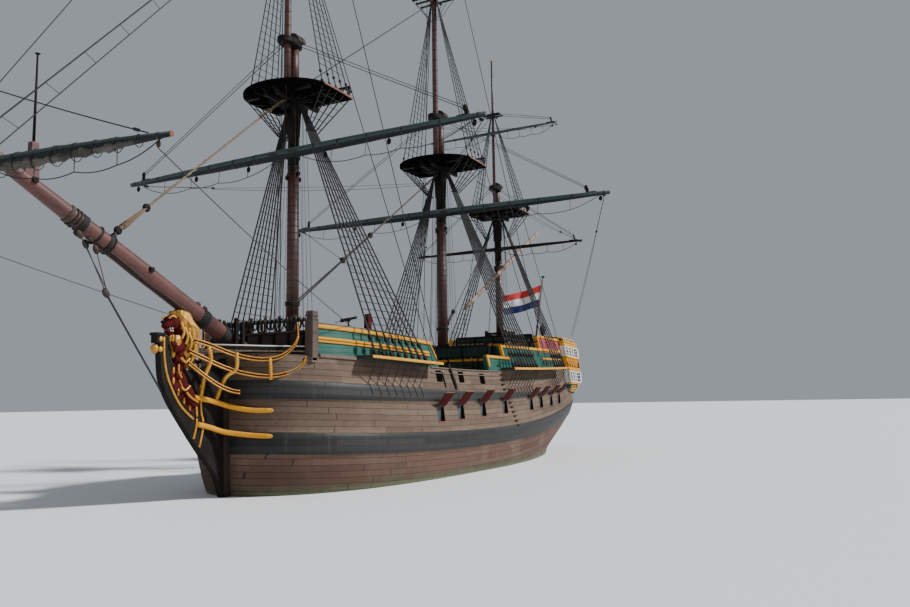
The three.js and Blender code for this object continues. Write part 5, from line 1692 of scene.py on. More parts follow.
@dataclass
class Head:
    """The knee of the head with its cheeks, the head rails and the beakhead platform."""

    half: float = 0.17
    cutwater: tuple = ((24.05, 7.55), (23.95, 6.7), (23.8, 5.5), (23.3, 4.5), (22.25, 3.16), (21.3, 2.05),
                       (20.5, 1.2), (19.98, 0.1), (19.8, -0.6))
    strip: tuple = ((23.8, 7.4), (23.75, 6.5), (23.55, 5.67), (23.12, 4.86), (22.63, 4.25), (21.95, 3.74))
    back: tuple = ((23.5, 7.4), (23.25, 6.3), (22.3, 5.95), (21.2, 6.1), (19.9, 6.6), (19.7, 4), (19.6, -0.6))
    cheeks: tuple = (
        ((22.0, 0.16, 4.75), (20.94, 0.33, 4.55), (20.16, 0.72, 4.28), (19.58, 1.44, 4.1), (19.0, 2.25, 4.06)),
        ((21.7, 0.16, 3.5), (21.0, 0.32, 3.32), (20.36, 0.62, 3.09), (19.57, 1.45, 2.92), (19.0, 2.25, 2.85)),
    )
    rails: tuple = (
        ((18.12, 3.08, 8.25), (18.1, 3.1, 7.6), (18.3, 2.95, 7.1), (18.79, 2.63, 6.65), (19.37, 2.23, 6.5),
         (20.0, 1.78, 6.54), (20.76, 1.23, 6.77), (21.6, 0.78, 7.12), (22.37, 0.52, 7.32)),
        ((17.8, 3.36, 6.57), (17.93, 3.25, 6.25), (18.2, 3.05, 6.0), (18.66, 2.72, 5.79), (19.36, 2.24, 5.69),
         (20.22, 1.62, 5.83), (20.97, 1.07, 6.11), (21.85, 0.67, 6.51), (22.6, 0.46, 6.82)),
        ((20.35, 1.5, 4.94), (20.74, 1.24, 5.04), (21.26, 0.93, 5.32), (21.96, 0.62, 5.83), (22.6, 0.44, 6.3)),
    )
    timbers: tuple = (
        ((21.64, 0.76, 7.05), (21.54, 0.8, 6.43), (21.75, 0.66, 5.69), (21.6, 0.28, 4.74)),
        ((20.5, 1.42, 6.8), (20.52, 1.4, 6.02), (20.85, 1.05, 5.6), (20.75, 0.42, 4.6)),
        ((19.23, 2.33, 6.55), (19.18, 2.37, 5.5)),
    )

    def build(self, yard: Yard) -> None:
        """Builds every piece of the head."""
        self.knee(yard)
        self.head_rails(yard)
        self.beakhead(yard)

    def knee(self, yard: Yard) -> None:
        """The knee: black along its edge, gold strips, red trailboard and cheeks."""
        front = smooth_path([(x, 0, z) for x, z in self.cutwater], 5)
        strip = smooth_path([(x, 0, z) for x, z in self.strip], 5)
        rear = [np.array([x, 0, z]) for x, z in self.back]
        outline = [*front, *rear[::-1]]
        shape = Shape().prism([p + [0, -self.half, 0] for p in outline], [0, 0, 0], [0, 2 * self.half, 0], 0)
        for side in SIDES:
            s = np.array([1, side, 1])
            y = self.half + 0.015
            bead = rounded_bar(0.055, 0.05, 0.7)
            shape.sweep((strip + [0, y, 0]) * s, bead, 1)
            inner = smooth_path([(22.75, 0, 5.9), (22.8, 0, 5.45), (22.45, 0, 5.0), (21.97, 0, 4.72),
                                 (21.6, 0, 4.6)], 5)
            shape.sweep((inner + [0, y, 0]) * s, bead, 1)
            for path in (((21.87, 4.74), (21.74, 3.69), (21.93, 2.84)), ((21.56, 5.3), (21.49, 4.12), (21.34, 3.45),
                                                                         (21.56, 2.45))):
                line = smooth_path([(x, self.half + 0.03, z) for x, z in path], 5) * s
                shape.sweep(line, bead, 1)
            board = smooth_path([(23.15, 0, 6.25), (23.33, 0, 5.67), (22.98, 0, 4.95), (22.5, 0, 4.4),
                                 (21.98, 0, 3.98)], 4)
            rows = []
            for k, p in enumerate(board):
                q = inner[min(len(inner) - 1, int(k * len(inner) / len(board)))]
                rows.append([[p[0], side * self.half, p[2]], [p[0], side * (self.half + 0.02), p[2]],
                             [q[0], side * (self.half + 0.02), q[2]], [q[0], side * self.half, q[2]]])
            shape.grid(np.array(rows), 2, smooth=False, ring=True, caps=True, flip=side > 0)
            for k in range(5):
                spot = mix(0.15, 0.9, k / 4) * (len(board) - 1)
                p, q = board[int(spot)], inner[min(len(inner) - 1, int(spot * len(inner) / len(board)))]
                leaf = (p * 0.8 + q * 0.2) * [1, 0, 1] + [0, side * (self.half + 0.02), 0]
                shape.ball(leaf, [0.07, 0.03, 0.16], 1, 5, 8)
            for path in self.cheeks:
                line = smooth_path(path, 5) * s
                shape.sweep(line, rounded_bar(0.13, 0.12, 0.6), 3)
                shape.ball(line[-1], [0.15, 0.15, 0.14], 3, 6, 10)
        shape.box([23.72, -0.19, 7.12], [24.18, 0.19, 7.5], 0)
        shape.box([23.68, -0.22, 7.46], [24.24, 0.22, 7.58], 0)
        shape.ball([24.14, 0, 6.86], [0.17, 0.2, 0.22], 1)
        for side in SIDES:
            shape.ball([23.95, side * 0.18, 7.3], [0.12, 0.05, 0.12], 1, 6, 8)
            shape.ball([23.98, side * 0.2, 6.84], [0.13, 0.07, 0.13], 1, 6, 8)
        yard.piece("knee_dressed", shape, ["black_paint", "gilding", "maroon_paint", "yellow_paint"], Part.MAROON,
                   replaces=["knee_of_head"])

    def head_rails(self, yard: Yard) -> None:
        """The rails with their groove and the timbers that carry them."""
        one = Shape()
        for path in self.rails:
            line = smooth_path(path, 7)
            one.sweep(line, rounded_bar(0.05, 0.085, 0.5), 1)
            side = np.cross(np.gradient(line, axis=0), [0, 0, 1])
            side /= np.maximum(np.linalg.norm(side, axis=1, keepdims=True), 1e-9)
            for lift in (-0.07, 0.07):
                for push in (-0.045, 0.045):
                    one.tube(line + side * push + [0, 0, lift], 0.032, 6, 0)
        for path in self.timbers:
            line = smooth_path(path, 6)
            one.sweep(line, rounded_bar(0.09, 0.075, 0.55), 0, up=(0, 1, 0.2))
        yard.pair("head_rails", one, ["gilding", "maroon_paint"], Part.GOLD)

    def beakhead(self, yard: Yard) -> None:
        """The platform's gratings, the bulkhead with its corner posts and the bowsprit's bed."""
        back = FORE_END + 0.01
        half = float(FORM.half(BREAK["beakhead"], 7.2))
        shape = Shape()
        plan = [(back, half - 0.2), (19.2, 1.7), (21.6, 0.45), (21.6, -0.45), (19.2, -1.7), (back, 0.2 - half)]
        shape.prism([np.array([x, y, 6.88]) for x, y in plan], [0, 0, 0], [0, 0, 0.09], 0)
        for x in np.linspace(back + 0.3, 21.4, 12):
            reach = np.interp(x, [back, 19.2, 21.6], [half - 0.25, 1.66, 0.42])
            shape.box([x - 0.05, -reach, 6.97], [x + 0.05, reach, 7.03], 0)
        for side in SIDES:
            edge = [(back, half - 0.18), (19.2, 1.72), (21.6, 0.47)]
            shape.sweep([(x, side * y, 7.05) for x, y in edge], rounded_bar(0.06, 0.07), 2)
            shape.sweep([(x, side * (y + 0.05), 7.17) for x, y in edge], rounded_bar(0.04, 0.03), 5)
        shape.box([back, -half, 6.9], [BREAK["beakhead"], half, 7.95], 1)
        shape.box([back - 0.05, -half, 7.9], [back + 0.3, half, 8.0], 1)
        for y in np.linspace(-half + 0.7, half - 0.7, 7):
            shape.box([BREAK["beakhead"] - 0.02, y - 0.08, 7.0], [BREAK["beakhead"] + 0.08, y + 0.08, 7.9], 2)
        for side in SIDES:
            y = side * (half - 0.12)
            for low, high, out in ((6.45, 8.5, 0.24), (8.46, 8.52, 0.27), (8.5, 8.68, 0.19), (8.66, 8.74, 0.24),
                                   (8.74, 8.9, 0.21), (8.88, 8.93, 0.16)):
                shape.box([back, y - out, low], [back + 0.24 + out, y + out, high], 4)
            shape.box([back - 0.6, side * (half - 0.16) - 0.12, 6.36],
                      [back + 0.5, side * (half + 0.02) + 0.1, 6.6], 3)
        shape.box([19.2, -0.5, 6.9], [19.6, 0.5, 7.2], 2)
        for dx, z in ((0.0, 7.62), (0.45, 7.8)):
            for side in SIDES:
                shape.box([19.1 + dx, side * 0.56 - 0.08, 6.95], [19.28 + dx, side * 0.56 + 0.08, z + 0.75], 2)
        finishes = ["deck_planking", "dark_oak", "black_paint", "grey_planks", "post_oak", "white_paint"]
        yard.piece("beakhead_dressed", shape, finishes, Part.OAK, replaces=["beakhead"], bevel=0.02)


@dataclass
class Lion:
    """The figurehead: a lion leaning on the knee, its mane gilded and its body red."""

    voxel: float = 0.045
    collar: tuple = (
        (((23.2, 0.3, 8.3), (23.4, 0.28, 8.36), (23.55, 0.2, 8.25)), 0.05),
        (((23.0, 0.42, 6.5), (22.7, 0.42, 6.3), (22.45, 0.4, 6.5)), 0.06),
        (((22.9, 0.38, 5.2), (22.65, 0.38, 5.05), (22.35, 0.36, 5.25)), 0.05),
        (((23.0, 0.3, 6.2), (23.02, 0.33, 5.9), (22.85, 0.34, 5.6)), 0.05),
        (((22.6, 0.4, 4.95), (22.3, 0.42, 4.7), (21.9, 0.42, 4.5)), 0.05),
    )

    def fused(self, yard: Yard, name: str, masses: list[tuple], finish: str, rough: float = 0.02) -> Shape:
        """Melts rounded masses into one carved form.

        Args:
            yard: where pieces are made.
            name: name of the working mesh.
            masses: centre, half sizes and turn about Y in degrees of each.
            finish: its finish.
            rough: depth of the carver's hollows.

        Returns:
            The form as a shape.
        """
        shape = Shape()
        for centre, sizes, pitch in masses:
            turn = np.eye(4)
            turn[:3, :3] = np.array(Matrix.Rotation(math.radians(pitch), 3, "Y"))
            shape.ball(centre, sizes, 0, 8, 12, turn)
        obj = yard.mesh(name, shape, [finish])
        melt = obj.modifiers.new("melt", "REMESH")
        melt.mode, melt.voxel_size = "VOXEL", self.voxel * SCALE
        soft = obj.modifiers.new("soft", "SMOOTH")
        soft.factor, soft.iterations = 0.6, 4
        data = bpy.data.meshes.new_from_object(obj.evaluated_get(bpy.context.evaluated_depsgraph_get()))
        verts = np.array([v.co for v in data.vertices]) / SCALE
        faces = [tuple(p.vertices) for p in data.polygons]
        bpy.data.objects.remove(obj)
        wave = np.sin(verts @ [9, 17, 6]) * np.sin(verts @ [-13, 7, 11])
        centre = verts.mean(0)
        outward = (verts - centre) / np.linalg.norm(verts - centre, axis=1, keepdims=True)
        return Shape().add(verts + outward * wave[:, None] * rough, faces, 0, True)

    def build(self, yard: Yard) -> None:
        """Builds the body, the mane and the small carving on them."""
        body = [
            ((23.1, 0, 8.1), (0.42, 0.36, 0.4), 0), ((23.45, 0, 7.98), (0.3, 0.25, 0.2), 25),
            ((23.38, 0, 7.62), (0.22, 0.2, 0.1), -25), ((22.75, 0, 7.2), (0.38, 0.38, 0.7), -12),
            ((22.78, 0, 6.35), (0.34, 0.34, 0.75), -8), ((22.62, 0, 5.5), (0.34, 0.3, 0.68), 18),
            ((22.25, 0.26, 4.85), (0.26, 0.15, 0.55), 30), ((22.25, -0.26, 4.85), (0.26, 0.15, 0.55), 30),
            ((21.95, 0.28, 4.42), (0.3, 0.13, 0.13), 10), ((21.95, -0.28, 4.42), (0.3, 0.13, 0.13), 10),
            ((22.95, 0.3, 6.95), (0.45, 0.15, 0.17), 25), ((22.95, -0.3, 6.95), (0.45, 0.15, 0.17), 25),
            ((23.3, 0.3, 7.1), (0.17, 0.13, 0.13), 0), ((23.3, -0.3, 7.1), (0.17, 0.13, 0.13), 0),
        ]
        figure = self.fused(yard, "lion_body_form", body, "maroon_paint")
        gold = Shape()
        mane = [
            ((22.62, 0, 8.25), (0.48, 0.5, 0.5), 0), ((22.35, 0, 7.8), (0.45, 0.54, 0.55), 0),
            ((22.3, 0, 7.2), (0.4, 0.5, 0.6), 0), ((22.45, 0, 6.75), (0.32, 0.44, 0.35), 0),
            ((22.9, 0, 8.5), (0.32, 0.34, 0.2), 20), ((22.3, 0, 6.45), (0.24, 0.36, 0.35), 0),
            ((23.22, 0, 7.38), (0.15, 0.24, 0.22), -10), ((23.05, 0.26, 7.25), (0.2, 0.14, 0.3), 0),
            ((23.05, -0.26, 7.25), (0.2, 0.14, 0.3), 0), ((23.16, 0, 6.72), (0.13, 0.24, 0.26), 0),
        ]
        gold.join(self.fused(yard, "lion_mane_form", mane, "gilding", 0.045))
        for side in SIDES:
            for a in np.linspace(0, 1, 9):
                start = np.array([22.95 - 0.35 * a, side * (0.3 + 0.16 * a), 8.62 - 0.55 * a])
                mid = start + [-0.45, side * 0.12, -0.35]
                tip = np.array([22.35 - 0.25 * math.sin(3 * a), side * (0.5 - 0.05 * a), 7.5 - 0.95 * a])
                end = tip + [0.12, 0.02 * side, -0.25]
                path = smooth_path([start, mid, tip, end], 6)
                size = np.sin(np.linspace(0.5, 3.0, len(path))) * 0.085 + 0.015
                gold.tube(path, size, 6, 0)
            gold.ball([22.95, side * 0.34, 8.52], [0.12, 0.08, 0.15], 0)
            tufts = [(np.array(path), r) for path, r in self.collar]
            for k in range(3):
                tufts.append((np.array([(23.3 - 0.06 * k, 0.08 + 0.1 * k, 7.5),
                                        (23.36 - 0.08 * k, 0.1 + 0.11 * k, 7.2),
                                        (23.2 - 0.05 * k, 0.06 + 0.1 * k, 6.9)]), 0.055))
            for k in range(4):
                curl = [(22.98, 0.36, 8.1 - 0.2 * k), (22.86, 0.44, 7.7 - 0.22 * k), (22.95, 0.4, 7.35 - 0.24 * k)]
                tufts.append((np.array(curl) + [-0.2 * k, 0.03 * k, 0], 0.065))
            for path, r in tufts:
                gold.tube(smooth_path(path * [1, side, 1], 5), r, 6, 0)
        gold.marks = [1] * len(gold.faces)
        figure.join(gold)
        for side in SIDES:
            figure.ball([23.42, side * 0.2, 8.24], [0.07, 0.06, 0.07], 2)
            for k in range(3):
                figure.ball([23.5 - 0.1 * k, side * (0.1 + 0.04 * k), 7.82], [0.03, 0.03, 0.06], 3)
                figure.ball([23.46 - 0.1 * k, side * (0.1 + 0.03 * k), 7.7], [0.03, 0.03, 0.05], 3)
        figure.ball([23.72, 0, 8.08], [0.06, 0.12, 0.08], 2)
        figure.ball([23.42, 0, 7.72], [0.2, 0.1, 0.05], 4)
        yard.piece("lion_figurehead", figure,
                   ["maroon_paint", "gilding", "black_paint", "white_paint", "rose_paint"],
                   Part.GOLD, replaces=["figurehead"])


# Spars.


@dataclass
class Masts:
    """The lower masts with their caps, tops and topmasts."""

    ring_step: float = 0.38
    paint_from: tuple = (("fore", 17.4), ("main", 17.4), ("mizzen", 15.9))

    def build(self, yard: Yard) -> None:
        """Builds each mast from the deck up."""
        for mast in (FORE, MAIN, MIZZEN):
            self.lower(yard, mast)
            self.top(yard, mast)
            self.topmast(yard, mast)

    def lower(self, yard: Yard, m: Stick) -> None:
        """The lower mast: varnished below, black at the hounds, with bands and hoops."""
        shape = Shape()
        low, high = m.foot + 0.01, m.head
        black_from = dict(self.paint_from)[m.name]
        shape.spar([m.x, 0, low], [m.x, 0, black_from],
                   [(0, m.r0), (black_from - low, m.radius(black_from))], 28, 0)
        shape.spar([m.x, 0, black_from], [m.x, 0, m.top_z + 0.5], [
            (0, m.radius(black_from) + 0.01), (m.top_z + 0.5 - black_from, m.radius(m.top_z) + 0.01)], 28, 1)
        shape.spar([m.x, 0, m.top_z + 0.4], [m.x, 0, high], [
            (0, m.radius(m.top_z)), (high - m.top_z - 0.4, m.r1)], 28, 0)
        for z in np.arange(low + 0.9, black_from - 0.15, self.ring_step):
            r = m.radius(z)
            shape.spar([m.x, 0, z - 0.014], [m.x, 0, z + 0.014], [(0, r + 0.012), (0.028, r + 0.012)], 28, 3)
        for z in (black_from, m.top_z + 0.5):
            r = m.radius(z) + 0.03
            shape.spar([m.x, 0, z - 0.07], [m.x, 0, z + 0.07], [(0, r), (0.14, r)], 28, 2)
        for k in range(6):
            a = 0.5 + 1.05 * k
            r = m.radius(black_from - 0.3) + 0.08
            place = [m.x + r * math.cos(a), r * math.sin(a), black_from - 0.15 - 0.25 * (k % 3)]
            shape.ball(place, [0.08, 0.08, 0.15], 1, 6, 8)
        shape.spar([m.x, 0, low], [m.x, 0, low + 0.3], [(0, m.r0 + 0.1), (0.12, m.r0 + 0.1), (0.3, m.r0 + 0.02)],
                   28, 1)
        self.cheeks(shape, m)
        self.cap(shape, m)
        yard.piece(f"{m.name}_lower_mast", shape, ["mast_varnish", "black_paint", "black_iron", "dark_oak"],
                   Part.MAST, replaces=[f"{m.name}_mast"])

    def cheeks(self, shape: Shape, m: Stick) -> None:
        """The hounds: cheeks and bibs under the trestle trees."""
        for side in SIDES:
            y = side * (m.radius(m.top_z) + 0.03)
            outline = [np.array([m.x + dx, y - side * 0.12, m.top_z - 0.42 + dz]) for dx, dz in
                       ((-0.28, 0), (0.5, 0), (0.42, -0.35), (0.24, -0.75), (0.14, -1.9), (-0.1, -1.9),
                        (-0.18, -0.8))]
            shape.prism(outline, [0, 0, 0], [0, side * 0.16, 0], 1)

    def cap(self, shape: Shape, m: Stick) -> None:
        """The cap: an oval block with a dome over the lower masthead and grooves for the ties."""
        size = m.r1 / FORE.r1
        centre = (m.x + m.topmast_x) / 2 + 0.1
        a = np.linspace(0, 2 * np.pi, 32, endpoint=False)
        rows = []
        for z, grow in ((-0.3, 0.9), (-0.26, 1.0), (-0.02, 1.0), (0.05, 0.92)):
            rows.append(np.stack([centre + 0.9 * size * grow * np.cos(a), 0.5 * size * grow * np.sin(a),
                                  np.full(32, m.head + z * (size if z < 0 else 1))], 1))
        shape.grid(np.array(rows), 1, smooth=False, ring=True, caps=True)
        b = np.linspace(0, np.pi, 20)
        rows = []
        for dx, grow in ((-0.42, 0.9), (-0.38, 1), (-0.12, 1), (-0.08, 0.93), (0.0, 0.93), (0.04, 1), (0.24, 1),
                         (0.28, 0.9)):
            r = 0.52 * size * grow
            rows.append(np.stack([np.full(20, m.x + dx * size), r * np.cos(b), m.head + r * np.sin(b)], 1))
        shape.grid(np.array(rows), 3, smooth=False, ring=True, caps=True)

    @staticmethod
    def outline(m: Stick, share: float) -> np.ndarray:
        """Plan of the top from its fore point round the port side to its after edge."""
        r, side = m.top_r, []
        for a in np.radians(np.linspace(0.5, 90, 17)):
            side.append((0.15 * r + 0.78 * r * math.cos(a), r * math.sin(a)))
        side += [(-0.26 * r, 0.99 * r), (-0.68 * r, 0.97 * r), (-0.68 * r, 0.3 * r)]
        p = np.array(side)
        return np.stack([m.x + 0.3 + (p[:, 0] - 0.3) * share, p[:, 1] * share], 1)

    @staticmethod
    def hole_rim(m: Stick, ring: np.ndarray, z: float) -> list[list[float]]:
        """The lubber's hole at a height, with a point opposite each corner of a ring round it."""
        y, centre = m.radius(m.top_z), m.x + 0.3
        hole = np.array([[m.x - 0.5, y], [m.topmast_x + 0.3, y], [m.topmast_x + 0.3, -y], [m.x - 0.5, -y]])
        rim = []
        for a in np.arctan2(ring[:, 1], ring[:, 0] - centre):
            d = np.array([math.cos(a), math.sin(a)])
            reach = []
            for p, q in zip(hole - [centre, 0], np.roll(hole, -1, 0) - [centre, 0]):
                e = q - p
                den = d[0] * e[1] - d[1] * e[0]
                if abs(den) > 1e-9:
                    t, u = (p[0] * e[1] - p[1] * e[0]) / den, (p[0] * d[1] - p[1] * d[0]) / den
                    if t > 0 and -1e-6 <= u <= 1 + 1e-6:
                        reach.append(t)
            rim.append([centre + d[0] * min(reach), d[1] * min(reach), z])
        return rim

    def top(self, yard: Yard, m: Stick) -> None:
        """The top: a planked bowl with a rim, battens below and the lubber's hole."""
        shape = Shape()
        levels = ((0.05, 0.5), (-0.34, 0.5), (-0.12, 0.86), (0.0, 0.985), (0.0, 1.0), (0.14, 1.0), (0.14, 0.94),
                  (0.08, 0.93), (0.08, 0.5))
        rows = []
        for dz, share in levels:
            side = self.outline(m, share)
            z = np.full(len(side), m.top_z + dz)
            port = np.stack([side[:, 0], side[:, 1], z], 1)
            rows.append(np.concatenate([port, (port * [1, -1, 1])[::-1]]))
        rings = np.array(rows)
        for k in range(1, 8):
            shape.grid(rings[k : k + 2], 3 if k == 7 else 0, smooth=False, ring=True)
        low, high = self.hole_rim(m, rings[1], m.top_z - 0.34), self.hole_rim(m, rings[8], m.top_z + 0.08)
        shape.grid(np.array([low, rings[1]]), 0, smooth=False, ring=True, flip=True)
        shape.grid(np.array([high, rings[8]]), 3, smooth=False, ring=True)
        shape.grid(np.array([low, high]), 0, smooth=False, ring=True, flip=True)
        for a in np.radians(np.linspace(-118, 118, 14)):
            reach = m.top_r * (0.92 if abs(a) > 1.2 else 0.86)
            start = np.array([m.x + 0.4 + 0.55 * math.cos(a), 0.5 * math.sin(a), m.top_z - 0.4])
            end = np.array([m.x + 0.1 + reach * 0.9 * math.cos(a), reach * math.sin(a), m.top_z - 0.08])
            shape.sweep([start, (start + end) / 2 - [0, 0, 0.02], end], rounded_bar(0.045, 0.05), 1, smooth=False)
        for side in SIDES:
            y = side * (m.radius(m.top_z - 0.4) + 0.1)
            shape.box([m.x - 0.6 * m.top_r, y - 0.1, m.top_z - 0.42],
                      [m.x + 0.72 * m.top_r, y + 0.1, m.top_z - 0.1], 1)
        for f in (-0.42, 0.5):
            shape.box([m.x + f * m.top_r - 0.1, -0.8 * m.top_r, m.top_z - 0.24],
                      [m.x + f * m.top_r + 0.1, 0.8 * m.top_r, m.top_z - 0.05], 1)
        for side in SIDES:
            r = m.top_r
            edge = [(0.3 * r, 0.995 * r), (-0.26 * r, 0.995 * r), (-0.68 * r, 0.975 * r)]
            shape.sweep([(m.x + x, side * y, m.top_z + 0.075) for x, y in edge], rounded_bar(0.03, 0.055), 2,
                        smooth=False)
        self.after_rail(shape, m)
        yard.piece(f"{m.name}_fighting_top", shape, ["port_dark", "black_paint", "rose_top", "grey_planks"],
                   Part.BLACK, replaces=[f"{m.name}_top"])

    def after_rail(self, shape: Shape, m: Stick) -> None:
        """The rail across the after edge of the top, with short cranes at the corners."""
        x, z = m.x - 0.66 * m.top_r, m.top_z + 0.14
        for y in np.linspace(-0.9, 0.9, 5) * m.top_r:
            shape.box([x - 0.05, y - 0.05, z - 0.1], [x + 0.05, y + 0.05, z + 0.62], 1)
        shape.box([x - 0.07, -0.93 * m.top_r, z + 0.56], [x + 0.07, 0.93 * m.top_r, z + 0.68], 1)
        for side in SIDES:
            y = side * 0.9 * m.top_r
            shape.box([x, y - 0.06, z], [x + 0.12, y + 0.06, z + 0.42], 1)
            shape.box([x - 0.25, y - 0.05, z + 0.36], [x + 0.45, y + 0.05, z + 0.46], 1)

    def topmast(self, yard: Yard, m: Stick) -> None:
        """The topmast above, its crosstrees and, but for the mizzen, the pole above its cap."""
        x, shape = m.topmast_x, Shape()
        top = m.top_head or m.pole_top
        shape.spar([x, 0, m.heel], [x, 0, top], [(t * (top - m.heel), m.topmast_r(m.heel + t * (top - m.heel)))
                                                for t in (0, 0.25, 0.5, 0.75, 1)], 24, 0)
        shape.spar([x, 0, m.heel - 0.002], [x, 0, m.top_z - 0.3], [
            (0, m.topmast_r(m.heel) + 0.004), (m.top_z - 0.298 - m.heel, m.topmast_r(m.top_z) + 0.005)], 24, 1)
        for z in np.arange(m.top_z + 0.8, top - 1.0, 0.8):
            r = m.topmast_r(z) + 0.008
            shape.spar([x, 0, z - 0.012], [x, 0, z + 0.012], [(0, r), (0.024, r)], 24, 1)
        fid_y, fid_z = m.radius(m.top_z) + 0.2, m.top_z + 0.142
        shape.box([x - 0.07, -fid_y, fid_z], [x + 0.07, fid_y, fid_z + 0.16], 2)
        span, reach = (1.5, 0.75) if m.top_head else (0.8, 0.45)
        z = m.cross
        for side in SIDES:
            shape.box([x - reach, side * 0.2 - 0.05, z - 0.12], [x + reach, side * 0.2 + 0.05, z + 0.02], 1)
        for dx in (-reach * 0.8, 0.1, reach * 0.9):
            shape.box([x + dx - 0.06, -span, z], [x + dx + 0.06, span, z + 0.1], 1)
        if m.top_head:
            gallant = x + m.top_radius + 0.2
            shape.box([x - 0.22, -0.2, top - 0.15], [gallant + 0.2, 0.2, top + 0.1], 1)
            shape.spar([gallant, 0, z - 0.3], [gallant, 0, m.pole_top], [(0, 0.15), (m.pole_top - z + 0.3, 0.07)],
                       16, 0)
            shape.box([x, -0.15, z - 0.12], [gallant, 0.15, z], 1)
            shape.ball([gallant, 0, m.pole_top - 0.05], [0.14, 0.14, 0.06], 3, 6, 12)
        else:
            shape.spar([x, 0, z - 0.4], [x, 0, z + 0.5],
                       [(0, m.topmast_r(z) + 0.006), (0.9, m.topmast_r(z) + 0.004)], 24, 1)
            shape.ball([x, 0, m.pole_top - 0.06], [0.13, 0.13, 0.06], 3, 6, 12)
        yard.piece(f"{m.name}_upper_mast", shape, ["mast_varnish", "black_paint", "black_iron", "gilding"],
                   Part.MAST, replaces=[f"{m.name}_topmast"])


@dataclass
class Bowsprit:
    """The bowsprit with its bands, gammoning, knee and jackstaff."""

    jack_x: float = 30.3
    jack_base: float = 13.1
    knee_top: float = 14.5
    jack_top: float = 18.1
    bobstay_heart: tuple = (26.77, 0.0, 9.04)
    bobstay_foot: tuple = (23.68, 0.0, 4.97)

    @staticmethod
    def at(s: float, down: float = 0.0, out: float = 0.0) -> np.ndarray:
        """A point a distance along the bowsprit, below its axis and to port."""
        return BOWSPRIT_ROOT + BOWSPRIT_RUN * s + BOWSPRIT_DOWN * down + np.array([0, out, 0])

    def ring(self, shape: Shape, s: float, width: float, out: float, mark: int) -> None:
        """A band round the bowsprit."""
        r0, r1 = bowsprit_radius(s) + out, bowsprit_radius(s + width) + out
        shape.spar(self.at(s), self.at(s + width), [(0, r0), (width, r1)], 24, mark)

    def build(self, yard: Yard) -> None:
        """Builds the bowsprit."""
        shape = Shape()
        profile = [(s, bowsprit_radius(s)) for s in np.linspace(0, BOWSPRIT_LENGTH, 10)]
        shape.spar(BOWSPRIT_ROOT, BOWSPRIT_END, profile, 28, 0)
        for s in (2.5, 4.1):
            for k in range(6):
                self.ring(shape, s + k * 0.08, 0.07, 0.035 + 0.01 * (k % 2), 2)
        self.ring(shape, BOWSPRIT_LENGTH - 0.5, 0.42, 0.035, 1)
        x, z0 = self.jack_x, self.jack_base - 0.3
        outline = [(-0.22, 0), (0.5, 0.35), (0.32, 0.7), (0.16, 1.0), (0.14, self.knee_top - z0),
                   (-0.14, self.knee_top - z0), (-0.2, 0.9)]
        shape.prism([np.array([x + dx, -0.13, z0 + dz]) for dx, dz in outline], [0, 0, 0], [0, 0.26, 0], 0)
        shape.box([x - 0.24, -0.2, self.knee_top - 0.5], [x + 0.24, 0.2, self.knee_top - 0.38], 1)
        shape.spar([x, 0, self.knee_top - 0.3], [x, 0, self.jack_top],
                   [(0, 0.06), (self.jack_top - self.knee_top + 0.3, 0.036)], 12, 1)
        shape.ball([x, 0, self.jack_top - 0.03], [0.11, 0.11, 0.03], 1, 6, 12)
        for side in SIDES:
            for s in (8.2, 14.4):
                r = bowsprit_radius(s)
                shape.box(self.at(s, -r * 0.3, side * (r - 0.02)) - [0.1, 0.05, 0.1],
                          self.at(s, -r * 0.3, side * (r + 0.04)) + [0.1, 0.05, 0.1], 1)
        boom = [self.at(s, -bowsprit_radius(s) * 0.75 - 0.05, -0.1) for s in np.linspace(11.7, 14.5, 6)]
        shape.tube(boom, [0.1, 0.12, 0.125, 0.125, 0.12, 0.1], 12, 0)
        yard.piece("bowsprit_dressed", shape, ["bowsprit_varnish", "black_paint", "tarred_hemp"], Part.MAST,
                   replaces=["bowsprit"])
        self.tackles(yard)

    def tackles(self, yard: Yard) -> None:
        """The bobstay with its heart and tackle, the lashings and the ropes led aft under the spar."""
        heart, root = np.array(self.bobstay_heart), np.array(self.bobstay_foot)
        tarred, pale = Cordage(yard, 5), Cordage(yard, 5)
        blocks = Repeats(yard, block_shape(0.42), "dark_oak")
        run = unit(root - heart)
        tarred.line(heart + run * 0.1, root, r=0.045)
        for s, y in ((11.9, 0.16), (11.3, -0.14), (10.9, 0.1)):
            top = self.at(s, bowsprit_radius(s) + 0.05, y)
            (pale if y < 0.12 else tarred).line(top, heart + [0, y * 0.4, 0.1], r=0.022, steps=4)
            blocks.at(top + unit(heart - top) * 0.2, [0, 1, 0], unit(heart - top))
        blocks.at(heart, [0, 1, 0], run, 1.1)
        for k, y in enumerate((0.05, 0.16, 0.26)):
            path = [self.at(s, bowsprit_radius(s) * math.cos(y * 3) + 0.03, y + 0.02 * math.sin(s * 2 + k)) for s in
                    np.linspace(4.3, 10.9 - 0.2 * k, 14)]
            (pale if k != 1 else tarred).line(*path, r=0.028)
        for s in (10.35, 11.65, 11.8, 12.4):
            for k in range(3):
                r = bowsprit_radius(s) + 0.03
                ring = [self.at(s + 0.05 * k + 0.05 * math.sin(a), -r * math.cos(a), r * math.sin(a))
                        for a in np.linspace(0, 2 * np.pi, 17)]
                (pale if s > 12 else tarred).line(*ring, r=0.03)
        for s, down, out in ((11.2, 0.36, 0.14), (12.1, 0.34, 0.1), (11.7, 0.42, -0.12), (10.2, 0.4, 0.12),
                             (4.5, -0.42, 0.2), (4.9, -0.42, 0.12)):
            blocks.at(self.at(s, down, out), [0, 1, 0], BOWSPRIT_RUN, 0.75)
        tarred.rig("bobstay_and_lashings", "tarred_hemp")
        pale.rig("bowsprit_tackles", "brown_hemp")
        blocks.fit("bowsprit_blocks")


# Carved work, stern and galleries.


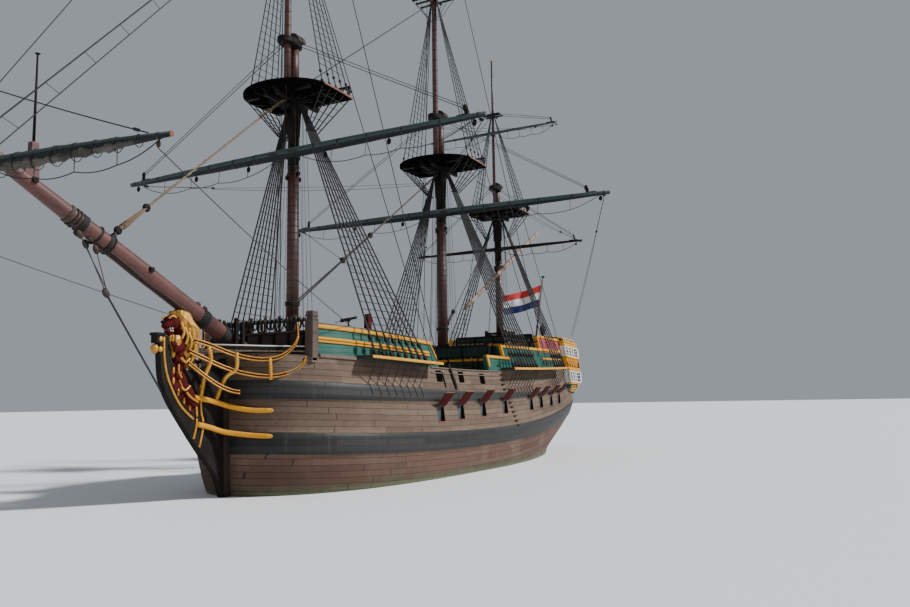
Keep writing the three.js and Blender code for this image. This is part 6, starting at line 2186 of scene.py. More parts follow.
def within(frame: np.ndarray, along: float, out: float, up: float) -> np.ndarray:
    """A point given in a frame."""
    return frame[:3, 3] + frame[:3, 0] * along + frame[:3, 2] * up + frame[:3, 1] * out


def scroll(shape: Shape, frame: np.ndarray, size: float, mark: int, hand: int = 1, thick: float = 0.16) -> Shape:
    """A carved scroll lying on a surface.

    Args:
        shape: the shape it is added to.
        frame: its frame: along, outwards and upwards.
        size: its breadth.
        mark: its finish.
        hand: 1 or -1, the side it curls to.
        thick: radius of its stem as a share of its size.

    Returns:
        The shape.
    """
    t = np.linspace(0, 1, 26)
    a = 3.3 * np.pi * t
    r = size * 0.42 * (1 - 0.82 * t)
    x = hand * (r * np.cos(a) - size * 0.05)
    path = np.stack([x, np.full_like(t, 0.02), r * np.sin(a) + size * 0.04], 1)
    stem = np.array([[hand * -size * 0.75, 0.02, -size * 0.35], [hand * size * 0.1, 0.02, -size * 0.42]])
    path = np.concatenate([stem, path])
    radii = size * thick * np.linspace(0.45, 0.85, len(path))
    curve = smooth_path(path, 2)
    radii = np.interp(np.linspace(0, 1, len(curve)), np.linspace(0, 1, len(radii)), radii)
    part = Shape().tube(curve, radii, 6, mark)
    part.ball([hand * -size * 0.05, 0.03, size * 0.04], [size * 0.13] * 3, mark, 5, 8)
    return shape.join(part.placed(frame))


def window(shape: Shape, frame: np.ndarray, width: float, height: float, panes: tuple[int, int], bar: int,
           glass: int) -> Shape:
    """A sash window with its many small panes.

    Args:
        shape: the shape it is added to.
        frame: frame of its middle: along, outwards and upwards.
        width, height: its size.
        panes: panes across and up.
        bar, glass: finishes.

    Returns:
        The shape.
    """
    w, h = width / 2, height / 2
    shape.box([-w, -0.06, -h], [w, 0.0, h], glass, frame)
    for k in range(panes[0] + 1):
        x = mix(-w, w, k / panes[0])
        thick, deep = (0.05, 0.02) if k in (0, panes[0]) else (0.018, 0.008)
        shape.box([x - thick, -0.05, -h], [x + thick, deep, h], bar, frame)
    for k in range(panes[1] + 1):
        z = mix(-h, h, k / panes[1])
        thick, deep = (0.05, 0.018) if k in (0, panes[1]) else (0.018, 0.007)
        shape.box([-w, -0.05, z - thick], [w, deep, z + thick], bar, frame)
    return shape


@dataclass
class Galleries:
    """The quarter galleries with their two rows of windows and their carving."""

    tiers: tuple = (
        (-21.3, -18.2, 5.05, 5.32, 0.2, 1), (-21.5, -17.5, 5.3, 5.72, 0.34, 4), (-21.75, -16.9, 5.7, 6.98, 0.46, 2),
        (-21.85, -16.9, 6.93, 8.0, 0.56, 0), (-21.9, -16.9, 7.95, 9.05, 0.42, 2),
        (-21.85, -16.9, 9.02, 9.3, 0.5, 0), (-21.8, -17.6, 9.25, 9.62, 0.26, 4),
    )
    mouldings: tuple = (
        (-21.45, -17.6, 5.3, 0.3), (-21.8, -16.9, 5.74, 0.5), (-21.85, -16.9, 6.93, 0.58),
        (-21.9, -16.9, 7.98, 0.6), (-21.9, -16.9, 9.03, 0.5), (-21.85, -16.9, 9.3, 0.53), (-21.8, -17.6, 9.64, 0.3),
    )

    @staticmethod
    def wall(x: Any, z: Any, out: float) -> np.ndarray:
        """Half breadth of the gallery's face."""
        return np.asarray(FORM.half(np.maximum(x, -20.6), z)) + out

    def tier(self, x0: float, x1: float, low: float, high: float, out: float, mark: int,
             round_end: float = 0.3) -> Shape:
        """One closed tier of the port gallery with softened ends."""
        xs = np.concatenate([np.linspace(x0, x0 + round_end, 5), np.linspace(x0 + 0.5, x1 - 0.5, 8),
                             np.linspace(x1 - round_end * 0.6, x1, 4)])
        left, right = np.clip((xs - x0) / round_end, 0, 1), np.clip((x1 - xs) / (round_end * 0.6), 0, 1)
        soft = np.sqrt(1 - (1 - left) ** 2) * 0.75 + 0.25
        soft = soft * (np.sqrt(1 - (1 - right) ** 2) * 0.6 + 0.4)
        rows = []
        for z in (low, high):
            rows.append(np.stack([xs, self.wall(xs, z, 0) - 0.1 + (out + 0.1) * soft, np.full_like(xs, z)], 1))
        for z in (high, low):
            rows.append(np.stack([xs, self.wall(xs, z, -0.2), np.full_like(xs, z)], 1))
        return Shape().grid(np.stack(rows, 1), mark, smooth=False, ring=True, caps=True)

    def face_frame(self, x: float, z: float, out: float) -> np.ndarray:
        """A frame on the face of the port gallery: along, outwards and upwards."""
        p = np.array([x, float(self.wall(x, z, out)), z])
        along = unit([1, float(self.wall(x + 0.4, z, 0) - self.wall(x - 0.4, z, 0)) / 0.8, 0])
        rise = unit([0, float(self.wall(x, z + 0.4, 0) - self.wall(x, z - 0.4, 0)), 0.8])
        outward = unit(np.cross(rise, along))
        return frame_of(p, along, outward, unit(np.cross(along, outward)))

    def build(self, yard: Yard) -> None:
        """Builds both galleries."""
        shape = Shape()
        for x0, x1, low, high, out, mark in self.tiers:
            shape.join(self.tier(x0, x1, low, high, out, mark))
        for x0, x1, z, out in self.mouldings:
            for dz, push, thick in ((0.0, 0.04, 0.035), (0.06, 0.0, 0.02)):
                shape.join(self.tier(x0, x1, z + dz - thick, z + dz + thick, out + push, 0))
        for low, high, out in ((5.88, 6.78, 0.56), (8.1, 8.92, 0.52)):
            for x in np.linspace(-21.15, -17.5, 4):
                window(shape, self.face_frame(x, (low + high) / 2, out), 0.92, high - low, (2, 3), 2, 3)
            for x in np.linspace(-21.78, -16.96, 5):
                frame = self.face_frame(x, (low + high) / 2, out)
                shape.box([-0.08, -0.08, -(high - low) / 2], [0.08, 0.025, (high - low) / 2], 2, frame)
        for x in np.linspace(-21.3, -17.4, 5):
            frame = self.face_frame(x, 7.35, 0.565)
            arch = [(-0.26, -0.2)] + [(-0.26 * math.cos(a), 0.12 + 0.24 * math.sin(a))
                                      for a in np.linspace(0, np.pi, 9)]
            arch.append((0.26, -0.2))
            shape.prism([within(frame, a, 0, b) for a, b in arch], [0, 0, 0], frame[:3, 1] * 0.025, 3)
            shape.tube([within(frame, a * 1.12, 0.03, b * 1.1) for a, b in arch], 0.035, 6, 0)
            shape.ball(within(frame, 0, 0.04, 0.5), [0.09, 0.09, 0.09], 0, 5, 8)
        for row, z, out, size, mark in ((np.linspace(-21.7, -17.0, 6), 7.42, 0.58, 0.34, 0),
                                        (np.linspace(-21.4, -18.0, 6), 9.46, 0.27, 0.26, 2),
                                        (np.linspace(-21.1, -18.0, 5), 5.52, 0.35, 0.3, 0)):
            for k, x in enumerate(row):
                scroll(shape, self.face_frame(x, z, out), size, mark, 1 if k % 2 else -1)
        finishes = ["yellow_paint", "gilding", "white_paint", "window_glass", "green_paint"]
        yard.pair("quarter_gallery", shape, finishes, Part.OCHRE)


@dataclass
class Stern:
    """The transom with its stern windows and carved taffrail."""

    profile: tuple = ((4.78, -20.45), (4.85, -20.9), (5.3, -21.5), (5.6, -21.75), (9.4, -22.35), (10.3, -22.45))
    lights: int = 6

    def aft(self, z: float) -> float:
        """How far aft the face stands at a height."""
        zs, xs = zip(*self.profile)
        return float(np.interp(z, zs, xs))

    def face_frame(self, y: float, z: float, out: float = 0.0) -> np.ndarray:
        """A frame on the transom: to port, aft and up."""
        rise = unit([self.aft(z + 0.2) - self.aft(z - 0.2), 0, 0.4])
        aft = unit(np.cross([0, 1, 0], rise))
        aft = aft if aft[0] < 0 else -aft
        return frame_of(np.array([self.aft(z), y, z]) + aft * out, np.cross(aft, rise), aft, rise)

    def half(self, z: float) -> float:
        """Half breadth of the transom at a height, with the arch of the taffrail above."""
        edge = float(FORM.transom(min(z, 9.4)))
        return edge if z <= 9.4 else float(np.interp(z, [9.4, 9.75, 10.1, 10.25], [edge, 2.5, 1.3, 0.15]))

    def build(self, yard: Yard) -> None:
        """Builds the transom."""
        shape = Shape()
        zs = [4.78, 4.86, 5.3, 5.6, 6.5, 7.5, 8.5, 9.2, 9.4, 9.6, 9.75, 9.95, 10.1, 10.2, 10.25]
        rows = []
        for z in zs:
            h = self.half(z) - 0.01
            x = self.aft(z)
            inner = -20.45 if z < 6.5 else (-20.6 if z < 9.2 else mix(-21.95, -22.12, (z - 9.2) / 1.1))
            rows.append([[x, h, z], [x, h * 0.5, z], [x, 0, z], [x, -h * 0.5, z], [x, -h, z], [inner, -h, z],
                         [inner, h, z]])
        shape.grid(np.array(rows), 4, smooth=False, ring=True, caps=True)
        for low, high in ((5.95, 6.95), (7.75, 8.85)):
            reach = self.half((low + high) / 2) - 0.45
            for y in np.linspace(-reach + 0.42, reach - 0.42, self.lights):
                window(shape, self.face_frame(y, (low + high) / 2, 0.02), 0.78, high - low, (4, 5), 2, 3)
            for y in np.linspace(-reach - 0.12, reach + 0.12, self.lights + 1):
                shape.box([-0.08, -0.02, -(high - low) / 2 - 0.05], [0.08, 0.09, (high - low) / 2 + 0.05], 0,
                          self.face_frame(y, (low + high) / 2))
        for z, thick, out in ((5.35, 0.07, 0.1), (5.78, 0.09, 0.14), (7.05, 0.08, 0.12), (7.62, 0.08, 0.12),
                              (8.95, 0.09, 0.15), (9.4, 0.07, 0.12)):
            h = self.half(z) - 0.02
            frame = self.face_frame(0, z)
            shape.box([-h, -0.05, -thick], [h, out * 0.6, thick], 0, frame)
            shape.box([-h, -0.05, -thick * 0.5], [h, out, thick * 0.5], 0, frame)
        for k in range(9):
            y = mix(-0.82, 0.82, k / 8) * self.half(7.3)
            scroll(shape, self.face_frame(y, 7.33, 0.02), 0.34, 1, 1 if k % 2 else -1)
        for y in np.linspace(-0.84, 0.84, 10) * self.half(9.17):
            scroll(shape, self.face_frame(y, 9.17, 0.02), 0.26, 2, 1 if y > 0 else -1)
        self.taffrail(shape)
        finishes = ["yellow_paint", "gilding", "white_paint", "window_glass", "green_paint", "maroon_paint"]
        yard.piece("stern_transom", shape, finishes, Part.OCHRE, replaces=["stern_gallery"])

    def taffrail(self, shape: Shape) -> None:
        """The carved arch with a plain shield in its middle and foliage on both sides."""
        rim = []
        for t in np.linspace(-1, 1, 25):
            z = float(np.interp(abs(t), [0, 0.4, 0.75, 1], [10.2, 10.06, 9.72, 9.42]))
            y = math.copysign(self.half(z) - 0.06, t) if abs(t) > 0.02 else 0.0
            rim.append([self.aft(z) - 0.02, y, z])
        shape.tube(smooth_path(rim, 2), 0.08, 8, 0)
        shield = self.face_frame(0, 9.74, 0.03)
        outline = [(-0.34, 0.3), (0.34, 0.3), (0.36, 0.0), (0.22, -0.24), (0, -0.33), (-0.22, -0.24), (-0.36, 0.0)]
        shape.prism([within(shield, a, 0, b) for a, b in outline], [0, 0, 0], shield[:3, 1] * 0.06, 5)
        shape.tube([within(shield, a, 0.06, b) for a, b in (*outline, outline[0])], 0.04, 6, 1)
        for side in SIDES:
            for k in range(4):
                y = side * (0.75 + 0.5 * k)
                scroll(shape, self.face_frame(y, 9.72 - 0.06 * k, 0.03), 0.42 - 0.05 * k, 1 if k % 2 else 2, side)


# Yards.


@dataclass(frozen=True)
class YardSpar:
    """A square yard: its place, size and bracing angle at rest."""

    node: str
    mast: Stick
    z: float
    half: float
    r: float
    brace: float
    finish: str
    upper: bool = False
    lift_at: float = 0.915  # where lifts and braces are made fast, as shares of half its length
    brace_at: float = 0.955

    @property
    def mast_x(self) -> float:
        """Where the spar that it turns about stands."""
        return self.mast.topmast_x if self.upper else self.mast.x

    @property
    def mast_r(self) -> float:
        """Radius of the spar that it turns about."""
        return self.mast.topmast_r(self.z) if self.upper else self.mast.radius(self.z - 0.16)

    def at(self, s: float, drop: float = 0.0, fore: float = 0.0) -> np.ndarray:
        """A point a distance to port along the yard, below its axis and before it."""
        p = [self.mast_x + self.mast_r + self.r + 0.06 + fore, s, self.z - drop]
        return turned([p], [self.mast_x, 0, 0], self.brace)[0]

    def thick(self, s: float) -> float:
        """Its radius at a distance from the middle."""
        t = np.linspace(-1, 1, 8)
        return float(self.r * np.interp(s / self.half, t, [0.45, 0.72, 0.92, 1, 1, 0.92, 0.72, 0.45]))


FORE_YARD = YardSpar("fore_yard", FORE, 18.0, 12.3, 0.28, -1.1, "fore_yard_paint")
MAIN_YARD = YardSpar("main_yard", MAIN, 18.0, 12.9, 0.29, 2.1, "main_yard_paint", lift_at=0.88)
CROSSJACK = YardSpar("crossjack_yard", MIZZEN, 16.94, 7.6, 0.15, 0.0, "black_paint")
MIZZEN_TOPSAIL_YARD = YardSpar("mizzen_topsail_yard", MIZZEN, 26.92, 5.9, 0.12, 0.0, "main_yard_paint", True)
SQUARE_YARDS = (FORE_YARD, MAIN_YARD, CROSSJACK, MIZZEN_TOPSAIL_YARD)


@dataclass
class Yards:
    """The square yards with their bands, cleats, blocks and footropes."""

    def build(self, yard: Yard) -> None:
        """Builds each yard and the gear that turns with it."""
        for y in SQUARE_YARDS:
            shape = Shape()
            profile = [(s + y.half, y.thick(s)) for s in np.linspace(-y.half, y.half, 15)]
            shape.spar(y.at(-y.half), y.at(y.half), profile, 20, 0)
            bands = (0.97, 0.8, 0.62, 0.45, 0.3, 0.17) if y.half > 8 else (0.96, 0.6, 0.25)
            for f in bands:
                for side in SIDES:
                    s = side * f * y.half
                    r = y.thick(s) + 0.012
                    shape.spar(y.at(s - 0.05), y.at(s + 0.05), [(0, r), (0.1, r)], 18, 1)
            for side in SIDES:
                shape.box([-0.06, -0.35, -0.05], [0.04, 0.35, 0.05], 2,
                          self.frame(y, side * 0.9 * y.half, 0, -y.thick(side * 0.9 * y.half)))
                shape.box([-0.05, -0.3, -0.05], [0.05, 0.3, 0.06], 2, self.frame(y, side * 0.7, y.r * 0.9, 0.0))
            self.parrel(shape, y)
            yard.piece(y.node + "_dressed", shape, [y.finish, "black_iron", "dark_oak", "tarred_hemp"], Part.SLATE,
                       y.node, [y.node])
            self.gear(yard, y)

    @staticmethod
    def frame(y: YardSpar, s: float, fore: float, drop: float) -> np.ndarray:
        """A frame at the yard: fore, along to port, up."""
        a = math.radians(y.brace)
        return frame_of(y.at(s, drop, fore), [math.cos(a), math.sin(a), 0], [-math.sin(a), math.cos(a), 0],
                        [0, 0, 1])

    @staticmethod
    def parrel(shape: Shape, y: YardSpar) -> None:
        """The collar of ribs and beads that holds the yard to its mast."""
        r, n = y.mast_r, 16
        for k in range(n):
            a = 2 * math.pi * k / n + math.radians(y.brace)
            c, s = math.cos(a), math.sin(a)
            frame = frame_of([y.mast_x + (r + 0.045) * c, (r + 0.045) * s, y.z], [c, s, 0], [-s, c, 0], [0, 0, 1])
            shape.box([-0.035, -0.03, -0.16], [0.03, 0.03, 0.16], 2, frame)
            b = a + math.pi / n
            for dz in (-0.09, 0.0, 0.09):
                bead = [y.mast_x + (r + 0.045) * math.cos(b), (r + 0.045) * math.sin(b), y.z + dz]
                shape.ball(bead, [0.045] * 3, 2, 4, 6)
        for dz in (-0.13, 0.0, 0.13):
            shape.box([-0.06, -0.14, dz - 0.03], [y.r * 0.5, 0.14, dz + 0.03], 3, Yards.frame(y, 0, -y.r, 0))

    @staticmethod
    def gear(yard: Yard, y: YardSpar) -> None:
        """Blocks, footropes with their stirrups, and the jackstay's lashings."""
        ropes = Cordage(yard, 5)
        blocks = Repeats(yard, block_shape(0.36 if y.half > 8 else 0.22), "black_paint")
        drop = 0.85 if y.half > 8 else 0.6
        for side in SIDES:
            stops = [0.06, 0.24, 0.42, 0.6, 0.78, 0.95]
            for f, g in zip(stops, stops[1:]):
                a, b = y.at(side * f * y.half, drop, -0.16), y.at(side * g * y.half, drop, -0.16)
                if f == stops[0]:
                    a = y.at(side * f * y.half, 0.1, -y.r * 0.9)
                if g == stops[-1]:
                    b = y.at(side * g * y.half, 0.05, -y.thick(g * y.half) * 0.8)
                ropes.line(a, b, r=0.022, sag=0.1, steps=6)
                if g != stops[-1]:
                    ropes.line(y.at(side * g * y.half, -y.thick(g * y.half), -0.02),
                               y.at(side * g * y.half, 0, -y.thick(g * y.half) - 0.01), b, r=0.016)
            for f in ((0.95, 0.55, 0.22) if y.half > 8 else (0.93,)):
                s = side * f * y.half
                blocks.at(y.at(s, y.thick(s) + 0.2, 0), [1, 0, 0.1])
                ropes.line(y.at(s, -y.thick(s) - 0.01, 0), y.at(s, 0, y.thick(s) + 0.01),
                           y.at(s, y.thick(s) + 0.06, 0), r=0.02)
            s = side * y.lift_at * y.half
            blocks.at(y.at(s, -y.thick(s) - 0.17, 0), [1, 0, 0.1])
            blocks.at(y.at(s * 0.995, -y.thick(s) - 0.34, 0.05), [1, 0, 0.1])
            s = side * y.brace_at * y.half
            blocks.at(y.at(s, 0, -y.thick(s) - 0.5), [0, 0, 1], [1, 0, 0])
            ropes.line(y.at(s, 0, -y.thick(s) + 0.01), y.at(s, 0, -y.thick(s) - 0.36), r=0.026)
        ropes.rig(y.node + "_footropes", "tarred_hemp", y.node)
        blocks.fit(y.node + "_blocks", body=y.node)


@dataclass
class SpritsailYard:
    """The yard under the bowsprit with its furled sail."""

    along: float = 16.1
    drop: float = 0.62
    half: float = 9.0
    r: float = 0.27
    brace: float = -2.7
    lift_at: float = 0.89  # where lifts and braces are made fast, as shares of half its length
    brace_at: float = 0.94

    def at(self, s: float, up: float = 0.0, fore: float = 0.0) -> np.ndarray:
        """A point a distance to port along the yard, above and before its axis."""
        b = math.radians(self.brace)
        centre = BOWSPRIT_ROOT + BOWSPRIT_RUN * self.along + BOWSPRIT_DOWN * self.drop
        return centre + s * (BOWSPRIT_RUN * math.sin(b) + np.array([0, math.cos(b), 0])) + np.array([fore, 0, up])

    def thick(self, s: float) -> float:
        """Its radius at a distance from the middle."""
        t = np.linspace(-1, 1, 8)
        return float(self.r * np.interp(s / self.half, t, [0.32, 0.7, 0.93, 1, 1, 0.93, 0.7, 0.32]))

    def build(self, yard: Yard) -> None:
        """Builds the yard, its sail and its ropes."""
        shape = Shape()
        profile = [(s + self.half, self.thick(s)) for s in np.linspace(-self.half, self.half, 15)]
        shape.spar(self.at(-self.half), self.at(self.half), profile, 20, 0)
        for side in SIDES:
            tip = side * self.half
            shape.spar(self.at(tip - side * 0.01), self.at(tip + side * 0.02), [(0, self.thick(tip) + 0.012), (
                0.03, self.thick(tip) + 0.004)], 18, 3)
        for f in (0.94, 0.72, 0.45, 0.2):
            for side in SIDES:
                s = side * f * self.half
                r = self.thick(s) + 0.012
                shape.spar(self.at(s - 0.05), self.at(s + 0.05), [(0, r), (0.1, r)], 18, 1)
        seat = self.along - 0.14
        top = BOWSPRIT_ROOT + BOWSPRIT_RUN * self.along + BOWSPRIT_DOWN * (bowsprit_radius(seat) + 0.012)
        shape.spar(top, self.at(0), [(0, 0.12), (0.1, 0.13)], 12, 2)
        for k in range(7):
            s = (k - 3) * 0.09
            shape.spar(self.at(s - 0.04), self.at(s + 0.04), [(0, self.r + 0.03), (0.08, self.r + 0.03)], 16, 2)
        yard.piece("spritsail_yard_dressed", shape, ["sprit_yard_paint", "black_iron", "tarred_hemp", "red_ports"],
                   Part.SLATE, "spritsail_yard", ["spritsail_yard"])
        self.sail(yard)
        self.gear(yard)

    def sail(self, yard: Yard) -> None:
        """The sail gathered in uneven folds before and under the yard, drawn in where its gaskets hold it."""
        for side in SIDES:
            rows = []
            ss = np.linspace(0.75, 0.86 * self.half, 90)
            for s in ss:
                t = (s - ss[0]) / (ss[-1] - ss[0])
                swell = 0.155 * (1 - 0.35 * t) * (0.25 + 0.75 * min(1, 8 * t, 8 * (1 - t)))
                lump = 1 + 0.22 * math.sin(5.1 * s) + 0.16 * math.sin(11.7 * s + 1 + side) + 0.1 * math.sin(23 * s)
                tied = 0.72 if (s % 0.95) < 0.1 else 1.0
                ring = []
                for j in range(20):
                    a = 2 * math.pi * j / 20
                    fold = 1 + 0.13 * math.sin(3 * a + 2.3 * s) + 0.09 * math.sin(7 * a - 1.7 * s)
                    r = swell * lump * tied * fold
                    ring.append(self.at(side * s, -self.thick(s) * 0.55 + r * math.sin(a) - swell * 0.55,
                                        0.12 + 1.15 * r * math.cos(a)))
                rows.append(ring)
            shape = Shape().grid(np.array(rows), 0, ring=True, caps=True, flip=side < 0)
            obj = yard.piece(f"furled_sail_{SIDE_NAMES[side]}", shape, ["sailcloth"], Part.CLOTH, "spritsail_yard")

    def gear(self, yard: Yard) -> None:
        """Gaskets round the sail, footropes and lift blocks."""
        ropes = Cordage(yard, 5)
        blocks = Repeats(yard, block_shape(0.26), "dark_oak")
        for side in SIDES:
            for k in range(8):
                s = side * (0.98 + 0.95 * k)
                if abs(s) > 0.85 * self.half:
                    break
                ring = []
                for j in range(13):
                    a = 2 * math.pi * j / 12
                    tall = self.thick(s) + 0.15 * (1 - abs(s) * 0.07)
                    ring.append(self.at(s + 0.02 * math.sin(a), -0.13 * (1 - abs(s) * 0.07) + tall * math.sin(a),
                                        0.02 + (self.thick(s) + 0.03) * math.cos(a)))
                ropes.line(*ring, r=0.016)
            stops = [0.07, 0.3, 0.52, 0.74, 0.95]
            for f, g in zip(stops, stops[1:]):
                ropes.line(self.at(side * f * self.half, -0.75 if f > 0.1 else -0.2), self.at(
                    side * g * self.half, -0.75 if g < 0.9 else -0.1), r=0.02, sag=0.12, steps=6)
                if g < 0.9:
                    ropes.line(self.at(side * g * self.half, -0.2), self.at(side * g * self.half, -0.75), r=0.016)
            s = side * self.brace_at * self.half
            blocks.at(self.at(s, -self.thick(s) - 0.16), [1, 0, 0])
        ropes.rig("spritsail_yard_footropes", "tarred_hemp", "spritsail_yard")
        blocks.fit("spritsail_yard_blocks", body="spritsail_yard")


@dataclass
class Lateen:
    """The mizzen's slanting yard, pale with dark bands of rope."""

    low: tuple = (-4.86, 11.27)
    high: tuple = (-20.06, 19.78)
    r: float = 0.17
    gap: float = 0.0006  # the seated gap between the pin and the mast

    def at(self, t: float) -> np.ndarray:
        """A point at a share of its length."""
        z = mix(self.low[1], self.high[1], (MIZZEN.x - self.low[0]) / (self.high[0] - self.low[0]))
        y = MIZZEN.radius(z - 0.12) + self.gap + 0.14 + self.r
        return np.array([mix(self.low[0], self.high[0], t), y, mix(self.low[1], self.high[1], t)])

    def build(self, yard: Yard) -> None:
        """Builds the yard with its pin at the mast."""
        shape, n = Shape(), 10
        a, b = self.at(0), self.at(1)
        length = float(np.linalg.norm(b - a))
        thick = lambda t: self.r * float(np.interp(t, [0, 0.25, 0.5, 0.75, 1], [0.75, 0.9, 1, 0.9, 0.75]))
        shape.spar(a, b, [(length * k / n, thick(k / n)) for k in range(n + 1)], 18, 0)
        for u in np.linspace(0.06, 0.94, 12):
            r = thick(u) + 0.014
            shape.spar(self.at(u), self.at(u + 0.006), [(0, r), (0.006 * length, r)], 14, 1)
        t = (MIZZEN.x - self.low[0]) / (self.high[0] - self.low[0])
        pin = self.at(t)
        shape.spar([MIZZEN.x, MIZZEN.radius(pin[2] - 0.12) + self.gap, pin[2]], pin, [(0, 0.1), (0.3, 0.1)], 14, 2)
        yard.piece("lateen_yard_dressed", shape, ["pale_spar", "brown_hemp", "black_iron"], Part.TAN, "lateen_yard",
                   ["lateen_yard"])


# Rigging.


def heads(m: Stick) -> tuple[np.ndarray, float]:
    """Where the lower shrouds of a mast come together on the port side, and the top's upper face."""
    return np.array([m.x, m.radius(m.top_z) + 0.1, m.top_z - 0.35]), m.top_z + 0.14


def ratlines(ropes: Cordage, lines: Sequence[tuple[np.ndarray, np.ndarray]], low: float, high: float,
             step: float = 0.4, r: float = 0.019) -> None:
    """Ratlines between neighbouring shrouds.

    Args:
        ropes: where they are added.
        lines: foot and head of each shroud in order.
        low, high: heights of the first and the last.
        step: their spacing.
        r: their radius.
    """
    for z in np.arange(low, high, step):
        points = []
        for foot, head in lines:
            t = (z - foot[2]) / (head[2] - foot[2])
            if 0 <= t <= 1:
                points.append(foot + (head - foot) * t)
        middles = []
        for a, b in zip(points, points[1:]):
            middles += [a, (a + b) / 2 - [0, 0, 0.018]]
        if middles:
            ropes.line(*middles, points[-1], r=r)


@dataclass
class Shrouds:
    """Lower, futtock and topmast shrouds with their ratlines, deadeyes and backstays."""

    def build(self, yard: Yard) -> None:
        """Builds the standing rigging that runs abeam."""
        for mast in (FORE, MAIN, MIZZEN):
            thick, thin = Cordage(yard, 6), Cordage(yard, 4)
            eyes = Repeats(yard, deadeye_shape(0.1, 0.1), "black_paint")
            for side in SIDES:
                self.lower(thick, thin, mast, np.array([1, side, 1]))
                self.upper(thick, thin, eyes, mast, np.array([1, side, 1]))
            thick.rig(f"{mast.name}_shrouds", "tarred_hemp")
            thin.rig(f"{mast.name}_ratlines", "tarred_hemp")
            eyes.fit(f"{mast.name}_top_deadeyes")

    @staticmethod
    def lower(thick: Cordage, thin: Cordage, m: Stick, s: np.ndarray) -> None:
        """The lower shrouds of one side."""
        head, _ = heads(m)
        lines = []
        for k, foot in enumerate(shroud_feet(m.name)):
            up = unit(head - foot)
            start = foot + up * 1.08
            stop = head + [0.02 - 0.015 * k, 0.012 * k, 0.05]
            lines.append((start * s, stop * s))
            above = np.array([m.x - 0.05, m.radius(m.top_z) + 0.02, m.top_z + 0.3 + 0.06 * k])
            thick.line(start * s, stop * s, above * s, r=0.043)
            thick.line((start + up * 0.05) * s, (start + up * 0.75 + [0.03, 0, 0]) * s, r=0.03)
        thin.line(lines[0][0] - unit(lines[0][0] - lines[0][1]) * 0.35 + [0.12, 0, 0],
                  *[a - unit(a - b) * 0.35 for a, b in lines], r=0.035)
        ratlines(thin, lines, lines[0][0][2] + 0.65, m.top_z - 2.2)

    @staticmethod
    def upper(thick: Cordage, thin: Cordage, eyes: Repeats, m: Stick, s: np.ndarray) -> None:
        """Futtock shrouds, topmast shrouds and backstays of one side."""
        head, deck = heads(m)
        count = 5 if m.top_r > 2.6 else 4
        feet = shroud_feet(m.name)
        stave = m.top_z - 2.1
        top_lines, futtocks = [], []
        span = 1.5 if m.top_head else 0.8
        cross = np.array([m.topmast_x, m.topmast_r(m.cross) + 0.05, m.cross - 0.12])
        for k in range(count):
            x = mix(0.3, -0.6, k / (count - 1)) * m.top_r
            edge = np.array([m.x + x, 0.965 * m.top_r, m.top_z - 0.02])
            if x > 0.15 * m.top_r:
                edge[1] *= 0.985
            foot = feet[min(len(feet) - 1, int(k * (len(feet) - 1) / (count - 1)))]
            t = (stave - foot[2]) / (head[2] - foot[2])
            low = foot + (head - foot) * t + [(k - 2) * -0.1, 0, 0]
            futtocks.append((low * s, edge * s))
            thick.line(low * s, edge * s, r=0.034)
            up = unit(cross - (edge + [0, 0, 0.16]))
            a, b = edge + up * 0.28, edge + up * 0.85
            for p in (a, b):
                eyes.at(p * s, unit(np.cross(up, [1, 0, 0])) * s, up * s)
            for shift in (-0.04, 0.0, 0.04):
                thin.line((a + [shift, 0, 0]) * s, (b + [shift, 0, 0]) * s, r=0.012)
            thick.line(edge * s, (a - up * 0.02) * s, r=0.022)
            start = edge + up * 0.92
            stop = cross + [0.015 * (2 - k), 0, 0.05]
            thick.line(start * s, stop * s, r=0.03)
            top_lines.append((start * s, stop * s))
        thin.line(*[a for a, _ in futtocks], r=0.035)
        ratlines(thin, futtocks, stave + 0.3, m.top_z - 0.2, 0.36)
        ratlines(thin, top_lines, deck + 1.15, m.cross - 1.2)
        if m.top_head:
            gallant = np.array([m.topmast_x + m.top_radius + 0.2, 0.1, mix(m.top_head, m.pole_top, 0.72)])
            for dx in (-0.75 * 0.8, 0.1, 0.75 * 0.9):
                tip = np.array([m.topmast_x + dx, span, m.cross + 0.1])
                thick.line(tip * s, gallant * s, r=0.018)
                inner = np.array([m.topmast_x + dx * 0.3, m.topmast_r(m.cross) + 0.1, m.cross - 1.6])
                thick.line(tip * s, inner * s, r=0.018)
        backstays = {"fore": (9.4, 8.8), "main": (-7.9, -9.0), "mizzen": (-14.25,)}[m.name]
        for k, x in enumerate(backstays):
            foot = FORM.side_point(x, channel_z(x), CHANNEL_OUT - 0.11)
            aim = cross + [0, 0, 0.1]
            if k:
                aim = np.array([m.topmast_x + 0.3, 0.12, mix(m.top_head, m.pole_top, 0.7)])
            thick.line(foot * s, aim * s, r=0.024)


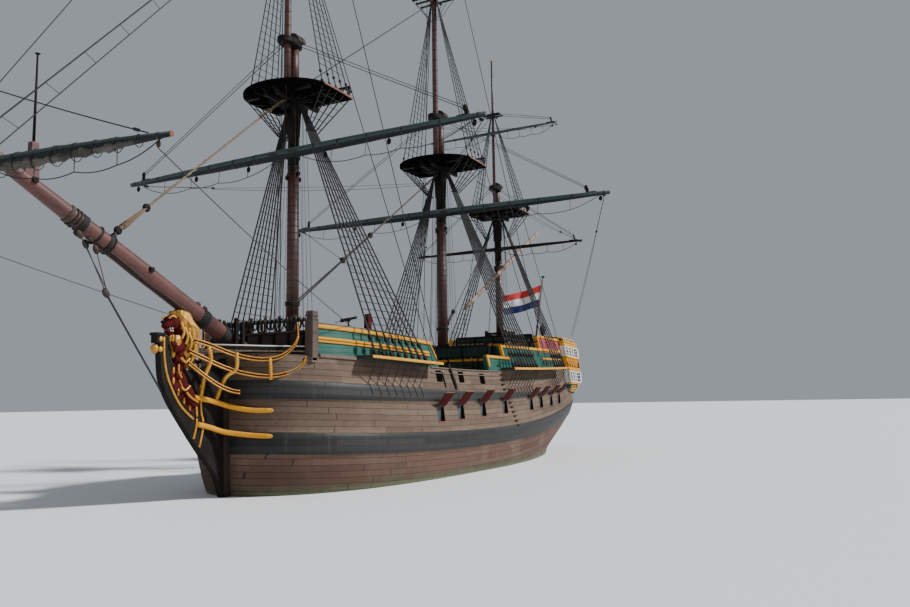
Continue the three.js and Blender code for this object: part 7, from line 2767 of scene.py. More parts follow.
@dataclass
class Stays:
    """Fore-and-aft stays with their collars, hearts and lanyards."""

    fore_foot: float = 26.8  # station of the fore stay's collar on the bowsprit

    def build(self, yard: Yard) -> None:
        """Builds the stays; the three great ones stand for their solids."""
        hearts = Repeats(yard, deadeye_shape(0.2, 0.18), "black_paint")
        collars = Cordage(yard, 6)
        self.fore(yard, hearts, collars)
        self.abaft(yard, hearts, collars)
        hearts.fit("stay_hearts")
        collars.rig("stay_collars", "tarred_hemp")
        self.light(yard)

    @staticmethod
    def laid(p: Point, q: Point, apart: float, turns: float, r: float, ropes: Cordage) -> None:
        """Two strands laid round each other between two points."""
        p, q = np.asarray(p, float), np.asarray(q, float)
        run = unit(q - p)
        side = np.array([0, 1, 0])
        up = np.cross(run, side)
        n = max(24, int(np.linalg.norm(q - p) * turns))
        for phase in (0, np.pi):
            path = []
            for k in range(n + 1):
                a = phase + 2 * np.pi * k / 6
                path.append(p + (q - p) * k / n + apart * (side * math.cos(a) + up * math.sin(a)))
            ropes.line(*path, r=r)

    def fore(self, yard: Yard, hearts: Repeats, collars: Cordage) -> None:
        """The fore stay with its mouse, its lanyard and the collars on the bowsprit."""
        fore = Cordage(yard, 6)
        along = (self.fore_foot - BOWSPRIT_ROOT[0]) / BOWSPRIT_RUN[0]
        foot = BOWSPRIT_ROOT + BOWSPRIT_RUN * along - BOWSPRIT_DOWN * (bowsprit_radius(10.3) + 0.04)
        head = np.array([15.6, 0, 21.02])
        run = unit(head - foot)
        self.laid(foot + run * 2.5, head, 0.03, 7, 0.036, fore)
        mouse = foot + run * 12.9
        for k, r in enumerate((0.055, 0.11, 0.13, 0.11, 0.055)):
            fore.line(mouse + run * (0.07 * k), mouse + run * (0.07 * (k + 1)), r=r)
        for side in SIDES:
            fore.line(head - run * 0.5, head + [0, 0.16 * side, -0.06], r=0.04)
        fore.rig("fore_stay_rope", "tan_hemp", replaces=["fore_stay"])
        lanyard = Cordage(yard, 5)
        rounds = []
        for k in range(9):
            a = k * np.pi / 4
            rounds.append(0.2 * math.cos(a) * np.array([0, 1, 0]) + 0.1 * math.sin(a) * np.cross(run, [0, 1, 0]))
        for wide in rounds[:8]:
            lanyard.line(foot + run * 0.55 + wide * 0.5, foot + run * 0.85 + wide, foot + run * 2.3 + wide * 0.35,
                         r=0.034)
        for t in np.linspace(0.7, 1.0, 6):
            lanyard.line(*[foot + run * (t + 0.01 * k) + wide for k, wide in enumerate(rounds)], r=0.03)
        lanyard.rig("fore_stay_lanyard", "tan_hemp")
        hearts.at(foot + run * 2.4, [0, 1, 0], run).at(foot + run * 0.45, [0, 1, 0], run)
        for k in range(2):
            collars.line(*self.sprit_loop(self.fore_foot - 0.1 * k, foot + run * 0.3), r=0.04)
        for x in (27.35, 28.35, 28.5):
            collars.line(*self.sprit_loop(x, None), r=0.045)

    def abaft(self, yard: Yard, hearts: Repeats, collars: Cordage) -> None:
        """The main stay and the mizzen stay: two strands above, a lanyard between hearts, a collar below."""
        for mast, z0, ahead, z1, r, lay, near, far in ((MAIN, 21.1, FORE, 9.8, 0.05, 9.0, 5.2, 8.8),
                                                       (MIZZEN, 19.1, MAIN, 9.6, 0.032, 1.9, 0.5, 1.8)):
            ropes, name = Cordage(yard, 6), mast.name + "_stay"
            high = np.array([mast.x + mast.radius(z0), 0, z0])
            low = np.array([ahead.x - ahead.radius(z1) - 0.06, 0, z1 + 0.12])
            way = unit(high - low)
            ropes.line(*self.loop(mast, z0 + 0.1), r=0.055)
            self.laid(low + way * lay, high, r * 0.6, 7, r * 0.7, ropes)
            for k in range(6):
                y = (k - 2.5) * 0.05
                ropes.line(low + way * (near + 0.1) + [0, y, 0], low + way * (far - 0.1) + [0, y, 0], r=0.018)
            collars.line(*self.loop(ahead, z1 + 0.02), r=0.05).line(*self.loop(ahead, z1 - 0.1), r=0.05)
            for side in SIDES:
                collars.line(low + [0, 0.12 * side, 0], low + way * (near - 0.1) + [0, 0.05 * side, 0], r=0.04)
            hearts.at(low + way * near, [0, 1, 0], way).at(low + way * far, [0, 1, 0], way)
            ropes.rig(name + "_rope", "brown_hemp", replaces=[name])

    @staticmethod
    def loop(m: Stick, z: float) -> list[np.ndarray]:
        """A loop of rope round a mast."""
        r = m.radius(z) + 0.035
        return [np.array([m.x + r * math.cos(a), r * math.sin(a), z]) for a in np.linspace(0, 2 * np.pi, 19)]

    @staticmethod
    def sprit_loop(x: float, heart: Any) -> list[np.ndarray]:
        """A loop of rope round the bowsprit, drawn up to a heart where one is given."""
        s = (x - BOWSPRIT_ROOT[0]) / BOWSPRIT_RUN[0]
        r = bowsprit_radius(s) + 0.035
        ring = []
        for a in np.linspace(0.5, 2 * np.pi - 0.5, 17) if heart is not None else np.linspace(0, 2 * np.pi, 19):
            ring.append(BOWSPRIT_ROOT + BOWSPRIT_RUN * s - BOWSPRIT_DOWN * r * math.cos(a)
                        + np.array([0, r * math.sin(a), 0]))
        return [heart, *ring, heart] if heart is not None else ring

    def light(self, yard: Yard) -> None:
        """Topmast and topgallant stays."""
        ropes = Cordage(yard, 5)
        tip = lambda s: BOWSPRIT_ROOT + BOWSPRIT_RUN * s - BOWSPRIT_DOWN * (bowsprit_radius(s) + 0.02)
        at = lambda m, z: np.array([m.topmast_x + m.topmast_r(min(z, m.top_head or z)), 0, z])
        ropes.line(at(FORE, FORE.cross - 0.2), tip(BOWSPRIT_LENGTH - 0.9), r=0.035)
        ropes.line(at(FORE, FORE.cross - 0.6) + [0, 0.12, 0], tip(BOWSPRIT_LENGTH - 1.6) + [0, 0.15, 0], r=0.025)
        ropes.line(at(FORE, 42.0), tip(BOWSPRIT_LENGTH - 0.3), r=0.022)
        ropes.line(at(MAIN, MAIN.cross - 0.2), [FORE.x - FORE.radius(FORE.top_z) - 0.05, 0, FORE.top_z + 0.6],
                   r=0.035)
        ropes.line(at(MAIN, 44.5), [FORE.topmast_x - FORE.topmast_r(33), 0, FORE.cross - 0.1], r=0.022)
        ropes.line(at(MIZZEN, MIZZEN.cross), [MAIN.x - MAIN.radius(MAIN.top_z) - 0.05, 0, MAIN.top_z - 0.5],
                   r=0.026)
        for z in np.linspace(0.55, 0.95, 5):
            a = at(FORE, FORE.cross - 0.2) * (1 - z) + tip(BOWSPRIT_LENGTH - 0.9) * z
            b = at(FORE, FORE.cross - 0.6) * (1 - z) + tip(BOWSPRIT_LENGTH - 1.6) * z + [0, 0.13, 0]
            ropes.line(a, b, r=0.014)
        ropes.rig("topmast_stays", "tarred_hemp")


@dataclass
class RunningGear:
    """Lifts and braces, which reach from the ship to the yards."""

    def build(self, yard: Yard) -> None:
        """Builds the lifts and braces of every square yard."""
        for y in SQUARE_YARDS:
            self.lifts(yard, y)
            self.braces(yard, y)
        self.sprit(yard)
        self.lateen(yard)
        self.fixed(yard)

    @staticmethod
    def span(yard: Yard, name: str, ropes: Cordage, body: str, start: Point, end: Point,
             finish: str = "tarred_hemp") -> None:
        """Makes one set of ropes, left where it is made."""
        obj = ropes.rope(name, finish)
        tuple(float(v) * SCALE for v in start)
        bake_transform(obj)
        yard.hand_over(obj, Part.ROPE, "")

    def lifts(self, yard: Yard, y: YardSpar) -> None:
        """The lifts from the cap, or the topmast head, to the yardarms."""
        m = y.mast
        high = (m.cross if y.upper else m.head - 0.35)
        ropes = Cordage(yard, 5)
        for side in SIDES:
            top = np.array([m.topmast_x, side * 0.42, high])
            s = side * y.lift_at * y.half
            end = y.at(s, -y.thick(s) - 0.26)
            ropes.line(top, end, r=0.02, steps=14)
            ropes.line(top + [0.06, 0.05 * side, 0.16], end + [0.03, 0, 0.12], r=0.018, steps=14)
        self.span(yard, y.node + "_lifts", ropes, y.node, [y.mast_x, 0, high], [y.mast_x, 0, y.z + 0.2])

    def braces(self, yard: Yard, y: YardSpar) -> None:
        """The braces from the yardarms to the mast or the side abaft them."""
        high = {
            "fore_yard": [MAIN.x + 0.6, 0.5, 20.4], "main_yard": [-15.9, 4.95, 9.6],
            "crossjack_yard": [-4.5, 1.9, 20.9], "mizzen_topsail_yard": [MIZZEN.x + 10.2, 0.3, 24.6],
        }[y.node]
        ropes = Cordage(yard, 5)
        for side in SIDES:
            s = np.array([1, side, 1])
            arm = side * y.brace_at * y.half
            end = y.at(arm, 0, -y.thick(arm) - 0.62)
            target = np.asarray(high) * s
            purchase = mix(end, target, 0.2) - [0, 0, 0.15]
            ropes.line(end, purchase, r=0.024, steps=4)
            way = unit(purchase - end)
            for step, r in ((-1, 0.05), (0, 0.085), (1, 0.05)):
                ropes.line(purchase + way * 0.06 * step, purchase + way * (0.06 * step + 0.09), r=r)
            ropes.line(target, purchase, r=0.014, sag=0.1, steps=14)
            ropes.line(target + np.array([0.04, 0.09, -0.12]) * s, purchase - [0, 0, 0.08], r=0.014, sag=0.25,
                       steps=14)
        self.span(yard, y.node + "_braces", ropes, y.node, [high[0], 0, y.z], [y.mast_x, 0, y.z])

    def sprit(self, yard: Yard) -> None:
        """The spritsail yard's lifts to the bowsprit's end and its braces to the fore stay."""
        spar = SpritsailYard()
        ropes = Cordage(yard, 5)
        top = BOWSPRIT_END + np.array([-0.35, 0, 1.65])
        for side in SIDES:
            s = side * spar.lift_at * spar.half
            end = spar.at(s, spar.thick(s) + 0.03)
            ropes.line(top + [0, 0.1 * side, 0], end, r=0.024, sag=0.06, steps=14)
            for t in (0.045, 0.06):
                ropes.line(end + (top - end) * t, end + (top - end) * (t + 0.012), r=0.06)
        self.span(yard, "spritsail_yard_lifts", ropes, "spritsail_yard", [top[0], 0.0, 0], [top[0], 8.0, 0])
        braces = Cordage(yard, 5)
        for side in SIDES:
            s = side * spar.brace_at * spar.half
            end = spar.at(s, -spar.thick(s) - 0.3)
            braces.line(np.array([14.6, 3.95 * side, 8.22]), end, r=0.018, sag=0.15, steps=16)
        self.span(yard, "spritsail_yard_braces", braces, "spritsail_yard", [14.6, 0, 8.2], [31.6, 0, 8.2])

    @staticmethod
    def lateen(yard: Yard) -> None:
        """The halyard of the lateen yard, made fast to the ship."""
        spar = Lateen()
        t = (MIZZEN.x - spar.low[0]) / (spar.high[0] - spar.low[0])
        pin = spar.at(t)
        ropes = Cordage(yard, 5)
        out = MIZZEN.radius(19) + 0.12
        for aft, up in ((0.32, 0.37), (0.22, 0.31)):
            ropes.line(pin + [-aft, 0, up], [MIZZEN.x - aft, out, MIZZEN.top_z - 0.6], r=0.022, steps=6)
        ropes.rig("lateen_yard_halyard", "tarred_hemp")

    @staticmethod
    def fixed(yard: Yard) -> None:
        """Halyards, clew lines and other falls that hang beside the masts."""
        ropes = Cordage(yard, 4)
        for m, aft, n in ((FORE, 0.0, 6), (MAIN, 0.0, 6), (MIZZEN, 0.5, 3)):
            for side in SIDES:
                for k in range(n):
                    foot = [m.x + 0.75 - 0.28 * k, side * (0.7 + 0.1 * (k % 3)), m.foot + 0.95]
                    head = [m.x + 0.3 - aft - 0.15 * k, side * (0.38 + 0.08 * (k % 2)), m.top_z - 0.42]
                    ropes.line(foot, head, r=0.012)
        ropes.rig("mast_falls", "brown_hemp")


# Deck fittings and colours.


@dataclass
class DeckFittings:
    """Capstan, bulkhead faces, rails, ladders, gratings, skylight, swivel guns, stern lantern and coils of rope."""

    capstan_x: float = -6.2

    def build(self, yard: Yard) -> None:
        """Builds the fittings."""
        self.capstan(yard)
        self.bulkheads(yard)
        self.rails(yard)
        self.furniture(yard)
        self.guns(yard)
        self.lantern(yard)
        self.coils(yard)

    @staticmethod
    def coils(yard: Yard) -> None:
        """The pin rail abaft the beakhead, and coils of rope hung on it and on the rails round the masts."""
        coil = Shape()
        for k in range(3):
            coil.tube([[0.04 * k - 0.04, (0.12 + 0.015 * k) * math.cos(a), (0.26 + 0.02 * k) * math.sin(a) - 0.22]
                       for a in np.linspace(0, 2 * np.pi, 10)], 0.022, 5, 0)
        dark, pale = Repeats(yard, coil, "tarred_hemp"), Repeats(yard, coil, "brown_hemp")
        pins, x = Shape(), FORE_END - 0.25
        pins.box([x - 0.07, -2.9, 8.5], [x + 0.07, 2.9, 8.6], 0)
        for y in np.linspace(-2.85, 2.85, 7):
            pins.box([x - 0.06, y - 0.06, 7.6], [x + 0.06, y + 0.06, 8.85], 0)
        for k in range(19):
            y = mix(-2.6, 2.6, k / 18)
            size = 0.85 + 0.35 * math.sin(7.1 * k + 1) ** 2
            (dark if k % 3 else pale).at([x + 0.12, y, 8.62], [1, 0.2 * math.sin(k), 0],
                                         (0, 0.1 * math.sin(3 * k), 1), size)
            pins.spar([x, y, 8.4], [x, y, 8.8], [(0, 0.02), (0.2, 0.022), (0.4, 0.03)], 6, 1)
        for m in (FORE, MAIN, MIZZEN):
            for side in SIDES:
                for k in range(0, 8, 2):
                    (dark if k % 4 else pale).at([m.x - 0.75 + 0.2 * k, side * 0.97, m.foot + 1.0], [0, 1, 0])
        dark.fit("rope_coils_dark", Part.ROPE)
        pale.fit("rope_coils_pale", Part.ROPE)
        yard.piece("beakhead_pin_rail", pins, ["dark_oak", "post_oak"], Part.OAK)

    def capstan(self, yard: Yard) -> None:
        """The capstan: whelps round a barrel under a drumhead with its bar holes."""
        x, z = self.capstan_x, DECK["quarter"] + 0.01
        shape = Shape()
        shape.spar([x, 0, z], [x, 0, z + 0.2], [(0, 0.6), (0.12, 0.62), (0.2, 0.5)], 24, 0)
        shape.spar([x, 0, z + 0.18], [x, 0, z + 0.86], [(0, 0.3), (0.68, 0.24)], 20, 0)
        for k in range(8):
            a = 2 * math.pi * k / 8
            frame = frame_of([x, 0, z], [math.cos(a), math.sin(a), 0], [-math.sin(a), math.cos(a), 0], [0, 0, 1])
            outline = [(0.2, 0.18), (0.44, 0.2), (0.33, 0.5), (0.35, 0.86), (0.2, 0.86)]
            shape.prism([within(frame, u, -0.05, v) for u, v in outline], [0, 0, 0], frame[:3, 1] * 0.1, 1)
            shape.box([0.35, -0.06, 0.92], [0.51, 0.06, 1.0], 2, frame)
        shape.spar([x, 0, z + 0.84], [x, 0, z + 1.07], [(0, 0.48), (0.05, 0.5), (0.18, 0.5), (0.23, 0.44)], 28, 0)
        yard.piece("capstan_dressed", shape, ["dark_oak", "post_oak", "black_iron"], Part.MAROON, "capstan",
                   ["capstan"])

    @staticmethod
    def bulkheads(yard: Yard) -> None:
        """The painted faces of the three bulkheads, with their doors, windows and pilasters."""
        shape = Shape()
        for x, way, low, high in ((BREAK["forecastle"] - 0.142, -1, DECK["waist"], DECK["forecastle"]),
                                  (BREAK["quarter"] + 0.142, 1, DECK["waist"], DECK["quarter"]),
                                  (BREAK["poop"] + 0.002, 1, DECK["quarter"], DECK["poop"])):
            half = float(FORM.half(x, low + 0.8)) - FORM.wall - 0.06
            face = lambda out: sorted((x, x + way * out))
            a, b = face(0.03)
            shape.box([a, -half, low + 0.02], [b, half, high - 0.01], 0)
            a, b = face(0.07)
            for y in np.linspace(-half + 0.08, half - 0.08, 9):
                shape.box([a, y - 0.07, low + 0.02], [b, y + 0.07, high - 0.01], 1)
            shape.box([a, -half, high - 0.16], [b, half, high - 0.02], 2)
            for side in SIDES:
                for y, wide, top, mark in ((half * 0.31, 0.36, 1.75, 3), (half * 0.81, 0.3, 1.1, 4)):
                    base = low + (0.04 if mark == 3 else 0.7)
                    peak = min(low + top, high - 0.2)
                    if peak < base + 0.2:
                        continue
                    shape.box([a, side * y - wide, base], [b - 0.01, side * y + wide, peak], mark)
        yard.piece("bulkhead_faces", shape,
                   ["dark_green", "black_paint", "yellow_paint", "dark_oak", "window_glass"], Part.GREEN)

    @staticmethod
    def rails(yard: Yard) -> None:
        """Balustrades at the breaks of the decks, with pin rails round the masts."""
        shape = Shape()
        for x, deck, reach, top in ((8.68, DECK["forecastle"], 3.9, 0.95), (-1.4, DECK["quarter"], 4.1, 0.9),
                                    (BREAK["poop"] - 0.15, DECK["poop"], 3.6, 0.6)):
            half = min(float(FORM.half(x, deck + 0.4)) - 0.5, reach)
            for k in range(17):
                y = mix(-half, half, k / 16)
                if x > 8 and abs(y) < 1.1:
                    continue
                thick = 0.07 if k % 4 == 0 else 0.04
                shape.box([x - thick, y - thick, deck + 0.005], [x + thick, y + thick, deck + top],
                          0 if k % 4 == 0 else 1)
            pieces = ((-half, -1.1), (1.1, half)) if x > 8 else ((-half, half),)
            for a, b in pieces:
                shape.box([x - 0.09, a, deck + top - 0.02], [x + 0.09, b, deck + top + 0.07], 0)
                shape.box([x - 0.09, a, deck + 0.12], [x + 0.09, b, deck + 0.18], 0)
                if x < 8:
                    shape.box([x - 0.03, a, deck + 0.14], [x + 0.03, b, deck + top - 0.01], 3)
        for m in (FORE, MAIN, MIZZEN):
            z = m.foot
            for side in SIDES:
                for dx in (0.85, -0.95):
                    shape.box([m.x + dx - 0.1, side * 0.85 - 0.1, z + 0.005],
                              [m.x + dx + 0.1, side * 0.85 + 0.1, z + 1.15], 0)
                shape.box([m.x - 1.1, side * 0.85 - 0.07, z + 0.85], [m.x + 1.0, side * 0.85 + 0.07, z + 0.97], 1)
                for k in range(8):
                    x = m.x - 0.75 + 0.2 * k
                    pin = [(0, 0.02), (0.25, 0.025), (0.4, 0.018)]
                    shape.spar([x, side * 0.85, z + 0.7], [x, side * 0.85, z + 1.1], pin, 6, 2)
            shape.box([m.x + 0.76, -0.9, z + 0.85], [m.x + 0.94, 0.9, z + 0.98], 0)
        yard.piece("deck_rails", shape, ["black_paint", "dark_oak", "pale_spar", "dark_green"], Part.BLACK)

    def furniture(self, yard: Yard) -> None:
        """Gratings, ladders between the decks and a skylight."""
        shape = Shape()
        self.gratings(shape)
        self.ladders(shape)
        shape.box([-17.6, -0.7, DECK["poop"] + 0.002], [-15.9, 0.7, DECK["poop"] + 0.45], 2)
        for x in np.linspace(-17.4, -16.1, 5):
            shape.box([x - 0.02, -0.74, DECK["poop"] + 0.12], [x + 0.02, 0.74, DECK["poop"] + 0.5], 0)
        yard.piece("deck_furniture", shape, ["dark_oak", "grey_planks", "window_glass"], Part.OAK)

    @staticmethod
    def gratings(shape: Shape) -> None:
        """Hatch gratings in their coamings."""
        for x0, x1, half, z in ((9.6, 12.6, 0.9, DECK["forecastle"]), (0.6, 6.8, 1.3, DECK["waist"]),
                                (-9.8, -8.0, 0.85, DECK["quarter"])):
            shape.box([x0, -half, z + 0.002], [x1, half, z + 0.14], 0)
            for k in range(int((x1 - x0 - 0.2) / 0.16)):
                x = x0 + 0.14 + 0.16 * k
                shape.box([x, -half + 0.1, z + 0.1], [x + 0.07, half - 0.1, z + 0.165], 1)
            for k in range(int((2 * half - 0.2) / 0.16)):
                y = -half + 0.13 + 0.16 * k
                shape.box([x0 + 0.1, y, z + 0.1], [x1 - 0.1, y + 0.07, z + 0.16], 1)
            for a, b, c, d in ((x0, -half, x1, -half + 0.1), (x0, half - 0.1, x1, half),
                               (x0, -half, x0 + 0.1, half), (x1 - 0.1, -half, x1, half)):
                shape.box([a, b, z + 0.1], [c, d, z + 0.22], 0)

    @staticmethod
    def ladders(shape: Shape) -> None:
        """A pair of ladders at each break of the decks."""
        for x, way, low, high, reach in ((BREAK["forecastle"] - 0.16, -1, DECK["waist"], DECK["forecastle"], 2.7),
                                         (BREAK["quarter"] + 0.05, 1, DECK["waist"], DECK["quarter"], 2.7),
                                         (BREAK["poop"] + 0.05, 1, DECK["quarter"], DECK["poop"], 2.4)):
            start, end = x + way * 0.02, x + way * 1.1
            for side in SIDES:
                for y in (reach - 0.36, reach + 0.36):
                    shape.sweep([np.array([start, side * y, high - 0.05]), np.array([end, side * y, low + 0.02])],
                                rounded_bar(0.035, 0.12, 0.4), 0, smooth=False)
                steps = int((high - low) / 0.27)
                for k in range(1, steps):
                    px, pz = mix(start, end, k / steps), mix(high, low, k / steps)
                    shape.box([px - 0.11, side * reach - 0.34, pz - 0.03], [px + 0.11, side * reach + 0.34, pz], 1)

    @staticmethod
    def guns(yard: Yard) -> None:
        """Swivel guns on the forecastle and quarter rails."""
        shape = Shape()
        for x in (14.9, -7.6, -9.4):
            for side in SIDES:
                z = 8.32 if x > 0 else 8.45
                y = side * (float(FORM.half(x, z)) - 0.14)
                shape.spar([x, y, z - 0.25], [x, y, z + 0.28], [(0, 0.06), (0.5, 0.04)], 10, 1)
                shape.box([x - 0.04, y - 0.1, z + 0.24], [x + 0.04, y + 0.1, z + 0.3], 1)
                tail, nose = np.array([x, y - side * 0.5, z + 0.3]), np.array([x, y + side * 0.5, z + 0.42])
                barrel = [(0, 0.05), (0.04, 0.1), (0.5, 0.075), (0.9, 0.06), (0.93, 0.085), (1.0, 0.08)]
                shape.spar(tail, nose, barrel, 14, 0)
                shape.tube([tail, tail - [0, side * 0.35, 0.08]], 0.018, 6, 1)
        for side in SIDES:
            y = side * (float(FORM.half(13.5, 8.2)) - 0.14)
            shape.box([13.3, y - 0.14, 7.9], [13.62, y + 0.14, 9.0], 2)
            shape.box([13.27, y - 0.16, 8.1], [13.5, y + 0.12, 9.06], 3)
        yard.piece("swivel_guns", shape, ["gun_bronze", "black_iron", "maroon_paint", "black_paint"], Part.BLACK)

    @staticmethod
    def lantern(yard: Yard) -> None:
        """The great lantern at the taffrail, six-sided, on its iron arm."""
        shape, size = Shape(), 0.85
        x, z = -22.05, 10.35
        foot, top = z + 0.1, z + 0.1 + 0.75 * size
        shape.tube(smooth_path([(x, 0, 9.0), (x + 0.1, 0, 9.8), (x, 0, z)], 5), 0.05, 8, 0)
        shape.spar([x, 0, z - 0.02], [x, 0, foot], [(0, 0.1 * size), (0.1, 0.24 * size)], 6, 0)
        shape.spar([x, 0, foot], [x, 0, top], [(0, 0.22 * size), (0.75 * size, 0.34 * size)], 6, 1)
        for a in np.arange(6) * math.pi / 3:
            out = size * np.array([math.cos(a), math.sin(a), 0])
            shape.tube([out * 0.225 + [x, 0, foot], out * 0.345 + [x, 0, top]], 0.02, 5, 0)
        shape.spar([x, 0, top], [x, 0, top + 0.45 * size], [
            (0, 0.38 * size), (0.12 * size, 0.3 * size), (0.26 * size, 0.12 * size), (0.45 * size, 0.03)], 6, 2)
        shape.ball([x, 0, top + 0.47 * size], [0.06, 0.06, 0.07], 2, 5, 8)
        yard.piece("stern_lantern", shape, ["black_iron", "window_glass", "gun_bronze"], Part.GOLD)


@dataclass
class Colours:
    """The ensign on its staff."""

    foot: tuple = (-19.95, 8.96)
    top: tuple = (-22.53, 16.05)
    r: float = 0.09

    def on_staff(self, z: float) -> np.ndarray:
        """A point on the staff."""
        return np.array([mix(self.foot[0], self.top[0], (z - 8.95) / (self.top[1] - 8.95)), 0, z])

    def build(self, yard: Yard) -> None:
        """Builds the staff and the flag."""
        shape = Shape()
        a, b = np.array([self.foot[0], 0, 8.97]), np.array([self.top[0], 0, self.top[1]])
        length = float(np.linalg.norm(b - a))
        shape.spar(a, b, [(0, self.r), (length * 0.5, self.r * 0.85), (length, self.r * 0.6)], 14, 0)
        shape.ball(b - [0, 0, 0.09], [0.17, 0.17, 0.09], 1, 6, 12)
        for z in (9.6, 11.0):
            r = self.r + 0.02
            shape.spar(self.on_staff(z), self.on_staff(z + 0.15), [(0, r), (0.15, r)], 12, 1)
        yard.piece("ensign_staff_dressed", shape, ["post_oak", "black_paint"], Part.TAN, replaces=["ensign_staff"])
        self.flag(yard)

    def flag(self, yard: Yard) -> None:
        """The flag: a thin cloth blown forward and to starboard in folds."""
        across, down = 48, 24
        u, v = np.meshgrid(np.linspace(0, 1, across), np.linspace(0, 1, down), indexing="ij")
        way, aside = np.array([0.469, -0.883, 0.0]), np.array([0.883, 0.469, 0.0])
        low, high = self.on_staff(13.02), self.on_staff(15.18)
        hoist = low + (high - low) * v[..., None] + way * 0.09
        fly_low, fly_high = low + way * 3.35 - [0, 0, 0.78], high + way * 3.85 - [0, 0, 0.98]
        fly = fly_low + (fly_high - fly_low) * v[..., None]
        p = hoist * (1 - u[..., None]) + fly * u[..., None]
        wave = u ** 0.7
        p = p + aside * (wave * (0.19 * np.sin(7.2 * u + 1.4 * v) + 0.09 * np.sin(14 * u - 2.2 * v)
                                 + 0.03 * np.sin(25 * u + 6 * v)))[..., None]
        p[..., 2] += -0.16 * np.sin(np.pi * u) * (0.4 + 0.6 * v) + 0.05 * wave * np.sin(9 * u + 3 * v)
        du = np.gradient(p, axis=0)
        dv = np.gradient(p, axis=1)
        normal = np.cross(du, dv)
        normal /= np.linalg.norm(normal, axis=2, keepdims=True)
        thick = 0.006
        front, back = p + normal * thick, p - normal * thick
        n = across * down
        verts = np.concatenate([front.reshape(-1, 3), back.reshape(-1, 3)])
        index = np.arange(n).reshape(across, down)
        faces = []
        for i in range(across - 1):
            for j in range(down - 1):
                a, b, c, d = index[i, j], index[i + 1, j], index[i + 1, j + 1], index[i, j + 1]
                faces += [(a, b, c, d), (n + d, n + c, n + b, n + a)]
        rim = [*index[:, 0], *index[-1, 1:], *index[-2::-1, -1], *index[0, -2:0:-1]]
        for a, b in zip(rim, rim[1:] + rim[:1]):
            faces.append((b, a, n + a, n + b))
        shape = Shape().add(verts, [tuple(int(i) for i in f) for f in faces], 0, True)
        obj = yard.mesh("ensign_cloth", shape, ["flag_bunting"])
        data = obj.data.attributes.new("hoist", "FLOAT", "POINT")
        data.data.foreach_set("value", np.concatenate([v.reshape(-1), v.reshape(-1)]))
        yard.hand_over(obj, Part.CLOTH, "ship", ["ensign"])


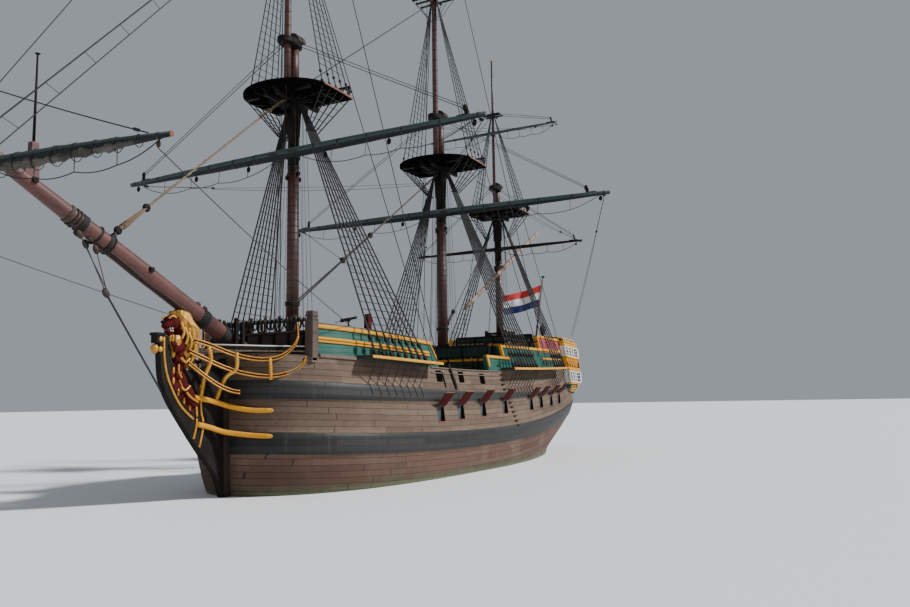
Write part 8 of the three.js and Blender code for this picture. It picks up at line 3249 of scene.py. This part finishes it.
@dataclass
class Studio:
    """The pale floor at the waterline, the lights and the camera."""

    place: tuple = (24.985, 14.24, 2.185)
    turn: float = 0.48256
    pitch: float = 0.11802
    roll: float = -0.016178
    focal: float = 822.24
    width: float = 910.0  # breadth of the picture that the focal length belongs to
    sensor: float = 36.0

    def build(self) -> None:
        """Sets up the floor, the lights and the camera."""
        self.floor()
        self.lights()
        self.camera()

    def floor(self) -> None:
        """A plain pale floor at the water's level."""
        data = bpy.data.meshes.new("floor")
        reach = 400
        data.from_pydata([(-reach, -reach, 0), (reach, -reach, 0), (reach, reach, 0), (-reach, reach, 0)], [],
                         [(0, 1, 2, 3)])
        material = bpy.data.materials.new("studio_floor")
        material.use_nodes = True
        shader = material.node_tree.nodes["Principled BSDF"]
        shader.inputs["Base Color"].default_value = (0.72, 0.73, 0.74, 1)
        shader.inputs["Roughness"].default_value = 0.9
        data.materials.append(material)
        obj = bpy.data.objects.new("floor", data)
        bpy.context.scene.collection.objects.link(obj)

    def lights(self) -> None:
        """A broad dim sky, a soft sun from the port quarter and a faint fill from ahead."""
        world = bpy.data.worlds.new("sky")
        world.use_nodes = True
        back = world.node_tree.nodes["Background"]
        back.inputs["Color"].default_value = (0.78, 0.85, 0.95, 1)
        back.inputs["Strength"].default_value = 0.4
        bpy.context.scene.world = world
        for name, energy, angle, aim in (("key", 5.4, 5, (0.42, -0.75, -0.72)),
                                         ("fill", 0.15, 40, (-0.8, -0.3, -0.5))):
            lamp = bpy.data.lights.new(name, "SUN")
            lamp.energy, lamp.angle = energy, math.radians(angle)
            obj = bpy.data.objects.new(name, lamp)
            obj.rotation_euler = Vector(aim).to_track_quat("-Z", "Y").to_euler()
            bpy.context.scene.collection.objects.link(obj)

    def camera(self) -> None:
        """The camera at the photo's place and angle."""
        d = np.array([-math.cos(self.turn) * math.cos(self.pitch), -math.sin(self.turn) * math.cos(self.pitch),
                      math.sin(self.pitch)])
        r = np.array([-math.sin(self.turn), math.cos(self.turn), 0])
        u = np.cross(r, d)
        right = r * math.cos(self.roll) + u * math.sin(self.roll)
        up = u * math.cos(self.roll) - r * math.sin(self.roll)
        lens = bpy.data.cameras.new("camera")
        lens.sensor_fit, lens.sensor_width = "HORIZONTAL", self.sensor
        lens.lens = self.sensor * self.focal / self.width
        lens.clip_end = 500
        obj = bpy.data.objects.new("camera", lens)
        turn = Matrix([right, up, -d]).transposed().to_4x4()
        obj.matrix_world = Matrix.Translation(self.place) @ turn
        bpy.context.scene.collection.objects.link(obj)
        bpy.context.scene.camera = obj


@dataclass
class CarriedOver:
    """Solids that stay as they are and get a finish of their own."""

    finishes: tuple = (
        ("keel", "dark_oak"), ("forecastle_deck", "deck_planking"), ("quarterdeck", "deck_planking"),
        ("poop_deck", "deck_planking"), ("rudder", "dark_oak"),
    )

    def build(self, yard: Yard, frame: Any) -> None:
        """Gives each of them its finish."""
        for name, finish in self.finishes:
            obj = frame["nodes"][name]
            obj.data.materials.clear()
            obj.data.materials.append(yard.finishes[finish])


def main() -> None:
    """Builds the ship from the hull up, then the studio, and notes its size."""
    logging.basicConfig(level=logging.INFO, format="%(message)s")
    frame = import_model()
    yard = Yard(Finishes().prepare())
    for maker in (Hull(), PortLids(), Bulwarks(), Channels(), Head(), Lion(), Galleries(), Stern(),
                  Masts(), Bowsprit(), Yards(), SpritsailYard(), Lateen(), Stays(), Shrouds(), RunningGear(),
                  DeckFittings(), Colours()):
        before = set(yard.tally)
        maker.build(yard)
        for name, triangles in yard.tally.items():
            if name not in before:
                log.info("%s: %d triangles", name, triangles)
    CarriedOver().build(yard, frame)
    Studio().build()


if __name__ == "__main__":
    main()
